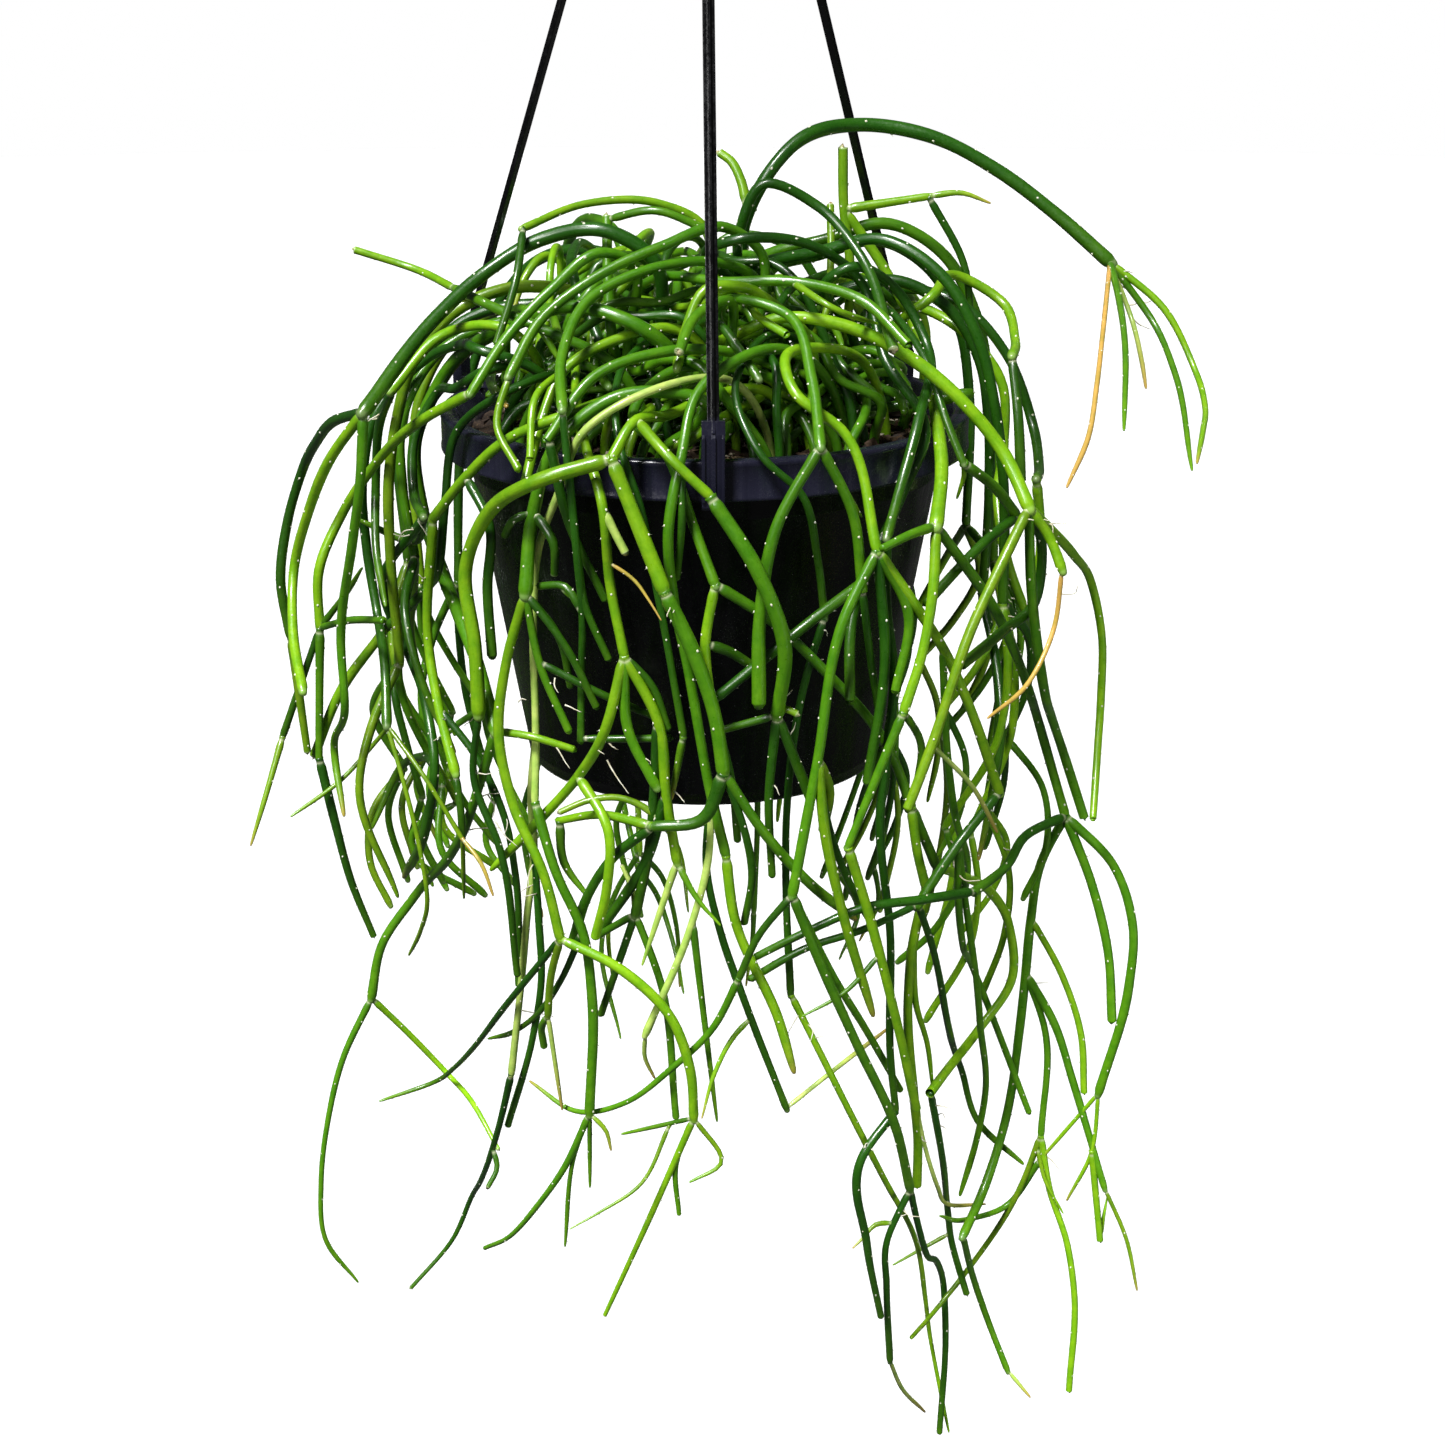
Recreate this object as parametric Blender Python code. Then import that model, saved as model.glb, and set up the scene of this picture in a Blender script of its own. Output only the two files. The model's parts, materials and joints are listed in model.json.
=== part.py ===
"""A mistletoe cactus in a black hanging pot, with its three-legged plastic hanger.

Lengths are millimetres with the middle of the rim's top as zero while the shapes are worked out.
The objects are made in metres, with the bearing point of the hanger's hook as the origin.
"""

import math

import bpy
import bmesh
import numpy as np

# Driving dimensions of the pot and its filling
RIM_RADIUS = 100.0
RIM_BAND = 14.0
LEDGE_INNER = 94.4
WALL_TOP_RADIUS = 92.0
POT_HEIGHT = 137.0
BASE_RADIUS = 69.5
WALL = 1.6
FLOOR = 2.0
DRAIN_HOLES = 6
DRAIN_RADIUS = 4.0
DRAIN_RING = 46.0
MIX_TOP = -9.0
MIX_CROWN = 1.6
GAP = 0.35
POT_SIDES = 32

# Driving dimensions of the hanger
APEX = 302.0
HOOK_BEARING = 340.0
HOOK_INNER = 9.0
HOOK_WIRE = 2.5
HUB_RADIUS = 7.5
HUB_HALF = 6.0
LEG_FOOT_RADIUS = 103.2
LEG_FOOT_UP = 13.0
LEG_ANGLES = (2.0, -110.6, 128.6)
CLIP_WIDTH = 8.0

# Half thicknesses of the stems, from old wood to young twigs
THICK = 2.5
MID = 1.85
FINE = 1.4
TWIG = 0.9
ROOT_DEPTH = 14.0
STEM_SPACING = 25.0
STEM_CLEAR = 0.75
LINE_SLACK = 1.3
LONGEST_STEP = 70.0

# The eye that the stems' places were read from, in millimetres and pixels of a 1445 pixel square
EYE = (6.65, -850.0, 170.24)
EYE_DIP = 0.338
EYE_FOCAL = 2259.3
EYE_MIDDLE = 722.5

# The drape is the turned surface that the stems hang on, at a spread of 1
DRAPE_RADIUS = 112.0
DRAPE_CREST = 124.0
DRAPE_FALL = 0.04

COLOURS = {
    "dark": (0.030, 0.095, 0.012),
    "green": (0.075, 0.215, 0.018),
    "lime": (0.215, 0.400, 0.020),
    "olive": (0.150, 0.210, 0.030),
    "pale": (0.560, 0.640, 0.210),
    "dry": (0.480, 0.330, 0.130),
    "pot": (0.012, 0.011, 0.014),
    "mix": (0.040, 0.022, 0.013),
}


def branch(parent, start, end, spread, tone, path, finish="joint"):
    """One branch: what it grows from, its half thicknesses, how far out it hangs, and its path."""
    return {"parent": parent, "start": start, "end": end, "spread": spread, "tone": tone,
            "path": path, "finish": finish}


# Each shoot is read from the photo as pixels along its middle line. The first branch of a shoot
# comes out of the mix and has two spreads. The others name the branch that they grow from.
SHOOTS = {
    "left_arch": [
        branch(None, THICK, THICK, (0.6, 1.3), "dark",
               [(606, 226), (560, 226), (500, 256), (445, 303), (410, 348), (375, 398), (362, 414)]),
        branch(0, MID, MID, 1.4, "dark",
               [(362, 414), (340, 418), (317, 441), (296, 490), (283, 545), (281, 590), (291, 638)]),
        branch(1, MID, FINE, 1.35, "olive", [(291, 638), (297, 665), (306, 705), (313, 752)], "cut"),
        branch(0, MID, MID, 1.5, "lime",
               [(362, 414), (335, 450), (313, 500), (297, 550), (291, 600), (294, 640), (303, 692)]),
        branch(0, MID, FINE, 1.3, "green",
               [(362, 414), (364, 460), (357, 495), (352, 550), (343, 610), (341, 665), (345, 710),
                (334, 750), (344, 818)], "tip"),
    ],
    "left_reach": [
        branch(None, MID, MID, (0.7, 1.0), "green",
               [(603, 258), (575, 275), (530, 318), (490, 362), (470, 395)]),
        branch(0, MID, MID, 1.3, "lime",
               [(470, 395), (430, 415), (385, 455), (350, 500), (325, 550), (315, 600), (320, 630)]),
        branch(1, MID, FINE, 1.3, "green", [(320, 630), (319, 690), (316, 757)], "cut"),
        branch(1, FINE, FINE, 1.2, "green", [(320, 630), (345, 621), (383, 620)], "cut"),
        branch(1, FINE, TWIG, 1.2, "dark", [(320, 630), (345, 595), (362, 568)], "tip"),
        branch(1, FINE, FINE, 1.25, "dark", [(320, 630), (303, 690), (288, 745)]),
        branch(5, FINE, TWIG, 1.3, "olive", [(288, 745), (270, 795), (251, 845)], "tip"),
        branch(2, MID, FINE, 1.2, "dark", [(320, 740), (328, 800), (345, 865), (374, 936)], "cut"),
    ],
    "left_curtain": [
        branch(None, MID, MID, (0.85, 1.2), "dark",
               [(485, 352), (440, 358), (402, 385), (378, 425), (368, 480), (369, 530), (376, 590),
                (385, 650), (387, 727)]),
        branch(0, TWIG, TWIG, 1.2, "olive",
               [(387, 727), (365, 745), (333, 778), (285, 810)], "tip"),
        branch(0, TWIG, TWIG, 1.15, "olive",
               [(387, 727), (403, 780), (420, 850), (427, 895), (409, 955)], "tip"),
        branch(0, TWIG, TWIG, 1.1, "olive", [(387, 727), (415, 762), (448, 817), (463, 840)]),
        branch(3, TWIG, TWIG, 1.1, "dry", [(463, 840), (482, 865), (493, 895)], "tip"),
    ],
    "left_tuft": [
        branch(None, MID, MID, (0.8, 1.1), "lime",
               [(510, 330), (483, 325), (440, 336), (405, 366), (390, 392)]),
        branch(0, MID, FINE, 1.12, "dark",
               [(390, 392), (378, 440), (378, 500), (383, 560), (392, 605)], "tip"),
    ],
    "rim_left": [
        branch(None, MID, MID, (0.8, 1.0), "dark",
               [(500, 372), (470, 388), (440, 400), (424, 428), (416, 470), (424, 518)]),
        branch(0, MID, FINE, 1.05, "dark", [(424, 518), (398, 538), (372, 533), (362, 510)], "tip"),
        branch(0, MID, MID, 1.1, "dark",
               [(424, 518), (415, 560), (404, 610), (403, 650), (415, 695), (430, 760), (426, 812),
                (404, 877)], "tip"),
        branch(2, MID, FINE, 1.1, "dark", [(428, 745), (400, 768), (382, 795), (372, 828)], "tip"),
    ],
    "lime_cross": [
        branch(None, MID, MID, (0.9, 1.02), "lime",
               [(575, 432), (520, 445), (475, 475), (445, 505), (432, 520)]),
        branch(0, MID, MID, 1.05, "lime",
               [(432, 520), (432, 560), (427, 600), (429, 650), (437, 700), (452, 755), (456, 775)]),
        branch(1, FINE, FINE, 1.05, "dark", [(456, 775), (462, 805), (464, 838)]),
        branch(2, TWIG, TWIG, 1.0, "olive", [(464, 838), (465, 870), (464, 898)], "tip"),
        branch(1, FINE, FINE, 0.95, "dark",
               [(434, 680), (460, 740), (480, 790), (503, 840), (512, 900), (519, 985)], "cut"),
        branch(0, MID, MID, 1.0, "dark", [(484, 470), (484, 500), (487, 590), (491, 655)], "cut"),
    ],
    "underarm": [
        branch(None, FINE, MID, (0.8, 1.0), "dark",
               [(520, 395), (480, 430), (464, 480), (463, 535), (430, 577), (383, 619)]),
        branch(0, MID, MID, 1.1, "lime", [(383, 619), (358, 660), (335, 697), (322, 740), (315, 758)],
               "cut"),
    ],
    "front_left_arch": [
        branch(None, THICK, THICK, (0.6, 1.03), "green",
               [(650, 336), (600, 318), (560, 320), (520, 347), (490, 380), (468, 420), (451, 480),
                (445, 530), (446, 575), (458, 620), (478, 665), (497, 733)]),
        branch(0, MID, MID, 1.0, "green",
               [(497, 733), (482, 775), (463, 825), (440, 868), (400, 915), (380, 948), (371, 1000)]),
        branch(1, FINE, TWIG, 1.0, "green",
               [(371, 1000), (350, 1040), (330, 1110), (321, 1190), (323, 1230), (335, 1260),
                (358, 1282)], "tip"),
        branch(1, FINE, TWIG, 0.95, "lime",
               [(371, 1000), (397, 1023), (443, 1070), (482, 1120), (497, 1150)], "cut"),
        branch(0, FINE, FINE, 0.95, "lime", [(497, 733), (530, 735), (575, 748)], "cut"),
    ],
    "upper_left": [
        branch(None, MID, FINE, (0.3, 0.8), "lime", [(660, 206), (600, 205), (545, 220), (524, 233)]),
        branch(0, FINE, FINE, 0.85, "dark", [(524, 233), (521, 250), (518, 290), (500, 345)], "cut"),
    ],
    "needle": [
        branch(None, MID, MID, (0.75, 0.9), "green", [(545, 340), (505, 327), (480, 312), (455, 303)]),
        branch(0, FINE, TWIG, 1.0, "lime", [(455, 303), (400, 268), (355, 250)], "tip"),
    ],
    "stump": [
        branch(None, MID, MID, (0.5, 0.5), "green", [(621, 330), (614, 280), (607, 240), (607, 217)],
               "cut"),
        branch(0, FINE, FINE, 0.4, "green", [(607, 226), (660, 212), (695, 221), (709, 232)], "cut"),
    ],
    "arch_a": [
        branch(None, MID, MID, (0.4, 0.95), "green",
               [(722, 232), (690, 243), (640, 260), (600, 282), (560, 307), (530, 340), (508, 378)]),
        branch(0, FINE, FINE, 1.0, "lime", [(508, 378), (494, 402), (504, 432), (527, 475)], "cut"),
    ],
    "arch_b": [
        branch(None, MID, MID, (0.4, 0.96), "green",
               [(722, 258), (660, 265), (605, 287), (578, 330), (571, 380), (577, 425)]),
        branch(0, FINE, FINE, 0.97, "dark",
               [(577, 425), (579, 480), (578, 540), (584, 610), (580, 680), (579, 745)], "cut"),
        branch(1, FINE, FINE, 0.95, "dark", [(579, 585), (590, 615), (603, 641), (609, 659)], "cut"),
        branch(1, FINE, FINE, 0.97, "dark", [(580, 600), (565, 588), (545, 578), (537, 583)], "cut"),
        branch(1, FINE, FINE, 0.93, "dark", [(579, 740), (629, 744), (669, 736)], "cut"),
    ],
    "lime_arch": [
        branch(None, MID, MID, (0.5, 1.0), "lime",
               [(690, 328), (640, 338), (600, 355), (575, 380), (557, 410), (545, 445), (533, 485)],
               "cut"),
        branch(0, FINE, FINE, 1.0, "lime", [(575, 380), (550, 395), (540, 425), (536, 462)], "cut"),
    ],
    "pale_stub": [
        branch(None, MID, MID, (0.6, 0.85), "green", [(735, 300), (718, 305), (697, 316), (679, 352)],
               "cut"),
    ],
    "lit_arch": [
        branch(None, MID, MID, (0.55, 0.95), "green",
               [(800, 392), (770, 378), (714, 365), (655, 376), (610, 396), (585, 425), (568, 458)],
               "cut"),
        branch(0, MID, FINE, 0.97, "dark", [(568, 458), (580, 530), (594, 579), (599, 605)], "cut"),
    ],
    "rim_arch": [
        branch(None, MID, THICK, (0.75, 1.02), "green",
               [(705, 412), (660, 404), (615, 411), (580, 442), (556, 475), (545, 520), (533, 570),
                (527, 596)]),
        branch(0, MID, MID, 1.03, "lime",
               [(527, 596), (514, 640), (507, 690), (506, 745), (512, 780), (530, 825), (548, 860),
                (562, 905), (567, 937)]),
        branch(0, FINE, FINE, 1.0, "green", [(527, 596), (533, 640), (548, 680), (570, 730)], "cut"),
        branch(0, FINE, FINE, 0.95, "dark", [(527, 596), (562, 630), (580, 668), (603, 705)], "cut"),
        branch(1, MID, MID, 1.0, "lime",
               [(567, 937), (600, 952), (640, 975), (665, 1000), (683, 1035), (694, 1080),
                (694, 1120)]),
        branch(4, FINE, TWIG, 1.0, "lime",
               [(694, 1120), (675, 1160), (650, 1217), (620, 1285), (605, 1315)], "cut"),
        branch(4, TWIG, TWIG, 0.95, "dark", [(694, 1120), (660, 1128), (622, 1134)], "tip"),
        branch(4, TWIG, TWIG, 1.05, "olive",
               [(694, 1120), (715, 1150), (721, 1175), (708, 1190), (690, 1182)], "tip"),
        branch(1, FINE, TWIG, 0.95, "dark",
               [(567, 937), (540, 967), (512, 1000), (470, 1052), (420, 1088), (380, 1101)], "tip"),
        branch(1, FINE, FINE, 0.97, "olive", [(567, 937), (557, 970), (554, 1010)]),
        branch(9, TWIG, TWIG, 0.97, "pale", [(554, 1010), (560, 1050), (565, 1108)], "tip"),
        branch(0, FINE, FINE, 0.93, "dark", [(527, 596), (540, 606), (563, 641), (574, 687)], "cut"),
        branch(2, FINE, FINE, 0.92, "dark",
               [(533, 640), (580, 681), (617, 704), (640, 719), (666, 733)], "cut"),
        branch(0, FINE, FINE, 1.0, "dark", [(545, 512), (526, 519), (505, 535)], "cut"),
        branch(0, MID, FINE, 0.97, "dark", [(552, 490), (556, 533), (555, 579)], "cut"),
        branch(9, FINE, FINE, 0.96, "green", [(554, 1005), (546, 1020), (544, 1046)], "cut"),
        branch(4, FINE, TWIG, 0.98, "green", [(694, 1118), (680, 1140), (676, 1180), (679, 1214)],
               "cut"),
    ],
    "pale_fall": [
        branch(None, FINE, FINE, (0.9, 1.0), "pale",
               [(590, 440), (552, 500), (530, 560), (528, 640), (530, 740), (533, 805)]),
        branch(0, MID, MID, 0.98, "green",
               [(533, 805), (555, 860), (572, 900), (587, 940), (594, 1000), (592, 1060),
                (592, 1113)]),
        branch(1, FINE, TWIG, 1.0, "green",
               [(592, 1113), (583, 1130), (565, 1168), (542, 1200), (515, 1232), (485, 1248)], "cut"),
        branch(1, TWIG, TWIG, 0.95, "green", [(592, 1113), (589, 1155), (590, 1187)], "tip"),
        branch(1, TWIG, TWIG, 1.0, "olive", [(592, 1113), (610, 1135), (611, 1150)], "tip"),
        branch(0, FINE, FINE, 1.0, "pale",
               [(530, 770), (521, 810), (523, 870), (519, 950), (516, 1020), (511, 1075)]),
        branch(5, FINE, TWIG, 0.95, "dark",
               [(511, 1075), (503, 1110), (487, 1165), (460, 1220), (443, 1257), (411, 1288)], "cut"),
        branch(5, FINE, FINE, 0.95, "dark",
               [(521, 840), (530, 889), (533, 943), (537, 1000), (527, 1050), (508, 1125)], "cut"),
        branch(1, FINE, TWIG, 0.95, "dark",
               [(585, 935), (568, 968), (548, 1002), (520, 1028), (487, 1039)], "tip"),
        branch(1, TWIG, TWIG, 0.97, "green",
               [(588, 1108), (577, 1150), (571, 1193), (573, 1225), (565, 1246)], "tip"),
    ],
    "node_fork": [
        branch(None, MID, MID, (0.8, 1.0), "lime", [(665, 418), (640, 425), (620, 438), (605, 464)]),
        branch(0, THICK, THICK, 1.06, "lime",
               [(605, 464), (570, 467), (525, 485), (490, 512), (472, 545), (467, 585), (472, 620),
                (480, 665), (481, 716)]),
        branch(1, FINE, FINE, 1.0, "dark",
               [(481, 716), (473, 745), (478, 775), (495, 815), (509, 870), (514, 930), (520, 975)],
               "cut"),
        branch(0, THICK, THICK, 1.06, "lime", [(605, 464), (625, 505), (645, 545), (665, 593)]),
        branch(3, THICK, THICK, 1.05, "green",
               [(665, 593), (690, 645), (712, 700), (717, 740), (724, 775)]),
        branch(4, THICK, MID, 1.0, "dark",
               [(724, 775), (720, 797), (700, 820), (670, 828), (652, 824)]),
        branch(5, MID, MID, 0.97, "dark",
               [(652, 824), (620, 850), (597, 880), (580, 915), (572, 945)], "cut"),
        branch(5, MID, FINE, 0.95, "lime", [(652, 824), (610, 814), (575, 815), (552, 820)], "cut"),
        branch(4, MID, MID, 1.0, "green", [(724, 775), (745, 805), (780, 853), (820, 893), (860, 924)],
               "tip"),
        branch(0, MID, MID, 1.05, "lime", [(620, 438), (655, 450), (700, 483), (712, 498)]),
        branch(9, THICK, THICK, 1.0, "green",
               [(712, 498), (732, 530), (755, 590), (768, 620), (773, 680), (773, 716)]),
        branch(10, MID, FINE, 0.97, "dark", [(773, 716), (768, 760), (768, 830), (772, 875)], "cut"),
        branch(10, MID, MID, 0.97, "dark", [(773, 716), (788, 750), (807, 795)], "cut"),
        branch(10, FINE, FINE, 0.95, "dark", [(773, 716), (745, 724), (722, 730)], "cut"),
        branch(4, FINE, FINE, 0.96, "dark", [(716, 735), (730, 770), (733, 800), (737, 840)], "cut"),
        branch(7, MID, FINE, 0.95, "dark", [(556, 819), (553, 836), (562, 862), (589, 898)], "tip"),
        branch(8, FINE, FINE, 0.95, "dark", [(742, 802), (748, 850), (750, 890), (742, 925)], "cut"),
    ],
    "clip_left_fall": [
        branch(None, MID, MID, (0.8, 1.0), "green",
               [(640, 408), (660, 422), (672, 445), (686, 475), (700, 515), (712, 560), (716, 587)]),
        branch(0, MID, MID, 1.0, "lime", [(716, 587), (706, 620), (706, 660), (711, 705)], "cut"),
        branch(0, MID, MID, 1.0, "green",
               [(716, 587), (760, 615), (800, 650), (845, 705), (888, 757), (912, 808)]),
        branch(2, MID, MID, 1.0, "green", [(912, 808), (928, 840), (937, 868)]),
        branch(3, MID, MID, 1.05, "lime",
               [(937, 868), (965, 880), (1005, 920), (1015, 950), (1010, 990), (970, 1045),
                (930, 1093)], "cut"),
        branch(2, MID, MID, 1.0, "lime", [(912, 808), (917, 850), (926, 888)]),
        branch(5, MID, MID, 0.97, "lime",
               [(926, 888), (915, 940), (909, 1000), (912, 1070), (918, 1140), (917, 1185)], "cut"),
        branch(1, MID, MID, 0.95, "dark", [(708, 640), (725, 650), (749, 664)], "cut"),
        branch(1, MID, MID, 0.95, "dark",
               [(711, 698), (740, 681), (766, 659), (789, 636), (823, 619), (860, 590)], "cut"),
        branch(6, FINE, TWIG, 1.0, "lime", [(912, 960), (916, 1000), (926, 1035), (933, 1092)],
               "tip"),
        branch(6, TWIG, TWIG, 1.05, "pale",
               [(918, 1115), (926, 1150), (937, 1185), (955, 1206), (985, 1204)], "tip"),
        branch(4, FINE, FINE, 1.0, "dark",
               [(930, 1093), (940, 1139), (951, 1186), (958, 1239), (975, 1290)], "cut"),
    ],
    "leg_left_fall": [
        branch(None, MID, MID, (0.8, 0.97), "green",
               [(712, 392), (699, 420), (686, 465), (677, 510), (669, 560), (675, 615), (688, 670),
                (700, 740), (715, 810), (727, 857)]),
        branch(0, MID, MID, 1.0, "lime",
               [(727, 857), (727, 890), (740, 930), (762, 985), (785, 1035), (794, 1072)], "tip"),
        branch(0, FINE, FINE, 0.93, "dark",
               [(713, 800), (706, 850), (712, 900), (733, 965), (757, 1035), (787, 1110)]),
        branch(2, TWIG, TWIG, 0.93, "pale", [(787, 1110), (830, 1077), (890, 1028)], "tip"),
        branch(0, FINE, FINE, 0.97, "pale",
               [(715, 812), (705, 880), (693, 920), (677, 965), (645, 1035)]),
        branch(4, TWIG, TWIG, 0.97, "pale", [(645, 1035), (643, 1055), (652, 1085)], "tip"),
        branch(0, FINE, FINE, 0.93, "dark", [(686, 470), (691, 516), (680, 578)], "cut"),
        branch(4, FINE, TWIG, 0.93, "green",
               [(697, 905), (699, 975), (706, 1030), (711, 1080), (717, 1121)], "tip"),
    ],
    "glossy_drop": [
        branch(None, FINE, FINE, (0.85, 0.95), "dark",
               [(628, 425), (643, 455), (654, 495), (667, 545), (673, 610), (678, 680), (682, 737)]),
        branch(0, FINE, FINE, 0.95, "green", [(682, 737), (672, 780), (667, 802)], "tip"),
    ],
    "centre_lime": [
        branch(None, FINE, MID, (0.85, 0.98), "lime",
               [(585, 430), (597, 480), (608, 520), (612, 545), (606, 590), (608, 630), (613, 660)]),
        branch(0, MID, MID, 1.0, "lime",
               [(613, 660), (602, 700), (582, 758), (555, 800), (525, 838), (498, 867)], "tip"),
        branch(1, MID, MID, 1.0, "lime",
               [(582, 758), (600, 810), (606, 855), (600, 900), (588, 935)], "cut"),
        branch(0, MID, MID, 0.98, "lime",
               [(613, 660), (638, 700), (657, 745), (658, 775), (672, 835), (677, 865)]),
        branch(3, FINE, TWIG, 1.0, "pale", [(677, 865), (665, 905), (642, 965)], "tip"),
        branch(0, FINE, FINE, 0.95, "dark", [(610, 625), (635, 665), (660, 705), (677, 728)], "cut"),
        branch(0, MID, MID, 0.98, "green",
               [(613, 660), (618, 710), (626, 744), (636, 773), (657, 788)]),
        branch(3, MID, MID, 0.93, "dark", [(657, 760), (650, 800), (645, 860), (635, 916)]),
        branch(7, FINE, FINE, 0.92, "dark", [(635, 916), (616, 961), (601, 1014)], "cut"),
        branch(7, FINE, FINE, 0.92, "dark", [(635, 916), (615, 924), (595, 937)], "cut"),
        branch(7, FINE, FINE, 0.92, "green",
               [(635, 916), (655, 950), (662, 1000), (668, 1060), (676, 1117)], "cut"),
        branch(3, MID, MID, 0.9, "dark", [(671, 830), (640, 870), (615, 905), (597, 935)], "cut"),
    ],
    "clip_right_fall": [
        branch(None, FINE, FINE, (0.8, 0.96), "dark",
               [(738, 385), (736, 420), (757, 445), (782, 485), (797, 503), (812, 540), (822, 580),
                (830, 620)]),
        branch(0, FINE, FINE, 0.97, "dark",
               [(830, 620), (815, 655), (806, 700), (796, 750), (788, 830), (787, 900), (790, 1005)]),
        branch(1, FINE, TWIG, 0.95, "lime",
               [(790, 1005), (820, 1063), (858, 1135), (890, 1190), (912, 1225), (924, 1270),
                (935, 1360), (948, 1435)], "tip"),
    ],
    "centre_fork": [
        branch(None, MID, MID, (0.55, 1.0), "green",
               [(722, 307), (755, 301), (780, 325), (795, 360), (806, 410), (812, 459)]),
        branch(0, MID, THICK, 1.03, "green",
               [(812, 459), (787, 500), (770, 560), (764, 605), (768, 650), (766, 700)], "cut"),
        branch(0, MID, MID, 1.03, "green", [(812, 459), (843, 505), (863, 550), (866, 590)], "cut"),
        branch(0, TWIG, TWIG, 1.0, "lime", [(812, 459), (845, 487), (878, 510)], "tip"),
        branch(2, FINE, FINE, 0.98, "dark", [(866, 590), (862, 625), (869, 656), (880, 712)], "cut"),
    ],
    "diagonal_right": [
        branch(None, MID, THICK, (0.5, 1.25), "lime",
               [(722, 332), (760, 314), (820, 314), (885, 340), (935, 377), (975, 418), (1005, 455),
                (1030, 510)]),
        branch(0, MID, MID, 1.35, "lime", [(1030, 510), (1056, 550), (1063, 572)]),
        branch(1, TWIG, TWIG, 1.3, "dry",
               [(1063, 572), (1062, 600), (1045, 650), (1015, 700), (988, 718)], "tip"),
        branch(0, MID, FINE, 1.4, "lime",
               [(1030, 510), (1070, 550), (1095, 595), (1103, 650), (1100, 710), (1093, 818)], "cut"),
        branch(0, MID, MID, 1.2, "olive",
               [(1030, 510), (1000, 567), (973, 625), (955, 680), (932, 745), (908, 808)], "cut"),
        branch(4, TWIG, TWIG, 1.2, "pale", [(938, 730), (975, 790), (997, 832)], "tip"),
        branch(0, MID, MID, 1.2, "dark",
               [(1030, 510), (1043, 560), (1041, 590), (1015, 620), (962, 665)], "cut"),
        branch(0, MID, MID, 1.25, "green",
               [(1030, 510), (1030, 563), (1034, 620), (1042, 680), (1060, 745), (1083, 818)], "cut"),
    ],
    "tall_lime": [
        branch(None, MID, MID, (0.45, 0.4), "lime", [(852, 262), (846, 218), (843, 170), (843, 145)],
               "cut"),
        branch(0, MID, FINE, 0.8, "lime", [(846, 218), (900, 200), (931, 196)]),
        branch(1, FINE, TWIG, 0.9, "lime", [(931, 196), (970, 194), (990, 203)], "tip"),
        branch(1, FINE, FINE, 0.85, "dark", [(931, 196), (955, 230), (964, 270), (968, 350)], "cut"),
        branch(0, MID, THICK, 1.12, "lime",
               [(846, 218), (874, 250), (908, 310), (922, 360), (929, 420), (935, 480), (936, 528)]),
        branch(4, MID, MID, 1.15, "lime", [(936, 528), (928, 590), (915, 670), (903, 714)]),
        branch(4, MID, MID, 1.2, "green",
               [(936, 528), (965, 565), (1003, 625), (1025, 680), (1045, 745), (1066, 818)]),
        branch(4, MID, FINE, 1.1, "green", [(936, 528), (905, 537), (880, 550)], "cut"),
        branch(5, MID, FINE, 1.1, "green", [(903, 714), (890, 745), (868, 795), (847, 849)]),
        branch(8, MID, MID, 1.0, "lime",
               [(847, 849), (862, 895), (878, 955), (893, 1020), (915, 1105)], "cut"),
        branch(5, FINE, FINE, 1.1, "green", [(903, 714), (922, 750), (916, 790)], "cut"),
        branch(6, MID, MID, 1.15, "dark", [(1066, 818), (1030, 832), (1000, 872), (972, 892)], "cut"),
        branch(6, MID, MID, 1.1, "green",
               [(1066, 818), (1040, 860), (1025, 930), (1015, 1020), (1008, 1080), (993, 1160),
                (962, 1238)]),
        branch(12, FINE, FINE, 1.0, "green", [(962, 1238), (983, 1310), (1008, 1372)]),
        branch(13, TWIG, TWIG, 1.0, "pale", [(1008, 1372), (1030, 1397)], "tip"),
        branch(6, MID, MID, 1.25, "green", [(1066, 818), (1087, 870), (1107, 945), (1112, 1020)],
               "cut"),
        branch(6, MID, MID, 1.3, "green",
               [(1066, 818), (1110, 860), (1132, 920), (1130, 980), (1112, 1040), (1098, 1095)]),
        branch(16, TWIG, TWIG, 1.2, "lime", [(1098, 1095), (1075, 1120), (1040, 1160)], "tip"),
        branch(16, TWIG, TWIG, 1.25, "lime", [(1098, 1095), (1095, 1140), (1067, 1200)], "tip"),
        branch(12, FINE, FINE, 1.1, "lime",
               [(1027, 920), (1050, 955), (1067, 1000), (1081, 1040), (1084, 1092)], "cut"),
        branch(12, MID, FINE, 1.05, "green",
               [(1022, 950), (1040, 1000), (1057, 1050), (1083, 1115), (1105, 1190)]),
        branch(20, TWIG, TWIG, 1.1, "olive", [(1105, 1190), (1125, 1235), (1137, 1290)], "tip"),
        branch(12, FINE, FINE, 0.97, "green", [(1022, 950), (1037, 1020), (1040, 1090), (1036, 1137)]),
        branch(22, FINE, FINE, 1.0, "lime",
               [(1036, 1137), (1043, 1180), (1062, 1235), (1074, 1320), (1069, 1390)], "cut"),
        branch(22, FINE, TWIG, 0.95, "olive",
               [(1036, 1137), (1015, 1190), (983, 1245), (945, 1295), (910, 1337)], "cut"),
        branch(11, MID, FINE, 0.97, "dark",
               [(972, 892), (935, 899), (897, 908), (847, 918), (804, 939), (760, 960), (738, 972)],
               "cut"),
        branch(17, FINE, TWIG, 1.05, "green", [(1040, 1160), (1025, 1190), (995, 1213), (940, 1216)],
               "tip"),
        branch(18, FINE, FINE, 1.2, "lime", [(1094, 1145), (1096, 1190), (1100, 1240)], "cut"),
    ],
    "twin_fall": [
        branch(None, MID, MID, (0.85, 1.08), "lime",
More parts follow.
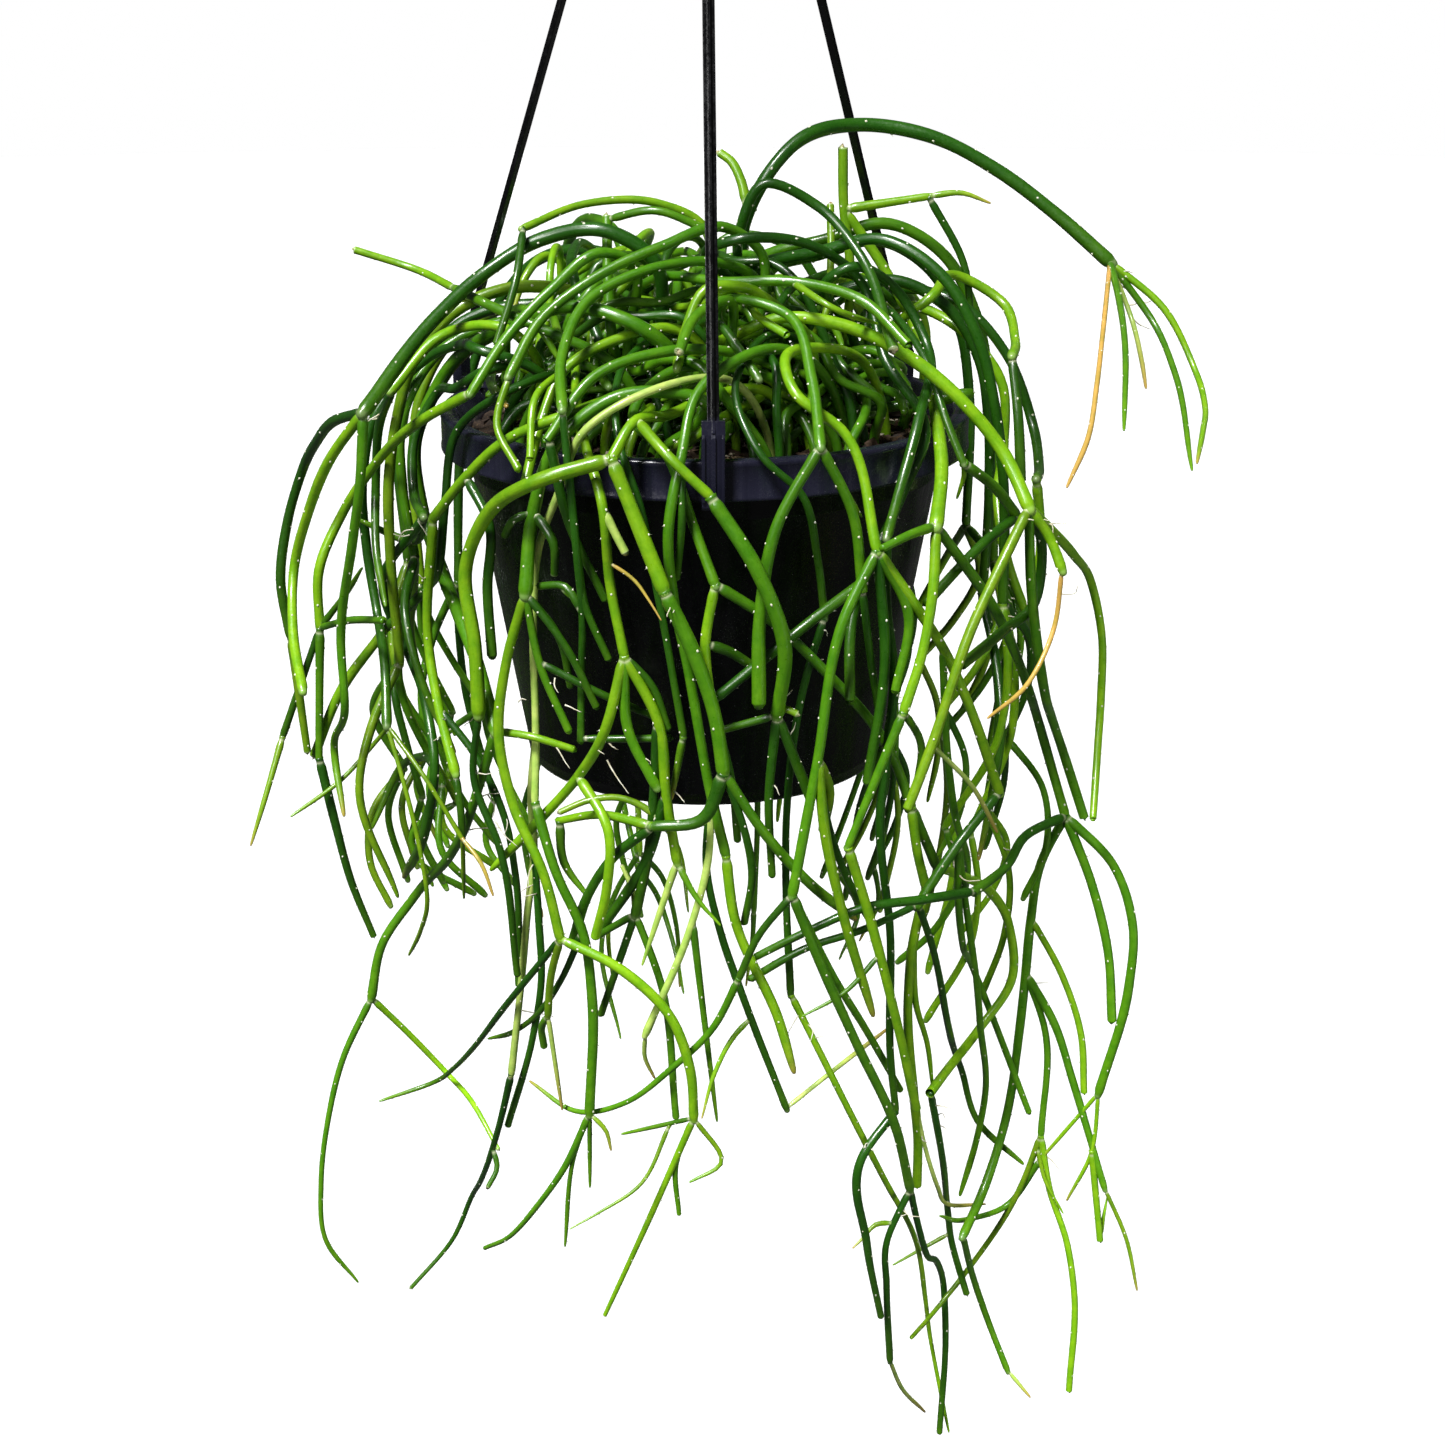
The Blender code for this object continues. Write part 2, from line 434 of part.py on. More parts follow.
               [(790, 395), (820, 415), (845, 440), (860, 490), (877, 553)]),
        branch(0, MID, MID, 1.08, "green",
               [(877, 553), (850, 600), (835, 660), (824, 730), (810, 795), (792, 897)]),
        branch(0, MID, MID, 1.1, "green", [(877, 553), (902, 595), (910, 635), (896, 690)], "cut"),
        branch(0, MID, MID, 1.0, "dark", [(877, 553), (885, 640), (880, 710), (867, 780)], "cut"),
        branch(0, MID, MID, 1.15, "lime",
               [(877, 553), (925, 615), (955, 668), (975, 720), (1000, 794)]),
        branch(4, MID, MID, 1.1, "dark", [(1000, 794), (960, 850), (925, 912)], "cut"),
        branch(1, MID, MID, 1.05, "lime",
               [(810, 795), (830, 865), (845, 920), (863, 980), (873, 1015)], "tip"),
        branch(1, MID, MID, 1.0, "green",
               [(792, 897), (820, 965), (850, 1035), (885, 1112), (910, 1190)]),
        branch(1, FINE, FINE, 0.95, "green", [(792, 897), (835, 975), (880, 1045), (905, 1090)], "cut"),
        branch(1, FINE, FINE, 1.0, "dark", [(792, 897), (765, 925), (740, 975)]),
        branch(9, FINE, TWIG, 0.95, "green",
               [(740, 975), (725, 1010), (680, 1060), (632, 1098), (592, 1113), (550, 1100),
                (527, 1080)], "tip"),
        branch(7, FINE, FINE, 0.95, "dark",
               [(910, 1190), (925, 1250), (943, 1275), (946, 1330), (940, 1428)], "cut"),
        branch(7, FINE, FINE, 0.9, "dark", [(910, 1190), (893, 1215), (887, 1270), (890, 1362)]),
        branch(12, TWIG, TWIG, 0.9, "pale", [(890, 1362), (900, 1385), (925, 1412)], "tip"),
        branch(5, FINE, FINE, 0.95, "dark",
               [(940, 885), (941, 960), (952, 1020), (975, 1095), (1000, 1155), (1030, 1172)], "tip"),
        branch(5, FINE, FINE, 1.0, "green",
               [(945, 878), (973, 970), (975, 1040), (980, 1110), (960, 1195)], "tip"),
        branch(1, MID, MID, 1.0, "olive", [(822, 745), (829, 790), (823, 830)], "cut"),
        branch(5, FINE, FINE, 0.93, "dark",
               [(925, 908), (886, 932), (836, 936), (786, 961), (742, 982)], "cut"),
        branch(1, FINE, FINE, 0.97, "dark", [(818, 765), (828, 830), (847, 886), (868, 928)], "cut"),
        branch(5, FINE, FINE, 0.97, "green",
               [(950, 880), (962, 920), (985, 990), (1011, 1050), (1035, 1110)], "cut"),
        branch(4, FINE, FINE, 1.0, "green",
               [(945, 660), (948, 740), (952, 800), (965, 850), (978, 905)], "cut"),
    ],
    "dark_fall": [
        branch(None, MID, MID, (0.5, 1.03), "dark",
               [(738, 246), (790, 240), (838, 256), (868, 285), (880, 340), (881, 400), (879, 450),
                (873, 500), (858, 570), (845, 640), (848, 700)], "cut"),
    ],
    "dark_fall_outer": [
        branch(None, MID, MID, (0.6, 1.06), "dark",
               [(838, 262), (880, 281), (905, 312), (914, 380), (905, 440), (892, 500), (882, 540)]),
        branch(0, MID, FINE, 0.98, "dark",
               [(882, 540), (884, 600), (893, 700), (880, 800), (885, 880), (892, 960), (888, 1040),
                (893, 1110)]),
        branch(1, MID, FINE, 0.93, "dark",
               [(893, 1110), (864, 1138), (861, 1190), (868, 1260), (881, 1316)], "cut"),
        branch(1, MID, MID, 0.97, "dark", [(893, 715), (883, 744), (869, 782)], "cut"),
    ],
    "crown_top": [
        branch(None, MID, MID, (0.3, 0.9), "dark",
               [(742, 236), (744, 200), (770, 187), (815, 206), (850, 240), (872, 285), (890, 350)],
               "cut"),
    ],
    "right_arch": [
        branch(None, THICK, THICK, (0.3, 1.4), "dark",
               [(755, 205), (785, 160), (840, 133), (920, 138), (1000, 175), (1060, 219),
                (1112, 264)]),
        branch(0, TWIG, TWIG, 1.6, "dry",
               [(1112, 264), (1104, 320), (1096, 390), (1083, 455), (1067, 487)], "tip"),
        branch(0, FINE, TWIG, 1.7, "green", [(1112, 264), (1124, 335), (1127, 400), (1124, 430)],
               "tip"),
        branch(0, TWIG, TWIG, 1.5, "pale", [(1112, 264), (1132, 320), (1146, 388)], "tip"),
        branch(0, FINE, TWIG, 1.7, "green", [(1112, 264), (1158, 330), (1180, 395), (1192, 470)],
               "tip"),
        branch(0, FINE, TWIG, 1.75, "lime",
               [(1112, 264), (1165, 310), (1195, 370), (1203, 430), (1197, 463)], "tip"),
    ],
    "right_lime_arch": [
        branch(None, MID, MID, (0.8, 1.1), "lime",
               [(925, 300), (955, 276), (985, 281), (1006, 315), (1012, 357)]),
        branch(0, MID, MID, 1.15, "dark", [(1012, 357), (1019, 420), (1022, 480)], "cut"),
    ],
    "right_dark": [
        branch(None, MID, MID, (0.7, 1.2), "dark",
               [(955, 303), (985, 330), (1018, 385), (1033, 440), (1035, 480)]),
        branch(0, MID, FINE, 1.2, "lime", [(1035, 480), (1040, 530), (1036, 590)], "cut"),
    ],
    "right_pale": [
        branch(None, MID, MID, (0.8, 1.1), "lime",
               [(957, 330), (990, 365), (1001, 410), (995, 460), (991, 510), (1000, 560),
                (1018, 612)]),
        branch(0, FINE, FINE, 1.1, "dark", [(1018, 612), (1027, 640), (1036, 670)], "tip"),
    ],
    "rim_right": [
        branch(None, FINE, FINE, (0.85, 1.0), "dark", [(925, 378), (935, 430), (948, 472)]),
        branch(0, MID, MID, 1.12, "green", [(948, 472), (980, 485), (1018, 517)]),
        branch(1, MID, MID, 1.1, "dark", [(1018, 517), (970, 562), (935, 605)], "cut"),
        branch(0, TWIG, TWIG, 1.0, "lime", [(948, 472), (958, 483), (957, 498)], "tip"),
    ],
    "crown_low": [
        branch(None, MID, MID, (0.5, 0.95), "green",
               [(722, 262), (780, 270), (840, 285), (880, 318), (905, 350)], "cut"),
        branch(0, FINE, TWIG, 0.8, "lime", [(770, 268), (830, 302), (880, 326)], "tip"),
    ],
    "cut_stubs": [
        branch(None, FINE, FINE, (0.5, 0.5), "olive", [(826, 320), (833, 275), (836, 240), (836, 205)],
               "cut"),
    ],
}

# The sides and the back, which the photo doesn't show, by direction in degrees from the front
BACK_DIRECTIONS = (62, 80, 96, 112, 127, 141, 156, 170, 184, 199, 214, 229, 243, 258, 273, 290)
BACK_TONES = ("dark", "green", "green", "lime", "olive")
BACK_BRANCHES = 8
SEED = 417


def drape_radius(height):
    """Radius of the drape at a height over the rim."""
    dome = np.sqrt(np.maximum(1.0 - (np.maximum(height, 0.0) / DRAPE_CREST) ** 2, 0.02))
    return DRAPE_RADIUS * dome + DRAPE_FALL * np.minimum(height + POT_HEIGHT, 0.0)


def place(pixel, spread):
    """Point on the drape, spread times its usual width, that a pixel looks at."""
    across = (pixel[0] - EYE_MIDDLE) / EYE_FOCAL
    up = (EYE_MIDDLE - pixel[1]) / EYE_FOCAL
    c, s = math.cos(EYE_DIP), math.sin(EYE_DIP)
    way = np.array((across, c + up * s, up * c - s))
    reach = np.linspace(640.0, 1240.0, 601)
    points = np.array(EYE) + reach[:, None] * way
    ratio = np.hypot(points[:, 0], points[:, 1]) / drape_radius(points[:, 2])
    inside = np.nonzero(ratio <= spread)[0]
    if len(inside) == 0 or inside[0] == 0:
        return points[int(np.argmin(ratio))]
    first = inside[0]
    share = (ratio[first - 1] - spread) / (ratio[first - 1] - ratio[first])
    return points[first - 1] * (1.0 - share) + points[first] * share


def pixel_of(points):
    """Pixels at which points are seen."""
    offset = np.atleast_2d(points) - np.array(EYE)
    c, s = math.cos(EYE_DIP), math.sin(EYE_DIP)
    depth = offset[:, 1] * c - offset[:, 2] * s
    up = offset[:, 1] * s + offset[:, 2] * c
    return np.stack((EYE_MIDDLE + EYE_FOCAL * offset[:, 0] / depth,
                     EYE_MIDDLE - EYE_FOCAL * up / depth), axis=1)


def smooth_line(points, spacing):
    """Points at even steps along a smooth curve through the given ones."""
    points = np.asarray(points, float)
    gaps = np.maximum(np.linalg.norm(np.diff(points, axis=0), axis=1), 1e-6)
    slopes = np.diff(points, axis=0) / gaps[:, None]
    middle = slopes[:-1] * gaps[1:, None] + slopes[1:] * gaps[:-1, None]
    middle /= (gaps[:-1] + gaps[1:])[:, None]
    ways = np.vstack((slopes[:1], middle, slopes[-1:]))
    t = np.linspace(0.0, 1.0, 16, endpoint=False)[:, None]
    dense = [(1 + 2 * t) * (1 - t) ** 2 * points[i] + t * (1 - t) ** 2 * gap * ways[i]
             + t * t * (3 - 2 * t) * points[i + 1] + t * t * (t - 1) * gap * ways[i + 1]
             for i, gap in enumerate(gaps)]
    dense = np.vstack(dense + [points[-1:]])
    run = run_along(dense)
    count = max(2, int(round(run[-1] / spacing)))
    steps = np.linspace(0.0, run[-1], count + 1)
    return np.stack([np.interp(steps, run, dense[:, k]) for k in range(3)], axis=1)


def run_along(line):
    """Length run along a line up to each of its points."""
    return np.concatenate(([0.0], np.cumsum(np.linalg.norm(np.diff(line, axis=0), axis=1))))


def root_line(spot, first, way):
    """Points from the mix at a spot up to a branch's first traced point."""
    base = np.array((spot[0], spot[1], MIX_TOP + 5.0))
    length = np.linalg.norm(first - base)
    low = base + np.array((0.0, 0.0, 0.5 * length))
    high = first - way / np.linalg.norm(way) * 0.35 * length
    count = max(2, int(round(1.1 * length / STEM_SPACING)))
    line = [np.array((spot[0], spot[1], MIX_TOP - ROOT_DEPTH))]
    for t in np.linspace(0.0, 1.0, count, endpoint=False):
        line.append((1 - t) ** 3 * base + 3 * (1 - t) ** 2 * t * low
                    + 3 * (1 - t) * t * t * high + t ** 3 * first)
    return np.array(line)


def root_spots(count):
    """Even places for the roots, in a sunflower pattern on the mix."""
    golden = math.pi * (3.0 - math.sqrt(5.0))
    spots = []
    for i in range(count):
        radius = 10.0 + 64.0 * math.sqrt(i / (count - 1))
        spots.append((radius * math.cos(i * golden), radius * math.sin(i * golden)))
    return spots


def take_spot(spots, wish):
    """The free root place nearest to the wished one, which is then taken."""
    reach = math.hypot(wish[0], wish[1])
    shrink = min(1.0, 66.0 / max(reach, 1.0))
    best = min(spots, key=lambda p: math.hypot(p[0] - wish[0] * shrink, p[1] - wish[1] * shrink))
    spots.remove(best)
    return best


def traced_lines(shoot, spots):
    """Middle lines of a traced shoot's branches, each with what it grows from."""
    grown = []
    for piece in shoot:
        path = piece["path"]
        parent = piece["parent"]
        if parent is None:
            at = 0
            start_spread, end_spread = piece["spread"]
        else:
            seen = pixel_of(grown[parent]["line"])
            gap = np.hypot(seen[:, 0] - path[0][0], seen[:, 1] - path[0][1])
            at = int(np.argmin(gap))
            start_spread, end_spread = grown[parent]["spreads"][at], piece["spread"]
        steps = np.hypot(*np.diff(np.array(path, float), axis=0).T)
        share = np.concatenate(([0.0], np.cumsum(steps))) / steps.sum()
        points = [place(pixel, start_spread + (end_spread - start_spread) * s)
                  for pixel, s in zip(path, share)]
        if parent is None:
            spot = take_spot(spots, points[0][:2] * 0.7)
            rise = root_line(spot, points[0], points[1] - points[0])
            line = np.vstack((rise, smooth_line(points, STEM_SPACING)))
        else:
            points[0] = grown[parent]["line"][at]
            line = smooth_line(points, STEM_SPACING)
        spreads = np.linspace(start_spread, end_spread, len(line))
        grown.append({"line": line, "parent": parent, "at": at, "start": piece["start"],
                      "end": piece["end"], "finish": piece["finish"], "tone": piece["tone"],
                      "spreads": spreads})
    return grown


def turn_about(direction, radius, height):
    """Point at a direction from the front, seen from above, a radius out and a height up."""
    return np.array((radius * math.sin(direction), -radius * math.cos(direction), height))


def back_lines(direction, draw, spots):
    """A shoot for the sides and back: an arch over the rim, with whorls of thinner branches."""
    crest = draw.uniform(30.0, 68.0)
    reach = draw.uniform(107.0, 126.0)
    sway = draw.uniform(-0.22, 0.22)
    drop = draw.uniform(40.0, 105.0)
    aside = math.sin(direction)
    lowest = -190.0 - 140.0 * (1.0 - abs(aside)) - 50.0 * max(aside, 0.0)
    tone = BACK_TONES[draw.integers(len(BACK_TONES))]
    points = [turn_about(direction - sway, 0.42 * reach, 0.92 * crest),
              turn_about(direction - 0.5 * sway, 0.70 * reach, crest),
              turn_about(direction, 0.93 * reach, 0.55 * crest),
              turn_about(direction + 0.4 * sway, reach, 2.0),
              turn_about(direction + sway, reach + 2.0, -drop)]
    spot = take_spot(spots, points[0][:2] * 0.8)
    line = np.vstack((root_line(spot, points[0], points[1] - points[0]),
                      smooth_line(points, STEM_SPACING)))
    grown = [{"line": line, "parent": None, "at": 0, "start": THICK, "end": MID,
              "finish": "joint", "tone": tone}]
    tips = [(0, direction + sway, reach + 2.0, -drop, MID)]
    for level, thick in enumerate((FINE, FINE, TWIG)):
        fresh = []
        for parent, angle, radius, height, before in tips:
            forks = draw.integers(2, 4) if level == 0 else draw.integers(1, 3)
            fan = draw.uniform(0.16, 0.34)
            for k in range(forks):
                turn = fan * (k - (forks - 1) / 2.0) + draw.uniform(-0.07, 0.07)
                fall = min(draw.uniform(50.0, 100.0), height - lowest)
                step = draw.uniform(-20.0, 12.0)
                if fall < 25.0 or len(grown) >= BACK_BRANCHES:
                    continue
                out = max(radius + step, 74.0)
                end_angle = angle + turn
                swell = draw.uniform(2.0, 12.0)
                mid = turn_about(angle + 0.75 * turn, max(radius, out) + swell, height - 0.4 * fall)
                end = turn_about(end_angle, out, height - fall)
                path = [grown[parent]["line"][-1], mid, end]
                tip = "tip" if level == 2 or draw.random() < 0.25 else "joint"
                grown.append({"line": smooth_line(path, STEM_SPACING), "parent": parent, "at": -1,
                              "start": before, "end": thick, "finish": tip,
                              "tone": BACK_TONES[draw.integers(len(BACK_TONES))]})
                if tip == "joint":
                    fresh.append((len(grown) - 1, end_angle, out, height - fall, thick))
        tips = fresh
    return grown


def guard_edges():
    """Edges of the fixed things that stems keep clear of, each with its half thickness."""
    edges = []
    ring = [2.0 * math.pi * k / 36 for k in range(37)]
    for radius, height, half in ((97.2, -1.0, 3.4), (98.4, -7.5, 2.2), (98.6, -13.0, 2.2)):
        for a, b in zip(ring[:-1], ring[1:]):
            edges.append((turn_about(a, radius, height), turn_about(b, radius, height), half))
    for angle in LEG_ANGLES:
        turn = math.radians(angle)
        top = np.array((0.0, 0.0, APEX))
        foot = turn_about(turn, LEG_FOOT_RADIUS, LEG_FOOT_UP)
        edges.append((top, foot, 3.1))
        edges.append((foot, turn_about(turn, 102.0, -16.0), 5.4))
        edges.append((turn_about(turn, 103.0, 3.0), turn_about(turn, 89.0, 1.0), 5.2))
    return edges


def thin_out(grown):
    """Drop the points of a shoot's lines that lie close to the straight way past them."""
    kept = [{0, len(piece["line"]) - 1} for piece in grown]
    for piece, mine in zip(grown, kept):
        if piece["parent"] is None:
            mine.add(1)
        else:
            piece["at"] %= len(grown[piece["parent"]]["line"])
            kept[piece["parent"]].add(piece["at"])
    orders = []
    for piece, mine in zip(grown, kept):
        order = sorted(mine)
        line = piece["line"]
        k = 0
        while k + 1 < len(order):
            first, last = order[k], order[k + 1]
            length = np.linalg.norm(line[last] - line[first])
            way = (line[last] - line[first]) / max(length, 1e-6)
            passed = line[first:last + 1] - line[first]
            off = np.linalg.norm(passed - np.outer(passed @ way, way), axis=1)
            if last - first > 1 and off.max() > LINE_SLACK:
                order.insert(k + 1, first + int(off.argmax()))
            elif last - first > 1 and length > LONGEST_STEP:
                order.insert(k + 1, (first + last) // 2)
            else:
                k += 1
        orders.append(order)
    for piece, order in zip(grown, orders):
        if piece["parent"] is not None:
            piece["at"] = orders[piece["parent"]].index(piece["at"])
        piece["line"] = piece["line"][order]


def thickness_at(piece):
    """Half thickness at each point of a branch's line, from its start to its end."""
    run = run_along(piece["line"])
    return piece["start"] + (piece["end"] - piece["start"]) * run / run[-1]


def nearest_on_edges(p, q, a, b):
    """Shares along edges p-q and a-b of their nearest points, worked out row by row."""
    d1, d2, r = q - p, b - a, p - a
    aa = np.maximum((d1 * d1).sum(1), 1e-9)
    ee = np.maximum((d2 * d2).sum(1), 1e-9)
    bb = (d1 * d2).sum(1)
    cc = (d1 * r).sum(1)
    ff = (d2 * r).sum(1)
    spread = aa * ee - bb * bb
    s = np.clip(np.where(spread > 1e-6, (bb * ff - cc * ee) / np.maximum(spread, 1e-6), 0.5), 0, 1)
    t = np.clip((bb * s + ff) / ee, 0, 1)
    s = np.clip((bb * t - cc) / aa, 0, 1)
    return s, t


def settle(shoots, rounds=160, still=0):
    """Bend the stems of different shoots clear of each other, the pot and the hanger."""
    points, half, shoot_of, held = [], [], [], []
    chains, glue = [], []
    for number, grown in enumerate(shoots):
        first_chain = len(chains)
        for piece in grown:
            start = len(points)
            line = piece["line"]
            chains.append((start, start + len(line)))
            widths = thickness_at(piece) * corner_factor(piece)
            for k, point in enumerate(line):
                points.append(point)
                half.append(widths[k])
                shoot_of.append(number)
                held.append(number < still or (piece["parent"] is None and k < 2))
            if piece["parent"] is not None:
                home = chains[first_chain + piece["parent"]]
                at = piece["at"] if piece["at"] >= 0 else home[1] - home[0] - 1
                glue.append((start, home[0] + at))
    free = len(points)
    for a, b, width in guard_edges():
        points += [a, b]
        half += [width, width]
        shoot_of += [-1, -1]
        held += [True, True]
    x = np.array(points)
    half = np.array(half)
    shoot_of = np.array(shoot_of)
    held = np.array(held)
    edges = [(i, i + 1) for start, end in chains for i in range(start, end - 1)]
    edges += [(i, i + 1) for i in range(free, len(points), 2)]
    e0 = np.array([e[0] for e in edges])
    e1 = np.array([e[1] for e in edges])
    owner = shoot_of[e0]
    apart_from = owner[:, None] != owner[None, :]
    apart_from &= np.arange(len(e0))[:, None] < np.arange(len(e0))[None, :]
    inner = np.zeros(len(x), bool)
    before = np.arange(len(x))
    after = np.arange(len(x))
    for start, end in chains:
        inner[start + 1:end - 1] = True
        before[start + 1:end] = np.arange(start, end - 1)
        after[start:end - 1] = np.arange(start + 1, end)
    inner &= ~held
    glue_child = np.array([g[0] for g in glue])
    glue_home = np.array([g[1] for g in glue])
    begun = x.copy()
    for step in range(rounds):
        middle = 0.5 * (x[e0] + x[e1])
        reach = 0.5 * np.linalg.norm(x[e1] - x[e0], axis=1) + half[e0] + 1.2
        near = np.abs(middle[:, None, 0] - middle[None, :, 0]) < reach[:, None] + reach[None, :]
        near &= np.abs(middle[:, None, 1] - middle[None, :, 1]) < reach[:, None] + reach[None, :]
        near &= np.abs(middle[:, None, 2] - middle[None, :, 2]) < reach[:, None] + reach[None, :]
        near &= apart_from
        one, two = np.nonzero(near)
        s, t = nearest_on_edges(x[e0[one]], x[e1[one]], x[e0[two]], x[e1[two]])
        here = x[e0[one]] * (1 - s)[:, None] + x[e1[one]] * s[:, None]
        there = x[e0[two]] * (1 - t)[:, None] + x[e1[two]] * t[:, None]
        apart = here - there
        distance = np.maximum(np.linalg.norm(apart, axis=1), 1e-4)
        need = (half[e0[one]] * (1 - s) + half[e1[one]] * s + half[e0[two]] * (1 - t)
                + half[e1[two]] * t + STEM_CLEAR)
        short = np.maximum(need - distance, 0.0)
        both_free = (owner[one] >= 0) & (owner[two] >= 0)
        push = apart / distance[:, None] * (short * np.where(both_free, 0.55, 1.1))[:, None]
        move = np.zeros_like(x)
        weight = np.zeros(len(x))
        for index, sign, part in ((e0[one], 1, 1 - s), (e1[one], 1, s),
                                  (e0[two], -1, 1 - t), (e1[two], -1, t)):
            part = part * (short > 0)
            for k in range(3):
                move[:, k] += np.bincount(index, sign * push[:, k] * part, len(x))
            weight += np.bincount(index, part * part, len(x))
        move /= np.maximum(weight, 0.5)[:, None]
        move[held] = 0.0
        x = x + np.clip(move, -2.5, 2.5)
        drift = x - begun
        even = 0.5 * drift + 0.25 * (drift[before] + drift[after])
        ease = 0.5 if step < rounds - 40 else 0.0
        x[inner] = begun[inner] + (1 - ease) * drift[inner] + ease * even[inner]
        x = keep_off_pot(x, half, held)
        x[glue_child] = x[glue_home]
    worst = float(short.max(initial=0.0)) - STEM_CLEAR
    print("closest stems overlap by", round(worst, 3), "mm after", rounds, "rounds")
    index = 0
    for grown in shoots:
        for piece in grown:
            count = len(piece["line"])
            piece["line"] = x[index:index + count].copy()
            index += count
    return shoots


def keep_off_pot(x, half, held):
    """Points moved out of the pot's wall, its rim and its filling."""
    x = x.copy()
    radius = np.maximum(np.hypot(x[:, 0], x[:, 1]), 1e-6)
    height = x[:, 2]
    below = (height < 1.0) & (height > -POT_HEIGHT - 6.0) & ~held
    wall = np.where(height > -24.0, RIM_RADIUS, WALL_TOP_RADIUS) + half + STEM_CLEAR
    out = below & (radius < wall) & (radius > 60.0)
    grow = np.where(out, wall / radius, 1.0)
    x[:, 0] *= grow
    x[:, 1] *= grow
    inside = (radius < 88.0) & (height < MIX_TOP + MIX_CROWN + half + 1.2) & (height > MIX_TOP - 30)
    inside &= ~held
    x[inside, 2] = (MIX_TOP + MIX_CROWN + half + 1.2)[inside]
    return x


def sides_of(piece):
    """Sides of a branch's faceted tube: fewer for finer branches."""
    if piece["start"] > MID + 0.1:
        return 5
    return 4 if piece["start"] > FINE + 0.1 else 3


def corner_factor(piece):
    """How much further out a polygon's corners lie than a round stem of the same section."""
    sides = sides_of(piece)
    return math.sqrt(2.0 * math.pi / (sides * math.sin(2.0 * math.pi / sides)))


def all_shoots():
    """Every shoot by name, traced ones first, settled clear of each other."""
    spots = root_spots(len(SHOOTS) + len(BACK_DIRECTIONS))
    draw = np.random.default_rng(SEED)
    shoots = {name: traced_lines(shoot, spots) for name, shoot in SHOOTS.items()}
    for number, degrees in enumerate(BACK_DIRECTIONS, 1):
        shoots[f"back_{number:02d}"] = back_lines(math.radians(degrees), draw, spots)
    settle(list(shoots.values()))
    for grown in shoots.values():
        thin_out(grown)
    settle(list(shoots.values()), 100)
    return shoots


def in_metres(points):
    """Points moved to the hook's bearing point as origin, in metres."""
    moved = np.atleast_2d(np.asarray(points, float)) - np.array((0.0, 0.0, HOOK_BEARING))
    return moved * 0.001


def paint(name, colour, roughness):
    """A plain material of one colour."""
    material = bpy.data.materials.new(name)
    material.use_nodes = True
    shader = material.node_tree.nodes["Principled BSDF"]
    shader.inputs["Base Color"].default_value = (*colour, 1.0)
    shader.inputs["Roughness"].default_value = roughness
    shader.inputs["Metallic"].default_value = 0.0
    return material


def add_object(name, points, faces, material=None):
    """A new object from points in millimetres and its faces, turned to face out."""
    mesh = bpy.data.meshes.new(name)
    mesh.from_pydata([tuple(p) for p in in_metres(points)], [], faces)
    work = bmesh.new()
    work.from_mesh(mesh)
    bmesh.ops.recalc_face_normals(work, faces=work.faces)
    work.to_mesh(mesh)
    work.free()
    if material:
        mesh.materials.append(material)
    piece = bpy.data.objects.new(name, mesh)
    bpy.context.scene.collection.objects.link(piece)
    return piece


def turned(name, profile, sides, material):
    """A solid of revolution from a closed profile of radius and height, poles allowed."""
    points, rings = [], []
    for radius, height in profile:
        if radius < 1e-6:
            rings.append([len(points)] * sides)
            points.append((0.0, 0.0, height))
            continue
        rings.append(list(range(len(points), len(points) + sides)))
        for k in range(sides):
            points.append(turn_about(2.0 * math.pi * k / sides, radius, height))
    faces = []
    for low, high in zip(rings, rings[1:] + rings[:1]):
        for k in range(sides):
            corners = [low[k], low[(k + 1) % sides], high[(k + 1) % sides], high[k]]
            face = list(dict.fromkeys(corners))
            if len(face) > 2:
                faces.append(face)
    return add_object(name, points, faces, material)


def prism(name, outline, thickness, place_point):
    """A flat outline pushed to both sides of its plane, each corner put in place by a function."""
    count = len(outline)
    points = [place_point(u, v, side * thickness / 2.0) for side in (-1, 1) for u, v in outline]
    faces = [list(range(count)), list(range(2 * count - 1, count - 1, -1))]
    faces += [[k, (k + 1) % count, count + (k + 1) % count, count + k] for k in range(count)]
    return add_object(name, points, faces)


def fold_in(piece, others, operation, solver="EXACT"):
    """Join or cut a piece with others by one Boolean, which is applied, and remove the others."""
    group = bpy.data.collections.new("fold_in")
    for other in others:
        bpy.context.scene.collection.objects.unlink(other)
        group.objects.link(other)
    bpy.context.scene.collection.children.link(group)
    fold = piece.modifiers.new("fold_in", "BOOLEAN")
    fold.operation = operation
    fold.operand_type = "COLLECTION"
    fold.collection = group
    fold.solver = solver
    graph = bpy.context.evaluated_depsgraph_get()
    result = bpy.data.meshes.new_from_object(piece.evaluated_get(graph))
    piece.modifiers.clear()
    piece.data = result
    for other in list(group.objects):
        bpy.data.objects.remove(other)
    bpy.data.collections.remove(group)
    return piece


def tidy(piece):
    """Merge points that nearly touch, split faces into triangles and drop loose scraps."""
    work = bmesh.new()
    work.from_mesh(piece.data)
    bmesh.ops.triangulate(work, faces=work.faces)
    bmesh.ops.dissolve_degenerate(work, dist=5e-5, edges=work.edges)
    bmesh.ops.triangulate(work, faces=work.faces)
    left = set(work.verts)
    islands = []
    while left:
        island, edge = set(), [next(iter(left))]
        while edge:
            vert = edge.pop()
            if vert in island:
                continue
            island.add(vert)
            edge += [e.other_vert(vert) for e in vert.link_edges]
        islands.append(island)
        left -= island
    islands.sort(key=len, reverse=True)
    for scrap in islands[1:]:
        bmesh.ops.delete(work, geom=list(scrap), context="VERTS")
    if len(islands) > 1:
        print(piece.name, "dropped loose pieces:", [len(i) for i in islands[1:]])
    work.to_mesh(piece.data)
    work.free()
    return piece


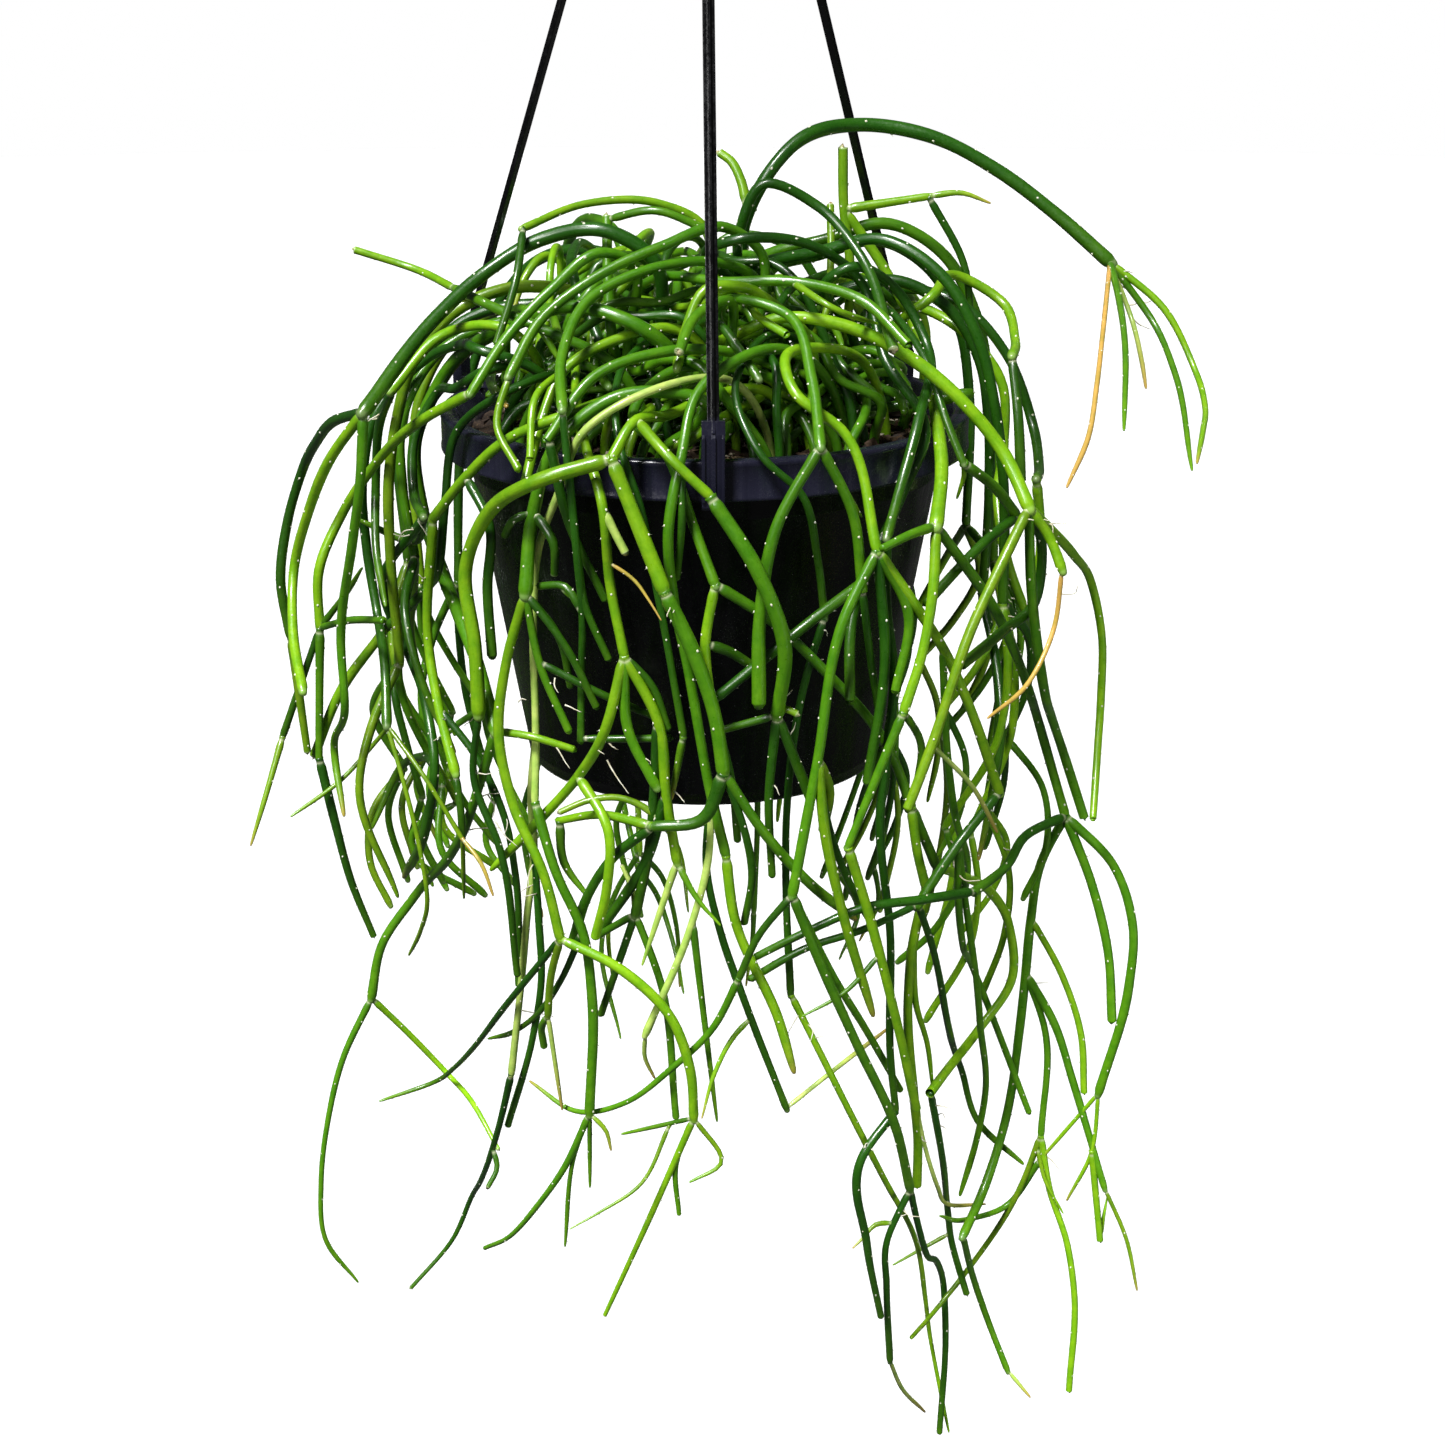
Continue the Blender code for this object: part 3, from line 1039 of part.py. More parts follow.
def make_pot():
    """The moulded pot: rim ledge, down-turned band, tapered wall, foot and drain holes."""
    slope = (WALL_TOP_RADIUS - BASE_RADIUS) / POT_HEIGHT
    under = -3.0
    wall_low = BASE_RADIUS + slope * 6.0
    floor_top = -POT_HEIGHT + 3.0 + FLOOR
    inner_low = wall_low - WALL
    profile = [
        (0.0, -POT_HEIGHT + 3.0), (BASE_RADIUS - 5.0, -POT_HEIGHT + 3.0),
        (BASE_RADIUS - 4.0, -POT_HEIGHT), (BASE_RADIUS - 1.0, -POT_HEIGHT),
        (BASE_RADIUS + 0.6, -POT_HEIGHT + 1.6), (wall_low, -POT_HEIGHT + 6.0),
        (WALL_TOP_RADIUS, under - 2.0), (LEDGE_INNER + 0.8, under + 0.8),
        (RIM_RADIUS - WALL, under + 0.8), (RIM_RADIUS - WALL, -RIM_BAND),
        (RIM_RADIUS, -RIM_BAND), (RIM_RADIUS, -0.8), (RIM_RADIUS - 0.8, 0.0),
        (LEDGE_INNER, 0.0), (LEDGE_INNER - 0.8, -0.7), (WALL_TOP_RADIUS - WALL, -6.0),
        (inner_low, floor_top), (0.0, floor_top),
    ]
    pot = turned("pot", profile, POT_SIDES, paint("black_plastic", COLOURS["pot"], 0.25))
    cutters = []
    for k in range(DRAIN_HOLES):
        angle = 2.0 * math.pi * (k + 0.5) / DRAIN_HOLES
        x, y = DRAIN_RING * math.cos(angle), DRAIN_RING * math.sin(angle)
        ring = [(x + DRAIN_RADIUS * math.cos(t * math.pi / 5), y + DRAIN_RADIUS * math.sin(t * math.pi / 5))
                for t in range(10)]
        cutters.append(prism("drain", ring, 2.0 * FLOOR + 4.0,
                             lambda u, v, w: (u, v, -POT_HEIGHT + 3.0 + w)))
    return tidy(fold_in(pot, cutters, "DIFFERENCE"))


def make_mix(stems):
    """The bark mix that fills the pot, with a plain hole for each stem."""
    slope = (WALL_TOP_RADIUS - BASE_RADIUS) / POT_HEIGHT
    low = -POT_HEIGHT + 3.0 + FLOOR + GAP
    wall_low = BASE_RADIUS + slope * 6.0 - WALL - GAP - 0.1
    top_edge = WALL_TOP_RADIUS - WALL - GAP - slope * 5.0
    profile = [
        (0.0, low), (wall_low - 3.0, low), (wall_low, low + 3.0), (top_edge, MIX_TOP - 2.0),
        (top_edge - 2.0, MIX_TOP), (0.55 * top_edge, MIX_TOP + 0.7 * MIX_CROWN),
        (0.0, MIX_TOP + MIX_CROWN),
    ]
    mix = turned("potting_mix", profile, POT_SIDES, paint("bark_mix", COLOURS["mix"], 0.95))
    cutters = []
    for foot, ring in stems:
        outline = [(p[0], p[1]) for p in grow_ring(foot, ring, GAP)]
        middle = MIX_TOP - ROOT_DEPTH - GAP + 15.0
        cutters.append(prism("root_hole", outline, 30.0, lambda u, v, w: (u, v, middle + w)))
    return tidy(fold_in(mix, cutters, "DIFFERENCE"))


def grow_ring(foot, ring, gap):
    """A stem's bottom ring moved out by a gap on every side."""
    spokes = np.asarray(ring) - foot
    length = np.linalg.norm(spokes, axis=1)
    corner = gap / math.cos(math.pi / len(ring))
    return foot + spokes * ((length + corner) / length)[:, None]


def make_hanger():
    """The moulded hanger: open hook, hub, three ribbed legs and their rim clips."""
    hook_middle = HOOK_BEARING - HOOK_INNER
    bend = HOOK_INNER + HOOK_WIRE
    line = [(0.0, 0.0, APEX), (0.0, 0.0, hook_middle - bend - 3.0)]
    for k in range(0, 11):
        angle = math.radians(-82.0 + 290.0 * k / 10.0)
        line.append((bend * math.cos(angle), 0.0, hook_middle + bend * math.sin(angle)))
    widths = [HOOK_WIRE * 1.08] * (len(line) - 1) + [HOOK_WIRE * 0.7]
    points, faces, _ = tube_mesh(np.array(line), widths, 8, 0.4, False)
    hanger = add_object("hanger", points, faces, paint("hanger_plastic", COLOURS["pot"], 0.3))
    parts = [turned("hub", [(0.0, APEX - HUB_HALF), (HUB_RADIUS - 2.0, APEX - HUB_HALF),
                            (HUB_RADIUS, APEX - HUB_HALF + 2.0), (HUB_RADIUS, APEX + HUB_HALF - 3.0),
                            (HOOK_WIRE + 1.0, APEX + HUB_HALF), (0.0, APEX + HUB_HALF)], 12, None)]
    for angle in LEG_ANGLES:
        parts += hanger_leg(math.radians(angle))
    return tidy(fold_in(hanger, parts, "UNION"))


def hanger_leg(turn):
    """One leg with its ribbed section, the block that clips over the rim, and the block's rib."""
    out = turn_about(turn, 1.0, 0.0)
    side = np.array((math.cos(turn), math.sin(turn), 0.0))
    top = np.array((0.0, 0.0, APEX - 1.0)) + 2.0 * out
    foot = turn_about(turn, LEG_FOOT_RADIUS - 0.3, LEG_FOOT_UP - 3.0)
    along = (foot - top) / np.linalg.norm(foot - top)
    face = np.cross(side, along)
    if face @ out < 0.0:
        face = -face
    section = [(-2.1, -1.1), (2.1, -1.1), (2.1, 0.3), (0.6, 0.3), (0.6, 1.6), (-0.6, 1.6),
               (-0.6, 0.3), (-2.1, 0.3)]
    length = np.linalg.norm(foot - top)
    leg = prism("leg", section, length,
                lambda u, v, w: 0.5 * (top + foot) + along * w + side * u + face * v)
    inner = LEDGE_INNER - 4.4
    rim_out = RIM_RADIUS + GAP
    outline = [(inner - 1.6, -5.4), (inner, -5.4), (inner, GAP), (rim_out, GAP),
               (rim_out, -RIM_BAND - GAP), (RIM_RADIUS - 2.2, -RIM_BAND - GAP),
               (RIM_RADIUS - 2.2, -RIM_BAND - 2.2), (RIM_RADIUS + 3.2, -RIM_BAND - 2.2),
               (RIM_RADIUS + 4.6, -RIM_BAND - 0.8), (RIM_RADIUS + 4.6, LEG_FOOT_UP - 1.0),
               (RIM_RADIUS + 3.4, LEG_FOOT_UP + 2.0), (rim_out + 0.4, LEG_FOOT_UP + 2.0),
               (rim_out + 0.4, 4.4), (inner - 1.6, 4.4)]
    clip = prism("clip", outline, CLIP_WIDTH,
                 lambda u, v, w: out * u + side * w + np.array((0.0, 0.0, v)))
    rib_outline = [(RIM_RADIUS + 3.0, -RIM_BAND + 1.0), (RIM_RADIUS + 5.6, -RIM_BAND + 1.6),
                   (RIM_RADIUS + 5.6, LEG_FOOT_UP - 3.0), (RIM_RADIUS + 3.0, LEG_FOOT_UP - 1.6)]
    rib = prism("rib", rib_outline, 1.5,
                lambda u, v, w: out * u + side * w + np.array((0.0, 0.0, v)))
    return [leg, clip, rib]


def tube_mesh(line, widths, sides, turn, upright):
    """A closed faceted tube along a line. An upright one starts with level rings."""
    step = np.diff(line, axis=0)
    step /= np.linalg.norm(step, axis=1)[:, None]
    ways = np.vstack((step[:1], step[:-1] + step[1:], step[-1:]))
    if upright:
        ways[:2] = (0.0, 0.0, 1.0)
    ways /= np.linalg.norm(ways, axis=1)[:, None]
    axis = np.eye(3)[int(np.argmin(np.abs(ways[0])))]
    normal = np.cross(ways[0], axis)
    points = []
    for way, middle, width in zip(ways, line, widths):
        normal = normal - way * (normal @ way)
        normal /= np.linalg.norm(normal)
        other = np.cross(way, normal)
        for k in range(sides):
            angle = turn + 2.0 * math.pi * k / sides
            points.append(middle + width * (math.cos(angle) * normal + math.sin(angle) * other))
    faces = [list(range(sides - 1, -1, -1))]
    for ring in range(len(line) - 1):
        a, b = ring * sides, (ring + 1) * sides
        faces += [[a + k, a + (k + 1) % sides, b + (k + 1) % sides, b + k] for k in range(sides)]
    faces.append(list(range(len(points) - sides, len(points))))
    return points, faces, points[:sides]


def branch_mesh(grown, index):
    """Points and faces of one branch, begun inside the branch that it grows from."""
    piece = grown[index]
    line = piece["line"].copy()
    widths = thickness_at(piece) * corner_factor(piece)
    if piece["parent"] is not None:
        home = grown[piece["parent"]]
        at = piece["at"] if piece["at"] >= 0 else len(home["line"]) - 1
        back = home["line"][at] - home["line"][at - 1]
        line[0] -= 2.2 * back / np.linalg.norm(back)
        home_width = thickness_at(home)[at] * corner_factor(home)
        widths[0] = min(widths[0], 0.72 * home_width)
    if piece["finish"] == "tip":
        widths[-1] *= 0.45
    return tube_mesh(line, widths, sides_of(piece), 0.37 * index, piece["parent"] is None)


def make_shoot(name, grown):
    """One rooted shoot with all its branches fused into one solid."""
    tone = grown[0]["tone"]
    material = bpy.data.materials.get(tone) or paint(tone, COLOURS[tone], 0.3)
    pieces = []
    for index in range(len(grown)):
        points, faces, ring = branch_mesh(grown, index)
        pieces.append(add_object(name, points, faces, material if index == 0 else None))
        if index == 0:
            foot = (grown[0]["line"][0], ring)
    shoot = pieces[0]
    shoot.name = name
    if len(pieces) > 1:
        fold_in(shoot, pieces[1:], "UNION")
    tidy(shoot)
    return foot


def main():
    """Clear the scene and make the pot, its filling, the hanger and every shoot."""
    for old in list(bpy.data.objects):
        bpy.data.objects.remove(old)
    feet = [make_shoot(f"shoot_{name}", grown) for name, grown in all_shoots().items()]
    make_pot()
    make_mix(feet)
    make_hanger()


if __name__ == "__main__":
    main()
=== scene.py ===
"""A trailing mistletoe cactus in its black hanging pot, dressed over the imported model.

The file is laid out as an add-on and is run as a script. Lengths in the growing functions are
millimetres with the middle of the rim's top as zero. Every mesh is in metres, with the bearing
point of the hanger's hook as the origin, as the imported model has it.
"""

import json
import math
from functools import cache

import bpy
import bmesh
import numpy as np
from bpy.props import FloatProperty, FloatVectorProperty, IntProperty, PointerProperty
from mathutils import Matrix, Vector, noise

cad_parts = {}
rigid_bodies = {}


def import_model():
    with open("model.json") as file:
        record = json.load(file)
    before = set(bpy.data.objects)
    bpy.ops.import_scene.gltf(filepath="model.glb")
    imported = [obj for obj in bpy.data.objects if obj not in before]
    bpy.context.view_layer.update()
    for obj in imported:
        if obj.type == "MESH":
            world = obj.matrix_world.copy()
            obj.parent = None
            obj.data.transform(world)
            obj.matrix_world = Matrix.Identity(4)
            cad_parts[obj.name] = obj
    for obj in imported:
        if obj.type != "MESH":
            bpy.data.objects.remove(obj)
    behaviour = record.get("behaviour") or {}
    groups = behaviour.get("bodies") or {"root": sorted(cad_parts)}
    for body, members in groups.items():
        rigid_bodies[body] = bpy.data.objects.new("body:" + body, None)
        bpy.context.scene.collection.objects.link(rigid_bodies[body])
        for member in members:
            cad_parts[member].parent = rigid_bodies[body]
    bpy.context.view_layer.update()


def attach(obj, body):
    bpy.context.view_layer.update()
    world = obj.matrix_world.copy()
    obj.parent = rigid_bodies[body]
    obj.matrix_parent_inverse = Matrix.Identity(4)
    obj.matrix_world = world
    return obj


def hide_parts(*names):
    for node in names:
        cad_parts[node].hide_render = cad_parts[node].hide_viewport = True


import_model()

bl_info = {
    "name": "Hanging Mistletoe Cactus",
    "version": (1, 0, 0),
    "blender": (4, 5, 0),
    "location": "View3D > Sidebar > Cactus",
    "description": "Makes a trailing mistletoe cactus with its pot, hanger and studio",
    "category": "Add Mesh",
}

# Driving dimensions of the pot and its filling
RIM_RADIUS = 100.0
RIM_BAND = 14.0
LEDGE_INNER = 94.4
WALL_TOP_RADIUS = 92.0
POT_HEIGHT = 137.0
BASE_RADIUS = 69.5
WALL = 1.6
FLOOR = 2.0
DRAIN_HOLES = 6
DRAIN_RADIUS = 4.0
DRAIN_RING = 46.0
MIX_TOP = -9.0
MIX_CROWN = 1.6
GAP = 0.35
FOOT_LIFT = 3.0
FOOT_ROUND = 6.0
WALL_SLOPE = (WALL_TOP_RADIUS - BASE_RADIUS) / POT_HEIGHT

# Driving dimensions of the hanger
APEX = 302.0
HOOK_BEARING = 340.0
HOOK_INNER = 9.0
HOOK_WIRE = 2.5
HOOK_START = -86.0
HOOK_TURN = 294.0
HOOK_STEPS = 40
HUB_RADIUS = 7.5
HUB_HALF = 6.0
LEG_FOOT_RADIUS = 103.2
LEG_FOOT_UP = 13.0
LEG_ANGLES = (2.0, -110.6, 128.6)
CLIP_WIDTH = 8.0

# Half thicknesses of the stems, from old wood to young twigs
THICK = 2.5
MID = 1.85
FINE = 1.4
TWIG = 0.9
ROOT_DEPTH = 14.0
STEM_SPACING = 25.0
STEM_CLEAR = 0.75
LINE_SLACK = 1.3
LONGEST_STEP = 70.0

# The eye that the stems' places were read from, in millimetres and pixels of a 1445 pixel square
EYE = (6.65, -850.0, 170.24)
EYE_DIP = 0.338
EYE_FOCAL = 2259.3
EYE_MIDDLE = 722.5

# The drape is the turned surface that the stems hang on, at a spread of 1
DRAPE_RADIUS = 112.0
DRAPE_CREST = 124.0
DRAPE_FALL = 0.04


def branch(parent, start, end, spread, tone, path, finish="joint"):
    """One branch: what it grows from, its half thicknesses, how far out it hangs, and its path."""
    return {"parent": parent, "start": start, "end": end, "spread": spread, "tone": tone,
            "path": path, "finish": finish}


# Each shoot is read from the photo as pixels along its middle line. The first branch of a shoot
# comes out of the mix and has two spreads. The others name the branch that they grow from.
SHOOTS = {
    "left_arch": [
        branch(None, THICK, THICK, (0.6, 1.3), "dark",
               [(606, 226), (560, 226), (500, 256), (445, 303), (410, 348), (375, 398), (362, 414)]),
        branch(0, MID, MID, 1.4, "dark",
               [(362, 414), (340, 418), (317, 441), (296, 490), (283, 545), (281, 590), (291, 638)]),
        branch(1, MID, FINE, 1.35, "olive", [(291, 638), (297, 665), (306, 705), (313, 752)], "cut"),
        branch(0, MID, MID, 1.5, "lime",
               [(362, 414), (335, 450), (313, 500), (297, 550), (291, 600), (294, 640), (303, 692)]),
        branch(0, MID, FINE, 1.3, "green",
               [(362, 414), (364, 460), (357, 495), (352, 550), (343, 610), (341, 665), (345, 710),
                (334, 750), (344, 818)], "tip"),
    ],
    "left_reach": [
        branch(None, MID, MID, (0.7, 1.0), "green",
               [(603, 258), (575, 275), (530, 318), (490, 362), (470, 395)]),
        branch(0, MID, MID, 1.3, "lime",
               [(470, 395), (430, 415), (385, 455), (350, 500), (325, 550), (315, 600), (320, 630)]),
        branch(1, MID, FINE, 1.3, "green", [(320, 630), (319, 690), (316, 757)], "cut"),
        branch(1, FINE, FINE, 1.2, "green", [(320, 630), (345, 621), (383, 620)], "cut"),
        branch(1, FINE, TWIG, 1.2, "dark", [(320, 630), (345, 595), (362, 568)], "tip"),
        branch(1, FINE, FINE, 1.25, "dark", [(320, 630), (303, 690), (288, 745)]),
        branch(5, FINE, TWIG, 1.3, "olive", [(288, 745), (270, 795), (251, 845)], "tip"),
        branch(2, MID, FINE, 1.2, "dark", [(320, 740), (328, 800), (345, 865), (374, 936)], "cut"),
    ],
    "left_curtain": [
        branch(None, MID, MID, (0.85, 1.2), "dark",
               [(485, 352), (440, 358), (402, 385), (378, 425), (368, 480), (369, 530), (376, 590),
                (385, 650), (387, 727)]),
        branch(0, TWIG, TWIG, 1.2, "olive",
               [(387, 727), (365, 745), (333, 778), (285, 810)], "tip"),
        branch(0, TWIG, TWIG, 1.15, "olive",
               [(387, 727), (403, 780), (420, 850), (427, 895), (409, 955)], "tip"),
        branch(0, TWIG, TWIG, 1.1, "olive", [(387, 727), (415, 762), (448, 817), (463, 840)]),
        branch(3, TWIG, TWIG, 1.1, "dry", [(463, 840), (482, 865), (493, 895)], "tip"),
    ],
    "left_tuft": [
        branch(None, MID, MID, (0.8, 1.1), "lime",
               [(510, 330), (483, 325), (440, 336), (405, 366), (390, 392)]),
        branch(0, MID, FINE, 1.12, "dark",
               [(390, 392), (378, 440), (378, 500), (383, 560), (392, 605)], "tip"),
    ],
    "rim_left": [
        branch(None, MID, MID, (0.8, 1.0), "dark",
               [(500, 372), (470, 388), (440, 400), (424, 428), (416, 470), (424, 518)]),
        branch(0, MID, FINE, 1.05, "dark", [(424, 518), (398, 538), (372, 533), (362, 510)], "tip"),
        branch(0, MID, MID, 1.1, "dark",
               [(424, 518), (415, 560), (404, 610), (403, 650), (415, 695), (430, 760), (426, 812),
                (404, 877)], "tip"),
        branch(2, MID, FINE, 1.1, "dark", [(428, 745), (400, 768), (382, 795), (372, 828)], "tip"),
    ],
    "lime_cross": [
        branch(None, MID, MID, (0.9, 1.02), "lime",
               [(575, 432), (520, 445), (475, 475), (445, 505), (432, 520)]),
        branch(0, MID, MID, 1.05, "lime",
               [(432, 520), (432, 560), (427, 600), (429, 650), (437, 700), (452, 755), (456, 775)]),
        branch(1, FINE, FINE, 1.05, "dark", [(456, 775), (462, 805), (464, 838)]),
        branch(2, TWIG, TWIG, 1.0, "olive", [(464, 838), (465, 870), (464, 898)], "tip"),
        branch(1, FINE, FINE, 0.95, "dark",
               [(434, 680), (460, 740), (480, 790), (503, 840), (512, 900), (519, 985)], "cut"),
        branch(0, MID, MID, 1.0, "dark", [(484, 470), (484, 500), (487, 590), (491, 655)], "cut"),
    ],
    "underarm": [
        branch(None, FINE, MID, (0.8, 1.0), "dark",
               [(520, 395), (480, 430), (464, 480), (463, 535), (430, 577), (383, 619)]),
        branch(0, MID, MID, 1.1, "lime", [(383, 619), (358, 660), (335, 697), (322, 740), (315, 758)],
               "cut"),
    ],
    "front_left_arch": [
        branch(None, THICK, THICK, (0.6, 1.03), "green",
               [(650, 336), (600, 318), (560, 320), (520, 347), (490, 380), (468, 420), (451, 480),
                (445, 530), (446, 575), (458, 620), (478, 665), (497, 733)]),
        branch(0, MID, MID, 1.0, "green",
               [(497, 733), (482, 775), (463, 825), (440, 868), (400, 915), (380, 948), (371, 1000)]),
        branch(1, FINE, TWIG, 1.0, "green",
               [(371, 1000), (350, 1040), (330, 1110), (321, 1190), (323, 1230), (335, 1260),
                (358, 1282)], "tip"),
        branch(1, FINE, TWIG, 0.95, "lime",
               [(371, 1000), (397, 1023), (443, 1070), (482, 1120), (497, 1150)], "cut"),
        branch(0, FINE, FINE, 0.95, "lime", [(497, 733), (530, 735), (575, 748)], "cut"),
    ],
    "upper_left": [
        branch(None, MID, FINE, (0.3, 0.8), "lime", [(660, 206), (600, 205), (545, 220), (524, 233)]),
        branch(0, FINE, FINE, 0.85, "dark", [(524, 233), (521, 250), (518, 290), (500, 345)], "cut"),
    ],
    "needle": [
        branch(None, MID, MID, (0.75, 0.9), "green", [(545, 340), (505, 327), (480, 312), (455, 303)]),
        branch(0, FINE, TWIG, 1.0, "lime", [(455, 303), (400, 268), (355, 250)], "tip"),
    ],
    "stump": [
        branch(None, MID, MID, (0.5, 0.5), "green", [(621, 330), (614, 280), (607, 240), (607, 217)],
               "cut"),
        branch(0, FINE, FINE, 0.4, "green", [(607, 226), (660, 212), (695, 221), (709, 232)], "cut"),
    ],
    "arch_a": [
        branch(None, MID, MID, (0.4, 0.95), "green",
               [(722, 232), (690, 243), (640, 260), (600, 282), (560, 307), (530, 340), (508, 378)]),
        branch(0, FINE, FINE, 1.0, "lime", [(508, 378), (494, 402), (504, 432), (527, 475)], "cut"),
    ],
    "arch_b": [
        branch(None, MID, MID, (0.4, 0.96), "green",
               [(722, 258), (660, 265), (605, 287), (578, 330), (571, 380), (577, 425)]),
        branch(0, FINE, FINE, 0.97, "dark",
               [(577, 425), (579, 480), (578, 540), (584, 610), (580, 680), (579, 745)], "cut"),
        branch(1, FINE, FINE, 0.95, "dark", [(579, 585), (590, 615), (603, 641), (609, 659)], "cut"),
        branch(1, FINE, FINE, 0.97, "dark", [(580, 600), (565, 588), (545, 578), (537, 583)], "cut"),
        branch(1, FINE, FINE, 0.93, "dark", [(579, 740), (629, 744), (669, 736)], "cut"),
    ],
    "lime_arch": [
        branch(None, MID, MID, (0.5, 1.0), "lime",
               [(690, 328), (640, 338), (600, 355), (575, 380), (557, 410), (545, 445), (533, 485)],
               "cut"),
        branch(0, FINE, FINE, 1.0, "lime", [(575, 380), (550, 395), (540, 425), (536, 462)], "cut"),
    ],
    "pale_stub": [
        branch(None, MID, MID, (0.6, 0.85), "green", [(735, 300), (718, 305), (697, 316), (679, 352)],
               "cut"),
    ],
    "lit_arch": [
        branch(None, MID, MID, (0.55, 0.95), "green",
               [(800, 392), (770, 378), (714, 365), (655, 376), (610, 396), (585, 425), (568, 458)],
               "cut"),
        branch(0, MID, FINE, 0.97, "dark", [(568, 458), (580, 530), (594, 579), (599, 605)], "cut"),
    ],
    "rim_arch": [
        branch(None, MID, THICK, (0.75, 1.02), "green",
               [(705, 412), (660, 404), (615, 411), (580, 442), (556, 475), (545, 520), (533, 570),
                (527, 596)]),
        branch(0, MID, MID, 1.03, "lime",
               [(527, 596), (514, 640), (507, 690), (506, 745), (512, 780), (530, 825), (548, 860),
                (562, 905), (567, 937)]),
        branch(0, FINE, FINE, 1.0, "green", [(527, 596), (533, 640), (548, 680), (570, 730)], "cut"),
        branch(0, FINE, FINE, 0.95, "dark", [(527, 596), (562, 630), (580, 668), (603, 705)], "cut"),
        branch(1, MID, MID, 1.0, "lime",
               [(567, 937), (600, 952), (640, 975), (665, 1000), (683, 1035), (694, 1080),
                (694, 1120)]),
        branch(4, FINE, TWIG, 1.0, "lime",
               [(694, 1120), (675, 1160), (650, 1217), (620, 1285), (605, 1315)], "cut"),
        branch(4, TWIG, TWIG, 0.95, "dark", [(694, 1120), (660, 1128), (622, 1134)], "tip"),
        branch(4, TWIG, TWIG, 1.05, "olive",
               [(694, 1120), (715, 1150), (721, 1175), (708, 1190), (690, 1182)], "tip"),
        branch(1, FINE, TWIG, 0.95, "dark",
               [(567, 937), (540, 967), (512, 1000), (470, 1052), (420, 1088), (380, 1101)], "tip"),
        branch(1, FINE, FINE, 0.97, "olive", [(567, 937), (557, 970), (554, 1010)]),
        branch(9, TWIG, TWIG, 0.97, "pale", [(554, 1010), (560, 1050), (565, 1108)], "tip"),
        branch(0, FINE, FINE, 0.93, "dark", [(527, 596), (540, 606), (563, 641), (574, 687)], "cut"),
        branch(2, FINE, FINE, 0.92, "dark",
               [(533, 640), (580, 681), (617, 704), (640, 719), (666, 733)], "cut"),
        branch(0, FINE, FINE, 1.0, "dark", [(545, 512), (526, 519), (505, 535)], "cut"),
        branch(0, MID, FINE, 0.97, "dark", [(552, 490), (556, 533), (555, 579)], "cut"),
        branch(9, FINE, FINE, 0.96, "green", [(554, 1005), (546, 1020), (544, 1046)], "cut"),
        branch(4, FINE, TWIG, 0.98, "green", [(694, 1118), (680, 1140), (676, 1180), (679, 1214)],
               "cut"),
    ],
    "pale_fall": [
        branch(None, FINE, FINE, (0.9, 1.0), "pale",
               [(590, 440), (552, 500), (530, 560), (528, 640), (530, 740), (533, 805)]),
        branch(0, MID, MID, 0.98, "green",
               [(533, 805), (555, 860), (572, 900), (587, 940), (594, 1000), (592, 1060),
                (592, 1113)]),
        branch(1, FINE, TWIG, 1.0, "green",
               [(592, 1113), (583, 1130), (565, 1168), (542, 1200), (515, 1232), (485, 1248)], "cut"),
        branch(1, TWIG, TWIG, 0.95, "green", [(592, 1113), (589, 1155), (590, 1187)], "tip"),
        branch(1, TWIG, TWIG, 1.0, "olive", [(592, 1113), (610, 1135), (611, 1150)], "tip"),
        branch(0, FINE, FINE, 1.0, "pale",
               [(530, 770), (521, 810), (523, 870), (519, 950), (516, 1020), (511, 1075)]),
        branch(5, FINE, TWIG, 0.95, "dark",
               [(511, 1075), (503, 1110), (487, 1165), (460, 1220), (443, 1257), (411, 1288)], "cut"),
        branch(5, FINE, FINE, 0.95, "dark",
               [(521, 840), (530, 889), (533, 943), (537, 1000), (527, 1050), (508, 1125)], "cut"),
        branch(1, FINE, TWIG, 0.95, "dark",
               [(585, 935), (568, 968), (548, 1002), (520, 1028), (487, 1039)], "tip"),
        branch(1, TWIG, TWIG, 0.97, "green",
               [(588, 1108), (577, 1150), (571, 1193), (573, 1225), (565, 1246)], "tip"),
    ],
    "node_fork": [
        branch(None, MID, MID, (0.8, 1.0), "lime", [(665, 418), (640, 425), (620, 438), (605, 464)]),
        branch(0, THICK, THICK, 1.06, "lime",
               [(605, 464), (570, 467), (525, 485), (490, 512), (472, 545), (467, 585), (472, 620),
                (480, 665), (481, 716)]),
        branch(1, FINE, FINE, 1.0, "dark",
               [(481, 716), (473, 745), (478, 775), (495, 815), (509, 870), (514, 930), (520, 975)],
               "cut"),
        branch(0, THICK, THICK, 1.06, "lime", [(605, 464), (625, 505), (645, 545), (665, 593)]),
        branch(3, THICK, THICK, 1.05, "green",
               [(665, 593), (690, 645), (712, 700), (717, 740), (724, 775)]),
        branch(4, THICK, MID, 1.0, "dark",
               [(724, 775), (720, 797), (700, 820), (670, 828), (652, 824)]),
        branch(5, MID, MID, 0.97, "dark",
               [(652, 824), (620, 850), (597, 880), (580, 915), (572, 945)], "cut"),
        branch(5, MID, FINE, 0.95, "lime", [(652, 824), (610, 814), (575, 815), (552, 820)], "cut"),
        branch(4, MID, MID, 1.0, "green", [(724, 775), (745, 805), (780, 853), (820, 893), (860, 924)],
               "tip"),
        branch(0, MID, MID, 1.05, "lime", [(620, 438), (655, 450), (700, 483), (712, 498)]),
        branch(9, THICK, THICK, 1.0, "green",
               [(712, 498), (732, 530), (755, 590), (768, 620), (773, 680), (773, 716)]),
        branch(10, MID, FINE, 0.97, "dark", [(773, 716), (768, 760), (768, 830), (772, 875)], "cut"),
        branch(10, MID, MID, 0.97, "dark", [(773, 716), (788, 750), (807, 795)], "cut"),
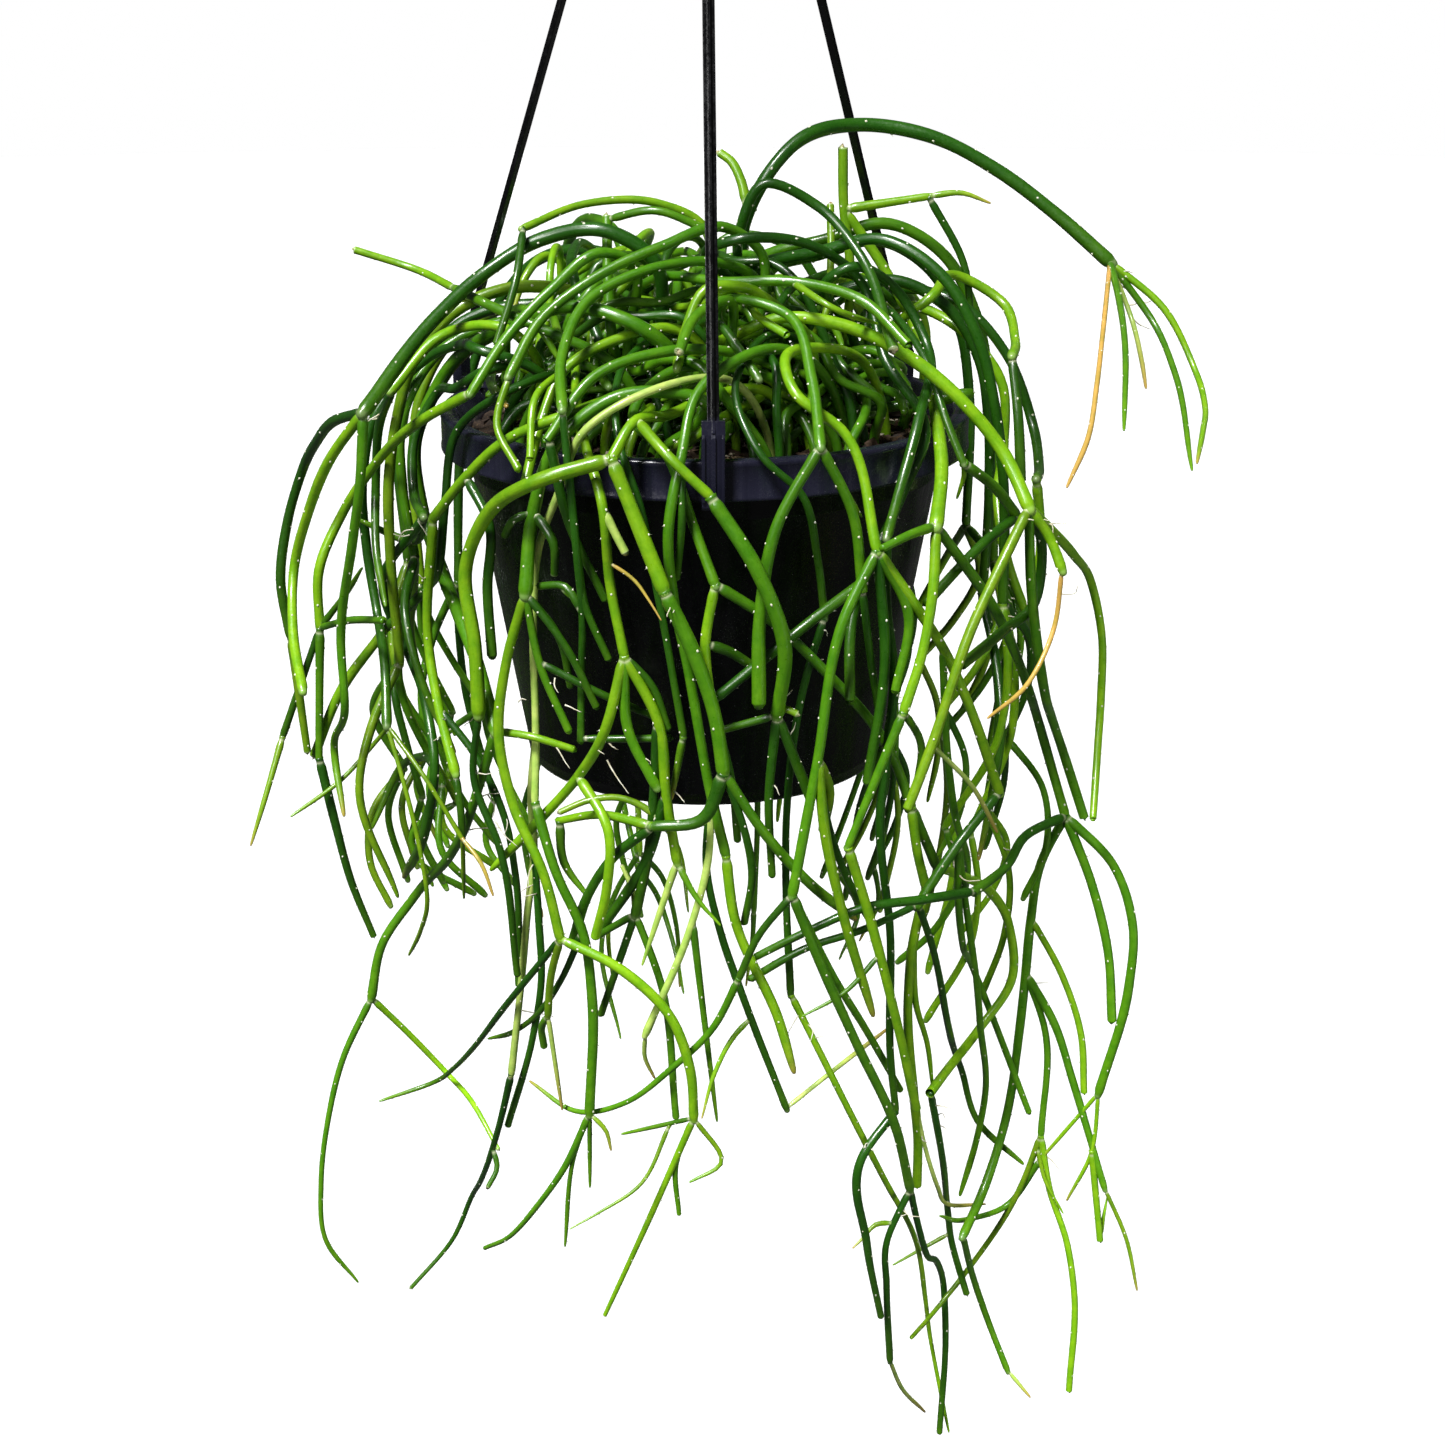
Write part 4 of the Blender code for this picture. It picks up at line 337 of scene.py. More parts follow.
        branch(10, FINE, FINE, 0.95, "dark", [(773, 716), (745, 724), (722, 730)], "cut"),
        branch(4, FINE, FINE, 0.96, "dark", [(716, 735), (730, 770), (733, 800), (737, 840)], "cut"),
        branch(7, MID, FINE, 0.95, "dark", [(556, 819), (553, 836), (562, 862), (589, 898)], "tip"),
        branch(8, FINE, FINE, 0.95, "dark", [(742, 802), (748, 850), (750, 890), (742, 925)], "cut"),
    ],
    "clip_left_fall": [
        branch(None, MID, MID, (0.8, 1.0), "green",
               [(640, 408), (660, 422), (672, 445), (686, 475), (700, 515), (712, 560), (716, 587)]),
        branch(0, MID, MID, 1.0, "lime", [(716, 587), (706, 620), (706, 660), (711, 705)], "cut"),
        branch(0, MID, MID, 1.0, "green",
               [(716, 587), (760, 615), (800, 650), (845, 705), (888, 757), (912, 808)]),
        branch(2, MID, MID, 1.0, "green", [(912, 808), (928, 840), (937, 868)]),
        branch(3, MID, MID, 1.05, "lime",
               [(937, 868), (965, 880), (1005, 920), (1015, 950), (1010, 990), (970, 1045),
                (930, 1093)], "cut"),
        branch(2, MID, MID, 1.0, "lime", [(912, 808), (917, 850), (926, 888)]),
        branch(5, MID, MID, 0.97, "lime",
               [(926, 888), (915, 940), (909, 1000), (912, 1070), (918, 1140), (917, 1185)], "cut"),
        branch(1, MID, MID, 0.95, "dark", [(708, 640), (725, 650), (749, 664)], "cut"),
        branch(1, MID, MID, 0.95, "dark",
               [(711, 698), (740, 681), (766, 659), (789, 636), (823, 619), (860, 590)], "cut"),
        branch(6, FINE, TWIG, 1.0, "lime", [(912, 960), (916, 1000), (926, 1035), (933, 1092)],
               "tip"),
        branch(6, TWIG, TWIG, 1.05, "pale",
               [(918, 1115), (926, 1150), (937, 1185), (955, 1206), (985, 1204)], "tip"),
        branch(4, FINE, FINE, 1.0, "dark",
               [(930, 1093), (940, 1139), (951, 1186), (958, 1239), (975, 1290)], "cut"),
    ],
    "leg_left_fall": [
        branch(None, MID, MID, (0.8, 0.97), "green",
               [(712, 392), (699, 420), (686, 465), (677, 510), (669, 560), (675, 615), (688, 670),
                (700, 740), (715, 810), (727, 857)]),
        branch(0, MID, MID, 1.0, "lime",
               [(727, 857), (727, 890), (740, 930), (762, 985), (785, 1035), (794, 1072)], "tip"),
        branch(0, FINE, FINE, 0.93, "dark",
               [(713, 800), (706, 850), (712, 900), (733, 965), (757, 1035), (787, 1110)]),
        branch(2, TWIG, TWIG, 0.93, "pale", [(787, 1110), (830, 1077), (890, 1028)], "tip"),
        branch(0, FINE, FINE, 0.97, "pale",
               [(715, 812), (705, 880), (693, 920), (677, 965), (645, 1035)]),
        branch(4, TWIG, TWIG, 0.97, "pale", [(645, 1035), (643, 1055), (652, 1085)], "tip"),
        branch(0, FINE, FINE, 0.93, "dark", [(686, 470), (691, 516), (680, 578)], "cut"),
        branch(4, FINE, TWIG, 0.93, "green",
               [(697, 905), (699, 975), (706, 1030), (711, 1080), (717, 1121)], "tip"),
    ],
    "glossy_drop": [
        branch(None, FINE, FINE, (0.85, 0.95), "dark",
               [(628, 425), (643, 455), (654, 495), (667, 545), (673, 610), (678, 680), (682, 737)]),
        branch(0, FINE, FINE, 0.95, "green", [(682, 737), (672, 780), (667, 802)], "tip"),
    ],
    "centre_lime": [
        branch(None, FINE, MID, (0.85, 0.98), "lime",
               [(585, 430), (597, 480), (608, 520), (612, 545), (606, 590), (608, 630), (613, 660)]),
        branch(0, MID, MID, 1.0, "lime",
               [(613, 660), (602, 700), (582, 758), (555, 800), (525, 838), (498, 867)], "tip"),
        branch(1, MID, MID, 1.0, "lime",
               [(582, 758), (600, 810), (606, 855), (600, 900), (588, 935)], "cut"),
        branch(0, MID, MID, 0.98, "lime",
               [(613, 660), (638, 700), (657, 745), (658, 775), (672, 835), (677, 865)]),
        branch(3, FINE, TWIG, 1.0, "pale", [(677, 865), (665, 905), (642, 965)], "tip"),
        branch(0, FINE, FINE, 0.95, "dark", [(610, 625), (635, 665), (660, 705), (677, 728)], "cut"),
        branch(0, MID, MID, 0.98, "green",
               [(613, 660), (618, 710), (626, 744), (636, 773), (657, 788)]),
        branch(3, MID, MID, 0.93, "dark", [(657, 760), (650, 800), (645, 860), (635, 916)]),
        branch(7, FINE, FINE, 0.92, "dark", [(635, 916), (616, 961), (601, 1014)], "cut"),
        branch(7, FINE, FINE, 0.92, "dark", [(635, 916), (615, 924), (595, 937)], "cut"),
        branch(7, FINE, FINE, 0.92, "green",
               [(635, 916), (655, 950), (662, 1000), (668, 1060), (676, 1117)], "cut"),
        branch(3, MID, MID, 0.9, "dark", [(671, 830), (640, 870), (615, 905), (597, 935)], "cut"),
    ],
    "clip_right_fall": [
        branch(None, FINE, FINE, (0.8, 0.96), "dark",
               [(738, 385), (736, 420), (757, 445), (782, 485), (797, 503), (812, 540), (822, 580),
                (830, 620)]),
        branch(0, FINE, FINE, 0.97, "dark",
               [(830, 620), (815, 655), (806, 700), (796, 750), (788, 830), (787, 900), (790, 1005)]),
        branch(1, FINE, TWIG, 0.95, "lime",
               [(790, 1005), (820, 1063), (858, 1135), (890, 1190), (912, 1225), (924, 1270),
                (935, 1360), (948, 1435)], "tip"),
    ],
    "centre_fork": [
        branch(None, MID, MID, (0.55, 1.0), "green",
               [(722, 307), (755, 301), (780, 325), (795, 360), (806, 410), (812, 459)]),
        branch(0, MID, THICK, 1.03, "green",
               [(812, 459), (787, 500), (770, 560), (764, 605), (768, 650), (766, 700)], "cut"),
        branch(0, MID, MID, 1.03, "green", [(812, 459), (843, 505), (863, 550), (866, 590)], "cut"),
        branch(0, TWIG, TWIG, 1.0, "lime", [(812, 459), (845, 487), (878, 510)], "tip"),
        branch(2, FINE, FINE, 0.98, "dark", [(866, 590), (862, 625), (869, 656), (880, 712)], "cut"),
    ],
    "diagonal_right": [
        branch(None, MID, THICK, (0.5, 1.25), "lime",
               [(722, 332), (760, 314), (820, 314), (885, 340), (935, 377), (975, 418), (1005, 455),
                (1030, 510)]),
        branch(0, MID, MID, 1.35, "lime", [(1030, 510), (1056, 550), (1063, 572)]),
        branch(1, TWIG, TWIG, 1.3, "dry",
               [(1063, 572), (1062, 600), (1045, 650), (1015, 700), (988, 718)], "tip"),
        branch(0, MID, FINE, 1.4, "lime",
               [(1030, 510), (1070, 550), (1095, 595), (1103, 650), (1100, 710), (1093, 818)], "cut"),
        branch(0, MID, MID, 1.2, "olive",
               [(1030, 510), (1000, 567), (973, 625), (955, 680), (932, 745), (908, 808)], "cut"),
        branch(4, TWIG, TWIG, 1.2, "pale", [(938, 730), (975, 790), (997, 832)], "tip"),
        branch(0, MID, MID, 1.2, "dark",
               [(1030, 510), (1043, 560), (1041, 590), (1015, 620), (962, 665)], "cut"),
        branch(0, MID, MID, 1.25, "green",
               [(1030, 510), (1030, 563), (1034, 620), (1042, 680), (1060, 745), (1083, 818)], "cut"),
    ],
    "tall_lime": [
        branch(None, MID, MID, (0.45, 0.4), "lime", [(852, 262), (846, 218), (843, 170), (843, 145)],
               "cut"),
        branch(0, MID, FINE, 0.8, "lime", [(846, 218), (900, 200), (931, 196)]),
        branch(1, FINE, TWIG, 0.9, "lime", [(931, 196), (970, 194), (990, 203)], "tip"),
        branch(1, FINE, FINE, 0.85, "dark", [(931, 196), (955, 230), (964, 270), (968, 350)], "cut"),
        branch(0, MID, THICK, 1.12, "lime",
               [(846, 218), (874, 250), (908, 310), (922, 360), (929, 420), (935, 480), (936, 528)]),
        branch(4, MID, MID, 1.15, "lime", [(936, 528), (928, 590), (915, 670), (903, 714)]),
        branch(4, MID, MID, 1.2, "green",
               [(936, 528), (965, 565), (1003, 625), (1025, 680), (1045, 745), (1066, 818)]),
        branch(4, MID, FINE, 1.1, "green", [(936, 528), (905, 537), (880, 550)], "cut"),
        branch(5, MID, FINE, 1.1, "green", [(903, 714), (890, 745), (868, 795), (847, 849)]),
        branch(8, MID, MID, 1.0, "lime",
               [(847, 849), (862, 895), (878, 955), (893, 1020), (915, 1105)], "cut"),
        branch(5, FINE, FINE, 1.1, "green", [(903, 714), (922, 750), (916, 790)], "cut"),
        branch(6, MID, MID, 1.15, "dark", [(1066, 818), (1030, 832), (1000, 872), (972, 892)], "cut"),
        branch(6, MID, MID, 1.1, "green",
               [(1066, 818), (1040, 860), (1025, 930), (1015, 1020), (1008, 1080), (993, 1160),
                (962, 1238)]),
        branch(12, FINE, FINE, 1.0, "green", [(962, 1238), (983, 1310), (1008, 1372)]),
        branch(13, TWIG, TWIG, 1.0, "pale", [(1008, 1372), (1030, 1397)], "tip"),
        branch(6, MID, MID, 1.25, "green", [(1066, 818), (1087, 870), (1107, 945), (1112, 1020)],
               "cut"),
        branch(6, MID, MID, 1.3, "green",
               [(1066, 818), (1110, 860), (1132, 920), (1130, 980), (1112, 1040), (1098, 1095)]),
        branch(16, TWIG, TWIG, 1.2, "lime", [(1098, 1095), (1075, 1120), (1040, 1160)], "tip"),
        branch(16, TWIG, TWIG, 1.25, "lime", [(1098, 1095), (1095, 1140), (1067, 1200)], "tip"),
        branch(12, FINE, FINE, 1.1, "lime",
               [(1027, 920), (1050, 955), (1067, 1000), (1081, 1040), (1084, 1092)], "cut"),
        branch(12, MID, FINE, 1.05, "green",
               [(1022, 950), (1040, 1000), (1057, 1050), (1083, 1115), (1105, 1190)]),
        branch(20, TWIG, TWIG, 1.1, "olive", [(1105, 1190), (1125, 1235), (1137, 1290)], "tip"),
        branch(12, FINE, FINE, 0.97, "green", [(1022, 950), (1037, 1020), (1040, 1090), (1036, 1137)]),
        branch(22, FINE, FINE, 1.0, "lime",
               [(1036, 1137), (1043, 1180), (1062, 1235), (1074, 1320), (1069, 1390)], "cut"),
        branch(22, FINE, TWIG, 0.95, "olive",
               [(1036, 1137), (1015, 1190), (983, 1245), (945, 1295), (910, 1337)], "cut"),
        branch(11, MID, FINE, 0.97, "dark",
               [(972, 892), (935, 899), (897, 908), (847, 918), (804, 939), (760, 960), (738, 972)],
               "cut"),
        branch(17, FINE, TWIG, 1.05, "green", [(1040, 1160), (1025, 1190), (995, 1213), (940, 1216)],
               "tip"),
        branch(18, FINE, FINE, 1.2, "lime", [(1094, 1145), (1096, 1190), (1100, 1240)], "cut"),
    ],
    "twin_fall": [
        branch(None, MID, MID, (0.85, 1.08), "lime",
               [(790, 395), (820, 415), (845, 440), (860, 490), (877, 553)]),
        branch(0, MID, MID, 1.08, "green",
               [(877, 553), (850, 600), (835, 660), (824, 730), (810, 795), (792, 897)]),
        branch(0, MID, MID, 1.1, "green", [(877, 553), (902, 595), (910, 635), (896, 690)], "cut"),
        branch(0, MID, MID, 1.0, "dark", [(877, 553), (885, 640), (880, 710), (867, 780)], "cut"),
        branch(0, MID, MID, 1.15, "lime",
               [(877, 553), (925, 615), (955, 668), (975, 720), (1000, 794)]),
        branch(4, MID, MID, 1.1, "dark", [(1000, 794), (960, 850), (925, 912)], "cut"),
        branch(1, MID, MID, 1.05, "lime",
               [(810, 795), (830, 865), (845, 920), (863, 980), (873, 1015)], "tip"),
        branch(1, MID, MID, 1.0, "green",
               [(792, 897), (820, 965), (850, 1035), (885, 1112), (910, 1190)]),
        branch(1, FINE, FINE, 0.95, "green", [(792, 897), (835, 975), (880, 1045), (905, 1090)], "cut"),
        branch(1, FINE, FINE, 1.0, "dark", [(792, 897), (765, 925), (740, 975)]),
        branch(9, FINE, TWIG, 0.95, "green",
               [(740, 975), (725, 1010), (680, 1060), (632, 1098), (592, 1113), (550, 1100),
                (527, 1080)], "tip"),
        branch(7, FINE, FINE, 0.95, "dark",
               [(910, 1190), (925, 1250), (943, 1275), (946, 1330), (940, 1428)], "cut"),
        branch(7, FINE, FINE, 0.9, "dark", [(910, 1190), (893, 1215), (887, 1270), (890, 1362)]),
        branch(12, TWIG, TWIG, 0.9, "pale", [(890, 1362), (900, 1385), (925, 1412)], "tip"),
        branch(5, FINE, FINE, 0.95, "dark",
               [(940, 885), (941, 960), (952, 1020), (975, 1095), (1000, 1155), (1030, 1172)], "tip"),
        branch(5, FINE, FINE, 1.0, "green",
               [(945, 878), (973, 970), (975, 1040), (980, 1110), (960, 1195)], "tip"),
        branch(1, MID, MID, 1.0, "olive", [(822, 745), (829, 790), (823, 830)], "cut"),
        branch(5, FINE, FINE, 0.93, "dark",
               [(925, 908), (886, 932), (836, 936), (786, 961), (742, 982)], "cut"),
        branch(1, FINE, FINE, 0.97, "dark", [(818, 765), (828, 830), (847, 886), (868, 928)], "cut"),
        branch(5, FINE, FINE, 0.97, "green",
               [(950, 880), (962, 920), (985, 990), (1011, 1050), (1035, 1110)], "cut"),
        branch(4, FINE, FINE, 1.0, "green",
               [(945, 660), (948, 740), (952, 800), (965, 850), (978, 905)], "cut"),
    ],
    "dark_fall": [
        branch(None, MID, MID, (0.5, 1.03), "dark",
               [(738, 246), (790, 240), (838, 256), (868, 285), (880, 340), (881, 400), (879, 450),
                (873, 500), (858, 570), (845, 640), (848, 700)], "cut"),
    ],
    "dark_fall_outer": [
        branch(None, MID, MID, (0.6, 1.06), "dark",
               [(838, 262), (880, 281), (905, 312), (914, 380), (905, 440), (892, 500), (882, 540)]),
        branch(0, MID, FINE, 0.98, "dark",
               [(882, 540), (884, 600), (893, 700), (880, 800), (885, 880), (892, 960), (888, 1040),
                (893, 1110)]),
        branch(1, MID, FINE, 0.93, "dark",
               [(893, 1110), (864, 1138), (861, 1190), (868, 1260), (881, 1316)], "cut"),
        branch(1, MID, MID, 0.97, "dark", [(893, 715), (883, 744), (869, 782)], "cut"),
    ],
    "crown_top": [
        branch(None, MID, MID, (0.3, 0.9), "dark",
               [(742, 236), (744, 200), (770, 187), (815, 206), (850, 240), (872, 285), (890, 350)],
               "cut"),
    ],
    "right_arch": [
        branch(None, THICK, THICK, (0.3, 1.4), "dark",
               [(755, 205), (785, 160), (840, 133), (920, 138), (1000, 175), (1060, 219),
                (1112, 264)]),
        branch(0, TWIG, TWIG, 1.6, "dry",
               [(1112, 264), (1104, 320), (1096, 390), (1083, 455), (1067, 487)], "tip"),
        branch(0, FINE, TWIG, 1.7, "green", [(1112, 264), (1124, 335), (1127, 400), (1124, 430)],
               "tip"),
        branch(0, TWIG, TWIG, 1.5, "pale", [(1112, 264), (1132, 320), (1146, 388)], "tip"),
        branch(0, FINE, TWIG, 1.7, "green", [(1112, 264), (1158, 330), (1180, 395), (1192, 470)],
               "tip"),
        branch(0, FINE, TWIG, 1.75, "lime",
               [(1112, 264), (1165, 310), (1195, 370), (1203, 430), (1197, 463)], "tip"),
    ],
    "right_lime_arch": [
        branch(None, MID, MID, (0.8, 1.1), "lime",
               [(925, 300), (955, 276), (985, 281), (1006, 315), (1012, 357)]),
        branch(0, MID, MID, 1.15, "dark", [(1012, 357), (1019, 420), (1022, 480)], "cut"),
    ],
    "right_dark": [
        branch(None, MID, MID, (0.7, 1.2), "dark",
               [(955, 303), (985, 330), (1018, 385), (1033, 440), (1035, 480)]),
        branch(0, MID, FINE, 1.2, "lime", [(1035, 480), (1040, 530), (1036, 590)], "cut"),
    ],
    "right_pale": [
        branch(None, MID, MID, (0.8, 1.1), "lime",
               [(957, 330), (990, 365), (1001, 410), (995, 460), (991, 510), (1000, 560),
                (1018, 612)]),
        branch(0, FINE, FINE, 1.1, "dark", [(1018, 612), (1027, 640), (1036, 670)], "tip"),
    ],
    "rim_right": [
        branch(None, FINE, FINE, (0.85, 1.0), "dark", [(925, 378), (935, 430), (948, 472)]),
        branch(0, MID, MID, 1.12, "green", [(948, 472), (980, 485), (1018, 517)]),
        branch(1, MID, MID, 1.1, "dark", [(1018, 517), (970, 562), (935, 605)], "cut"),
        branch(0, TWIG, TWIG, 1.0, "lime", [(948, 472), (958, 483), (957, 498)], "tip"),
    ],
    "crown_low": [
        branch(None, MID, MID, (0.5, 0.95), "green",
               [(722, 262), (780, 270), (840, 285), (880, 318), (905, 350)], "cut"),
        branch(0, FINE, TWIG, 0.8, "lime", [(770, 268), (830, 302), (880, 326)], "tip"),
    ],
    "cut_stubs": [
        branch(None, FINE, FINE, (0.5, 0.5), "olive", [(826, 320), (833, 275), (836, 240), (836, 205)],
               "cut"),
    ],
}

# The sides and the back, which the photo doesn't show, by direction in degrees from the front
BACK_DIRECTIONS = (62, 80, 96, 112, 127, 141, 156, 170, 184, 199, 214, 229, 243, 258, 273, 290)
BACK_TONES = ("dark", "green", "green", "lime", "olive")
BACK_BRANCHES = 8
SEED = 417


def drape_radius(height):
    """Radius of the drape at a height over the rim."""
    dome = np.sqrt(np.maximum(1.0 - (np.maximum(height, 0.0) / DRAPE_CREST) ** 2, 0.02))
    return DRAPE_RADIUS * dome + DRAPE_FALL * np.minimum(height + POT_HEIGHT, 0.0)


def sight(pixel):
    """The way from the eye through a pixel, for each unit of distance."""
    across = (pixel[0] - EYE_MIDDLE) / EYE_FOCAL
    up = (EYE_MIDDLE - pixel[1]) / EYE_FOCAL
    c, s = math.cos(EYE_DIP), math.sin(EYE_DIP)
    return np.array((across, c + up * s, up * c - s))


def place(pixel, spread):
    """Point on the drape, spread times its usual width, that a pixel looks at."""
    reach = np.linspace(640.0, 1240.0, 601)
    points = np.array(EYE) + reach[:, None] * sight(pixel)
    ratio = np.hypot(points[:, 0], points[:, 1]) / drape_radius(points[:, 2])
    inside = np.nonzero(ratio <= spread)[0]
    if len(inside) == 0 or inside[0] == 0:
        return points[int(np.argmin(ratio))]
    first = inside[0]
    share = (ratio[first - 1] - spread) / (ratio[first - 1] - ratio[first])
    return points[first - 1] * (1.0 - share) + points[first] * share


def pixel_of(points):
    """Pixels at which points are seen."""
    offset = np.atleast_2d(points) - np.array(EYE)
    c, s = math.cos(EYE_DIP), math.sin(EYE_DIP)
    depth = offset[:, 1] * c - offset[:, 2] * s
    up = offset[:, 1] * s + offset[:, 2] * c
    return np.stack((EYE_MIDDLE + EYE_FOCAL * offset[:, 0] / depth,
                     EYE_MIDDLE - EYE_FOCAL * up / depth), axis=1)


def smooth_line(points, spacing):
    """Points at even steps along a smooth curve through the given ones."""
    points = np.asarray(points, float)
    gaps = np.maximum(np.linalg.norm(np.diff(points, axis=0), axis=1), 1e-6)
    slopes = np.diff(points, axis=0) / gaps[:, None]
    middle = slopes[:-1] * gaps[1:, None] + slopes[1:] * gaps[:-1, None]
    middle /= (gaps[:-1] + gaps[1:])[:, None]
    ways = np.vstack((slopes[:1], middle, slopes[-1:]))
    t = np.linspace(0.0, 1.0, 16, endpoint=False)[:, None]
    dense = [(1 + 2 * t) * (1 - t) ** 2 * points[i] + t * (1 - t) ** 2 * gap * ways[i]
             + t * t * (3 - 2 * t) * points[i + 1] + t * t * (t - 1) * gap * ways[i + 1]
             for i, gap in enumerate(gaps)]
    dense = np.vstack(dense + [points[-1:]])
    run = run_along(dense)
    count = max(2, int(round(run[-1] / spacing)))
    steps = np.linspace(0.0, run[-1], count + 1)
    return np.stack([np.interp(steps, run, dense[:, k]) for k in range(3)], axis=1)


def run_along(line):
    """Length run along a line up to each of its points."""
    return np.concatenate(([0.0], np.cumsum(np.linalg.norm(np.diff(line, axis=0), axis=1))))


def root_line(spot, first, way):
    """Points from the mix at a spot up to a branch's first traced point."""
    base = np.array((spot[0], spot[1], MIX_TOP + 5.0))
    length = np.linalg.norm(first - base)
    low = base + np.array((0.0, 0.0, 0.5 * length))
    high = first - way / np.linalg.norm(way) * 0.35 * length
    count = max(2, int(round(1.1 * length / STEM_SPACING)))
    line = [np.array((spot[0], spot[1], MIX_TOP - ROOT_DEPTH))]
    for t in np.linspace(0.0, 1.0, count, endpoint=False):
        line.append((1 - t) ** 3 * base + 3 * (1 - t) ** 2 * t * low
                    + 3 * (1 - t) * t * t * high + t ** 3 * first)
    return np.array(line)


def root_spots(count):
    """Even places for the roots, in a sunflower pattern on the mix."""
    golden = math.pi * (3.0 - math.sqrt(5.0))
    spots = []
    for i in range(count):
        radius = 10.0 + 64.0 * math.sqrt(i / (count - 1))
        spots.append((radius * math.cos(i * golden), radius * math.sin(i * golden)))
    return spots


def take_spot(spots, wish):
    """The free root place nearest to the wished one, which is then taken."""
    reach = math.hypot(wish[0], wish[1])
    shrink = min(1.0, 66.0 / max(reach, 1.0))
    best = min(spots, key=lambda p: math.hypot(p[0] - wish[0] * shrink, p[1] - wish[1] * shrink))
    spots.remove(best)
    return best


def traced_lines(shoot, spots):
    """Middle lines of a traced shoot's branches, each with what it grows from."""
    grown = []
    for piece in shoot:
        path = piece["path"]
        parent = piece["parent"]
        if parent is None:
            at = 0
            start_spread, end_spread = piece["spread"]
        else:
            seen = pixel_of(grown[parent]["line"])
            gap = np.hypot(seen[:, 0] - path[0][0], seen[:, 1] - path[0][1])
            at = int(np.argmin(gap))
            start_spread, end_spread = grown[parent]["spreads"][at], piece["spread"]
        steps = np.hypot(*np.diff(np.array(path, float), axis=0).T)
        share = np.concatenate(([0.0], np.cumsum(steps))) / steps.sum()
        points = [place(pixel, start_spread + (end_spread - start_spread) * s)
                  for pixel, s in zip(path, share)]
        if parent is None:
            spot = take_spot(spots, points[0][:2] * 0.7)
            rise = root_line(spot, points[0], points[1] - points[0])
            line = np.vstack((rise, smooth_line(points, STEM_SPACING)))
        else:
            points[0] = grown[parent]["line"][at]
            line = smooth_line(points, STEM_SPACING)
        spreads = np.linspace(start_spread, end_spread, len(line))
        grown.append({"line": line, "parent": parent, "at": at, "start": piece["start"],
                      "end": piece["end"], "finish": piece["finish"], "tone": piece["tone"],
                      "spreads": spreads})
    return grown


def turn_about(direction, radius, height):
    """Point at a direction from the front, seen from above, a radius out and a height up."""
    return np.array((radius * math.sin(direction), -radius * math.cos(direction), height))


def back_lines(direction, draw, spots):
    """A shoot for the sides and back: an arch over the rim, with whorls of thinner branches."""
    crest = draw.uniform(30.0, 68.0)
    reach = draw.uniform(107.0, 126.0)
    sway = draw.uniform(-0.22, 0.22)
    drop = draw.uniform(40.0, 105.0)
    aside = math.sin(direction)
    lowest = -190.0 - 140.0 * (1.0 - abs(aside)) - 50.0 * max(aside, 0.0)
    tone = BACK_TONES[draw.integers(len(BACK_TONES))]
    points = [turn_about(direction - sway, 0.42 * reach, 0.92 * crest),
              turn_about(direction - 0.5 * sway, 0.70 * reach, crest),
              turn_about(direction, 0.93 * reach, 0.55 * crest),
              turn_about(direction + 0.4 * sway, reach, 2.0),
              turn_about(direction + sway, reach + 2.0, -drop)]
    spot = take_spot(spots, points[0][:2] * 0.8)
    line = np.vstack((root_line(spot, points[0], points[1] - points[0]),
                      smooth_line(points, STEM_SPACING)))
    grown = [{"line": line, "parent": None, "at": 0, "start": THICK, "end": MID,
              "finish": "joint", "tone": tone}]
    tips = [(0, direction + sway, reach + 2.0, -drop, MID)]
    for level, thick in enumerate((FINE, FINE, TWIG)):
        fresh = []
        for parent, angle, radius, height, before in tips:
            forks = draw.integers(2, 4) if level == 0 else draw.integers(1, 3)
            fan = draw.uniform(0.16, 0.34)
            for k in range(forks):
                turn = fan * (k - (forks - 1) / 2.0) + draw.uniform(-0.07, 0.07)
                fall = min(draw.uniform(50.0, 100.0), height - lowest)
                step = draw.uniform(-20.0, 12.0)
                if fall < 25.0 or len(grown) >= BACK_BRANCHES:
                    continue
                out = max(radius + step, 74.0)
                end_angle = angle + turn
                swell = draw.uniform(2.0, 12.0)
                mid = turn_about(angle + 0.75 * turn, max(radius, out) + swell, height - 0.4 * fall)
                end = turn_about(end_angle, out, height - fall)
                path = [grown[parent]["line"][-1], mid, end]
                tip = "tip" if level == 2 or draw.random() < 0.25 else "joint"
                grown.append({"line": smooth_line(path, STEM_SPACING), "parent": parent, "at": -1,
                              "start": before, "end": thick, "finish": tip,
                              "tone": BACK_TONES[draw.integers(len(BACK_TONES))]})
                if tip == "joint":
                    fresh.append((len(grown) - 1, end_angle, out, height - fall, thick))
        tips = fresh
    return grown


def guard_edges():
    """Edges of the fixed things that stems keep clear of, each with its half thickness."""
    edges = []
    ring = [2.0 * math.pi * k / 36 for k in range(37)]
    for radius, height, half in ((97.2, -1.0, 3.4), (98.4, -7.5, 2.2), (98.6, -13.0, 2.2)):
        for a, b in zip(ring[:-1], ring[1:]):
            edges.append((turn_about(a, radius, height), turn_about(b, radius, height), half))
    for angle in LEG_ANGLES:
        turn = math.radians(angle)
        top = np.array((0.0, 0.0, APEX))
        foot = turn_about(turn, LEG_FOOT_RADIUS, LEG_FOOT_UP)
        edges.append((top, foot, 3.1))
        edges.append((foot, turn_about(turn, 102.0, -16.0), 5.4))
        edges.append((turn_about(turn, 103.0, 3.0), turn_about(turn, 89.0, 1.0), 5.2))
    return edges


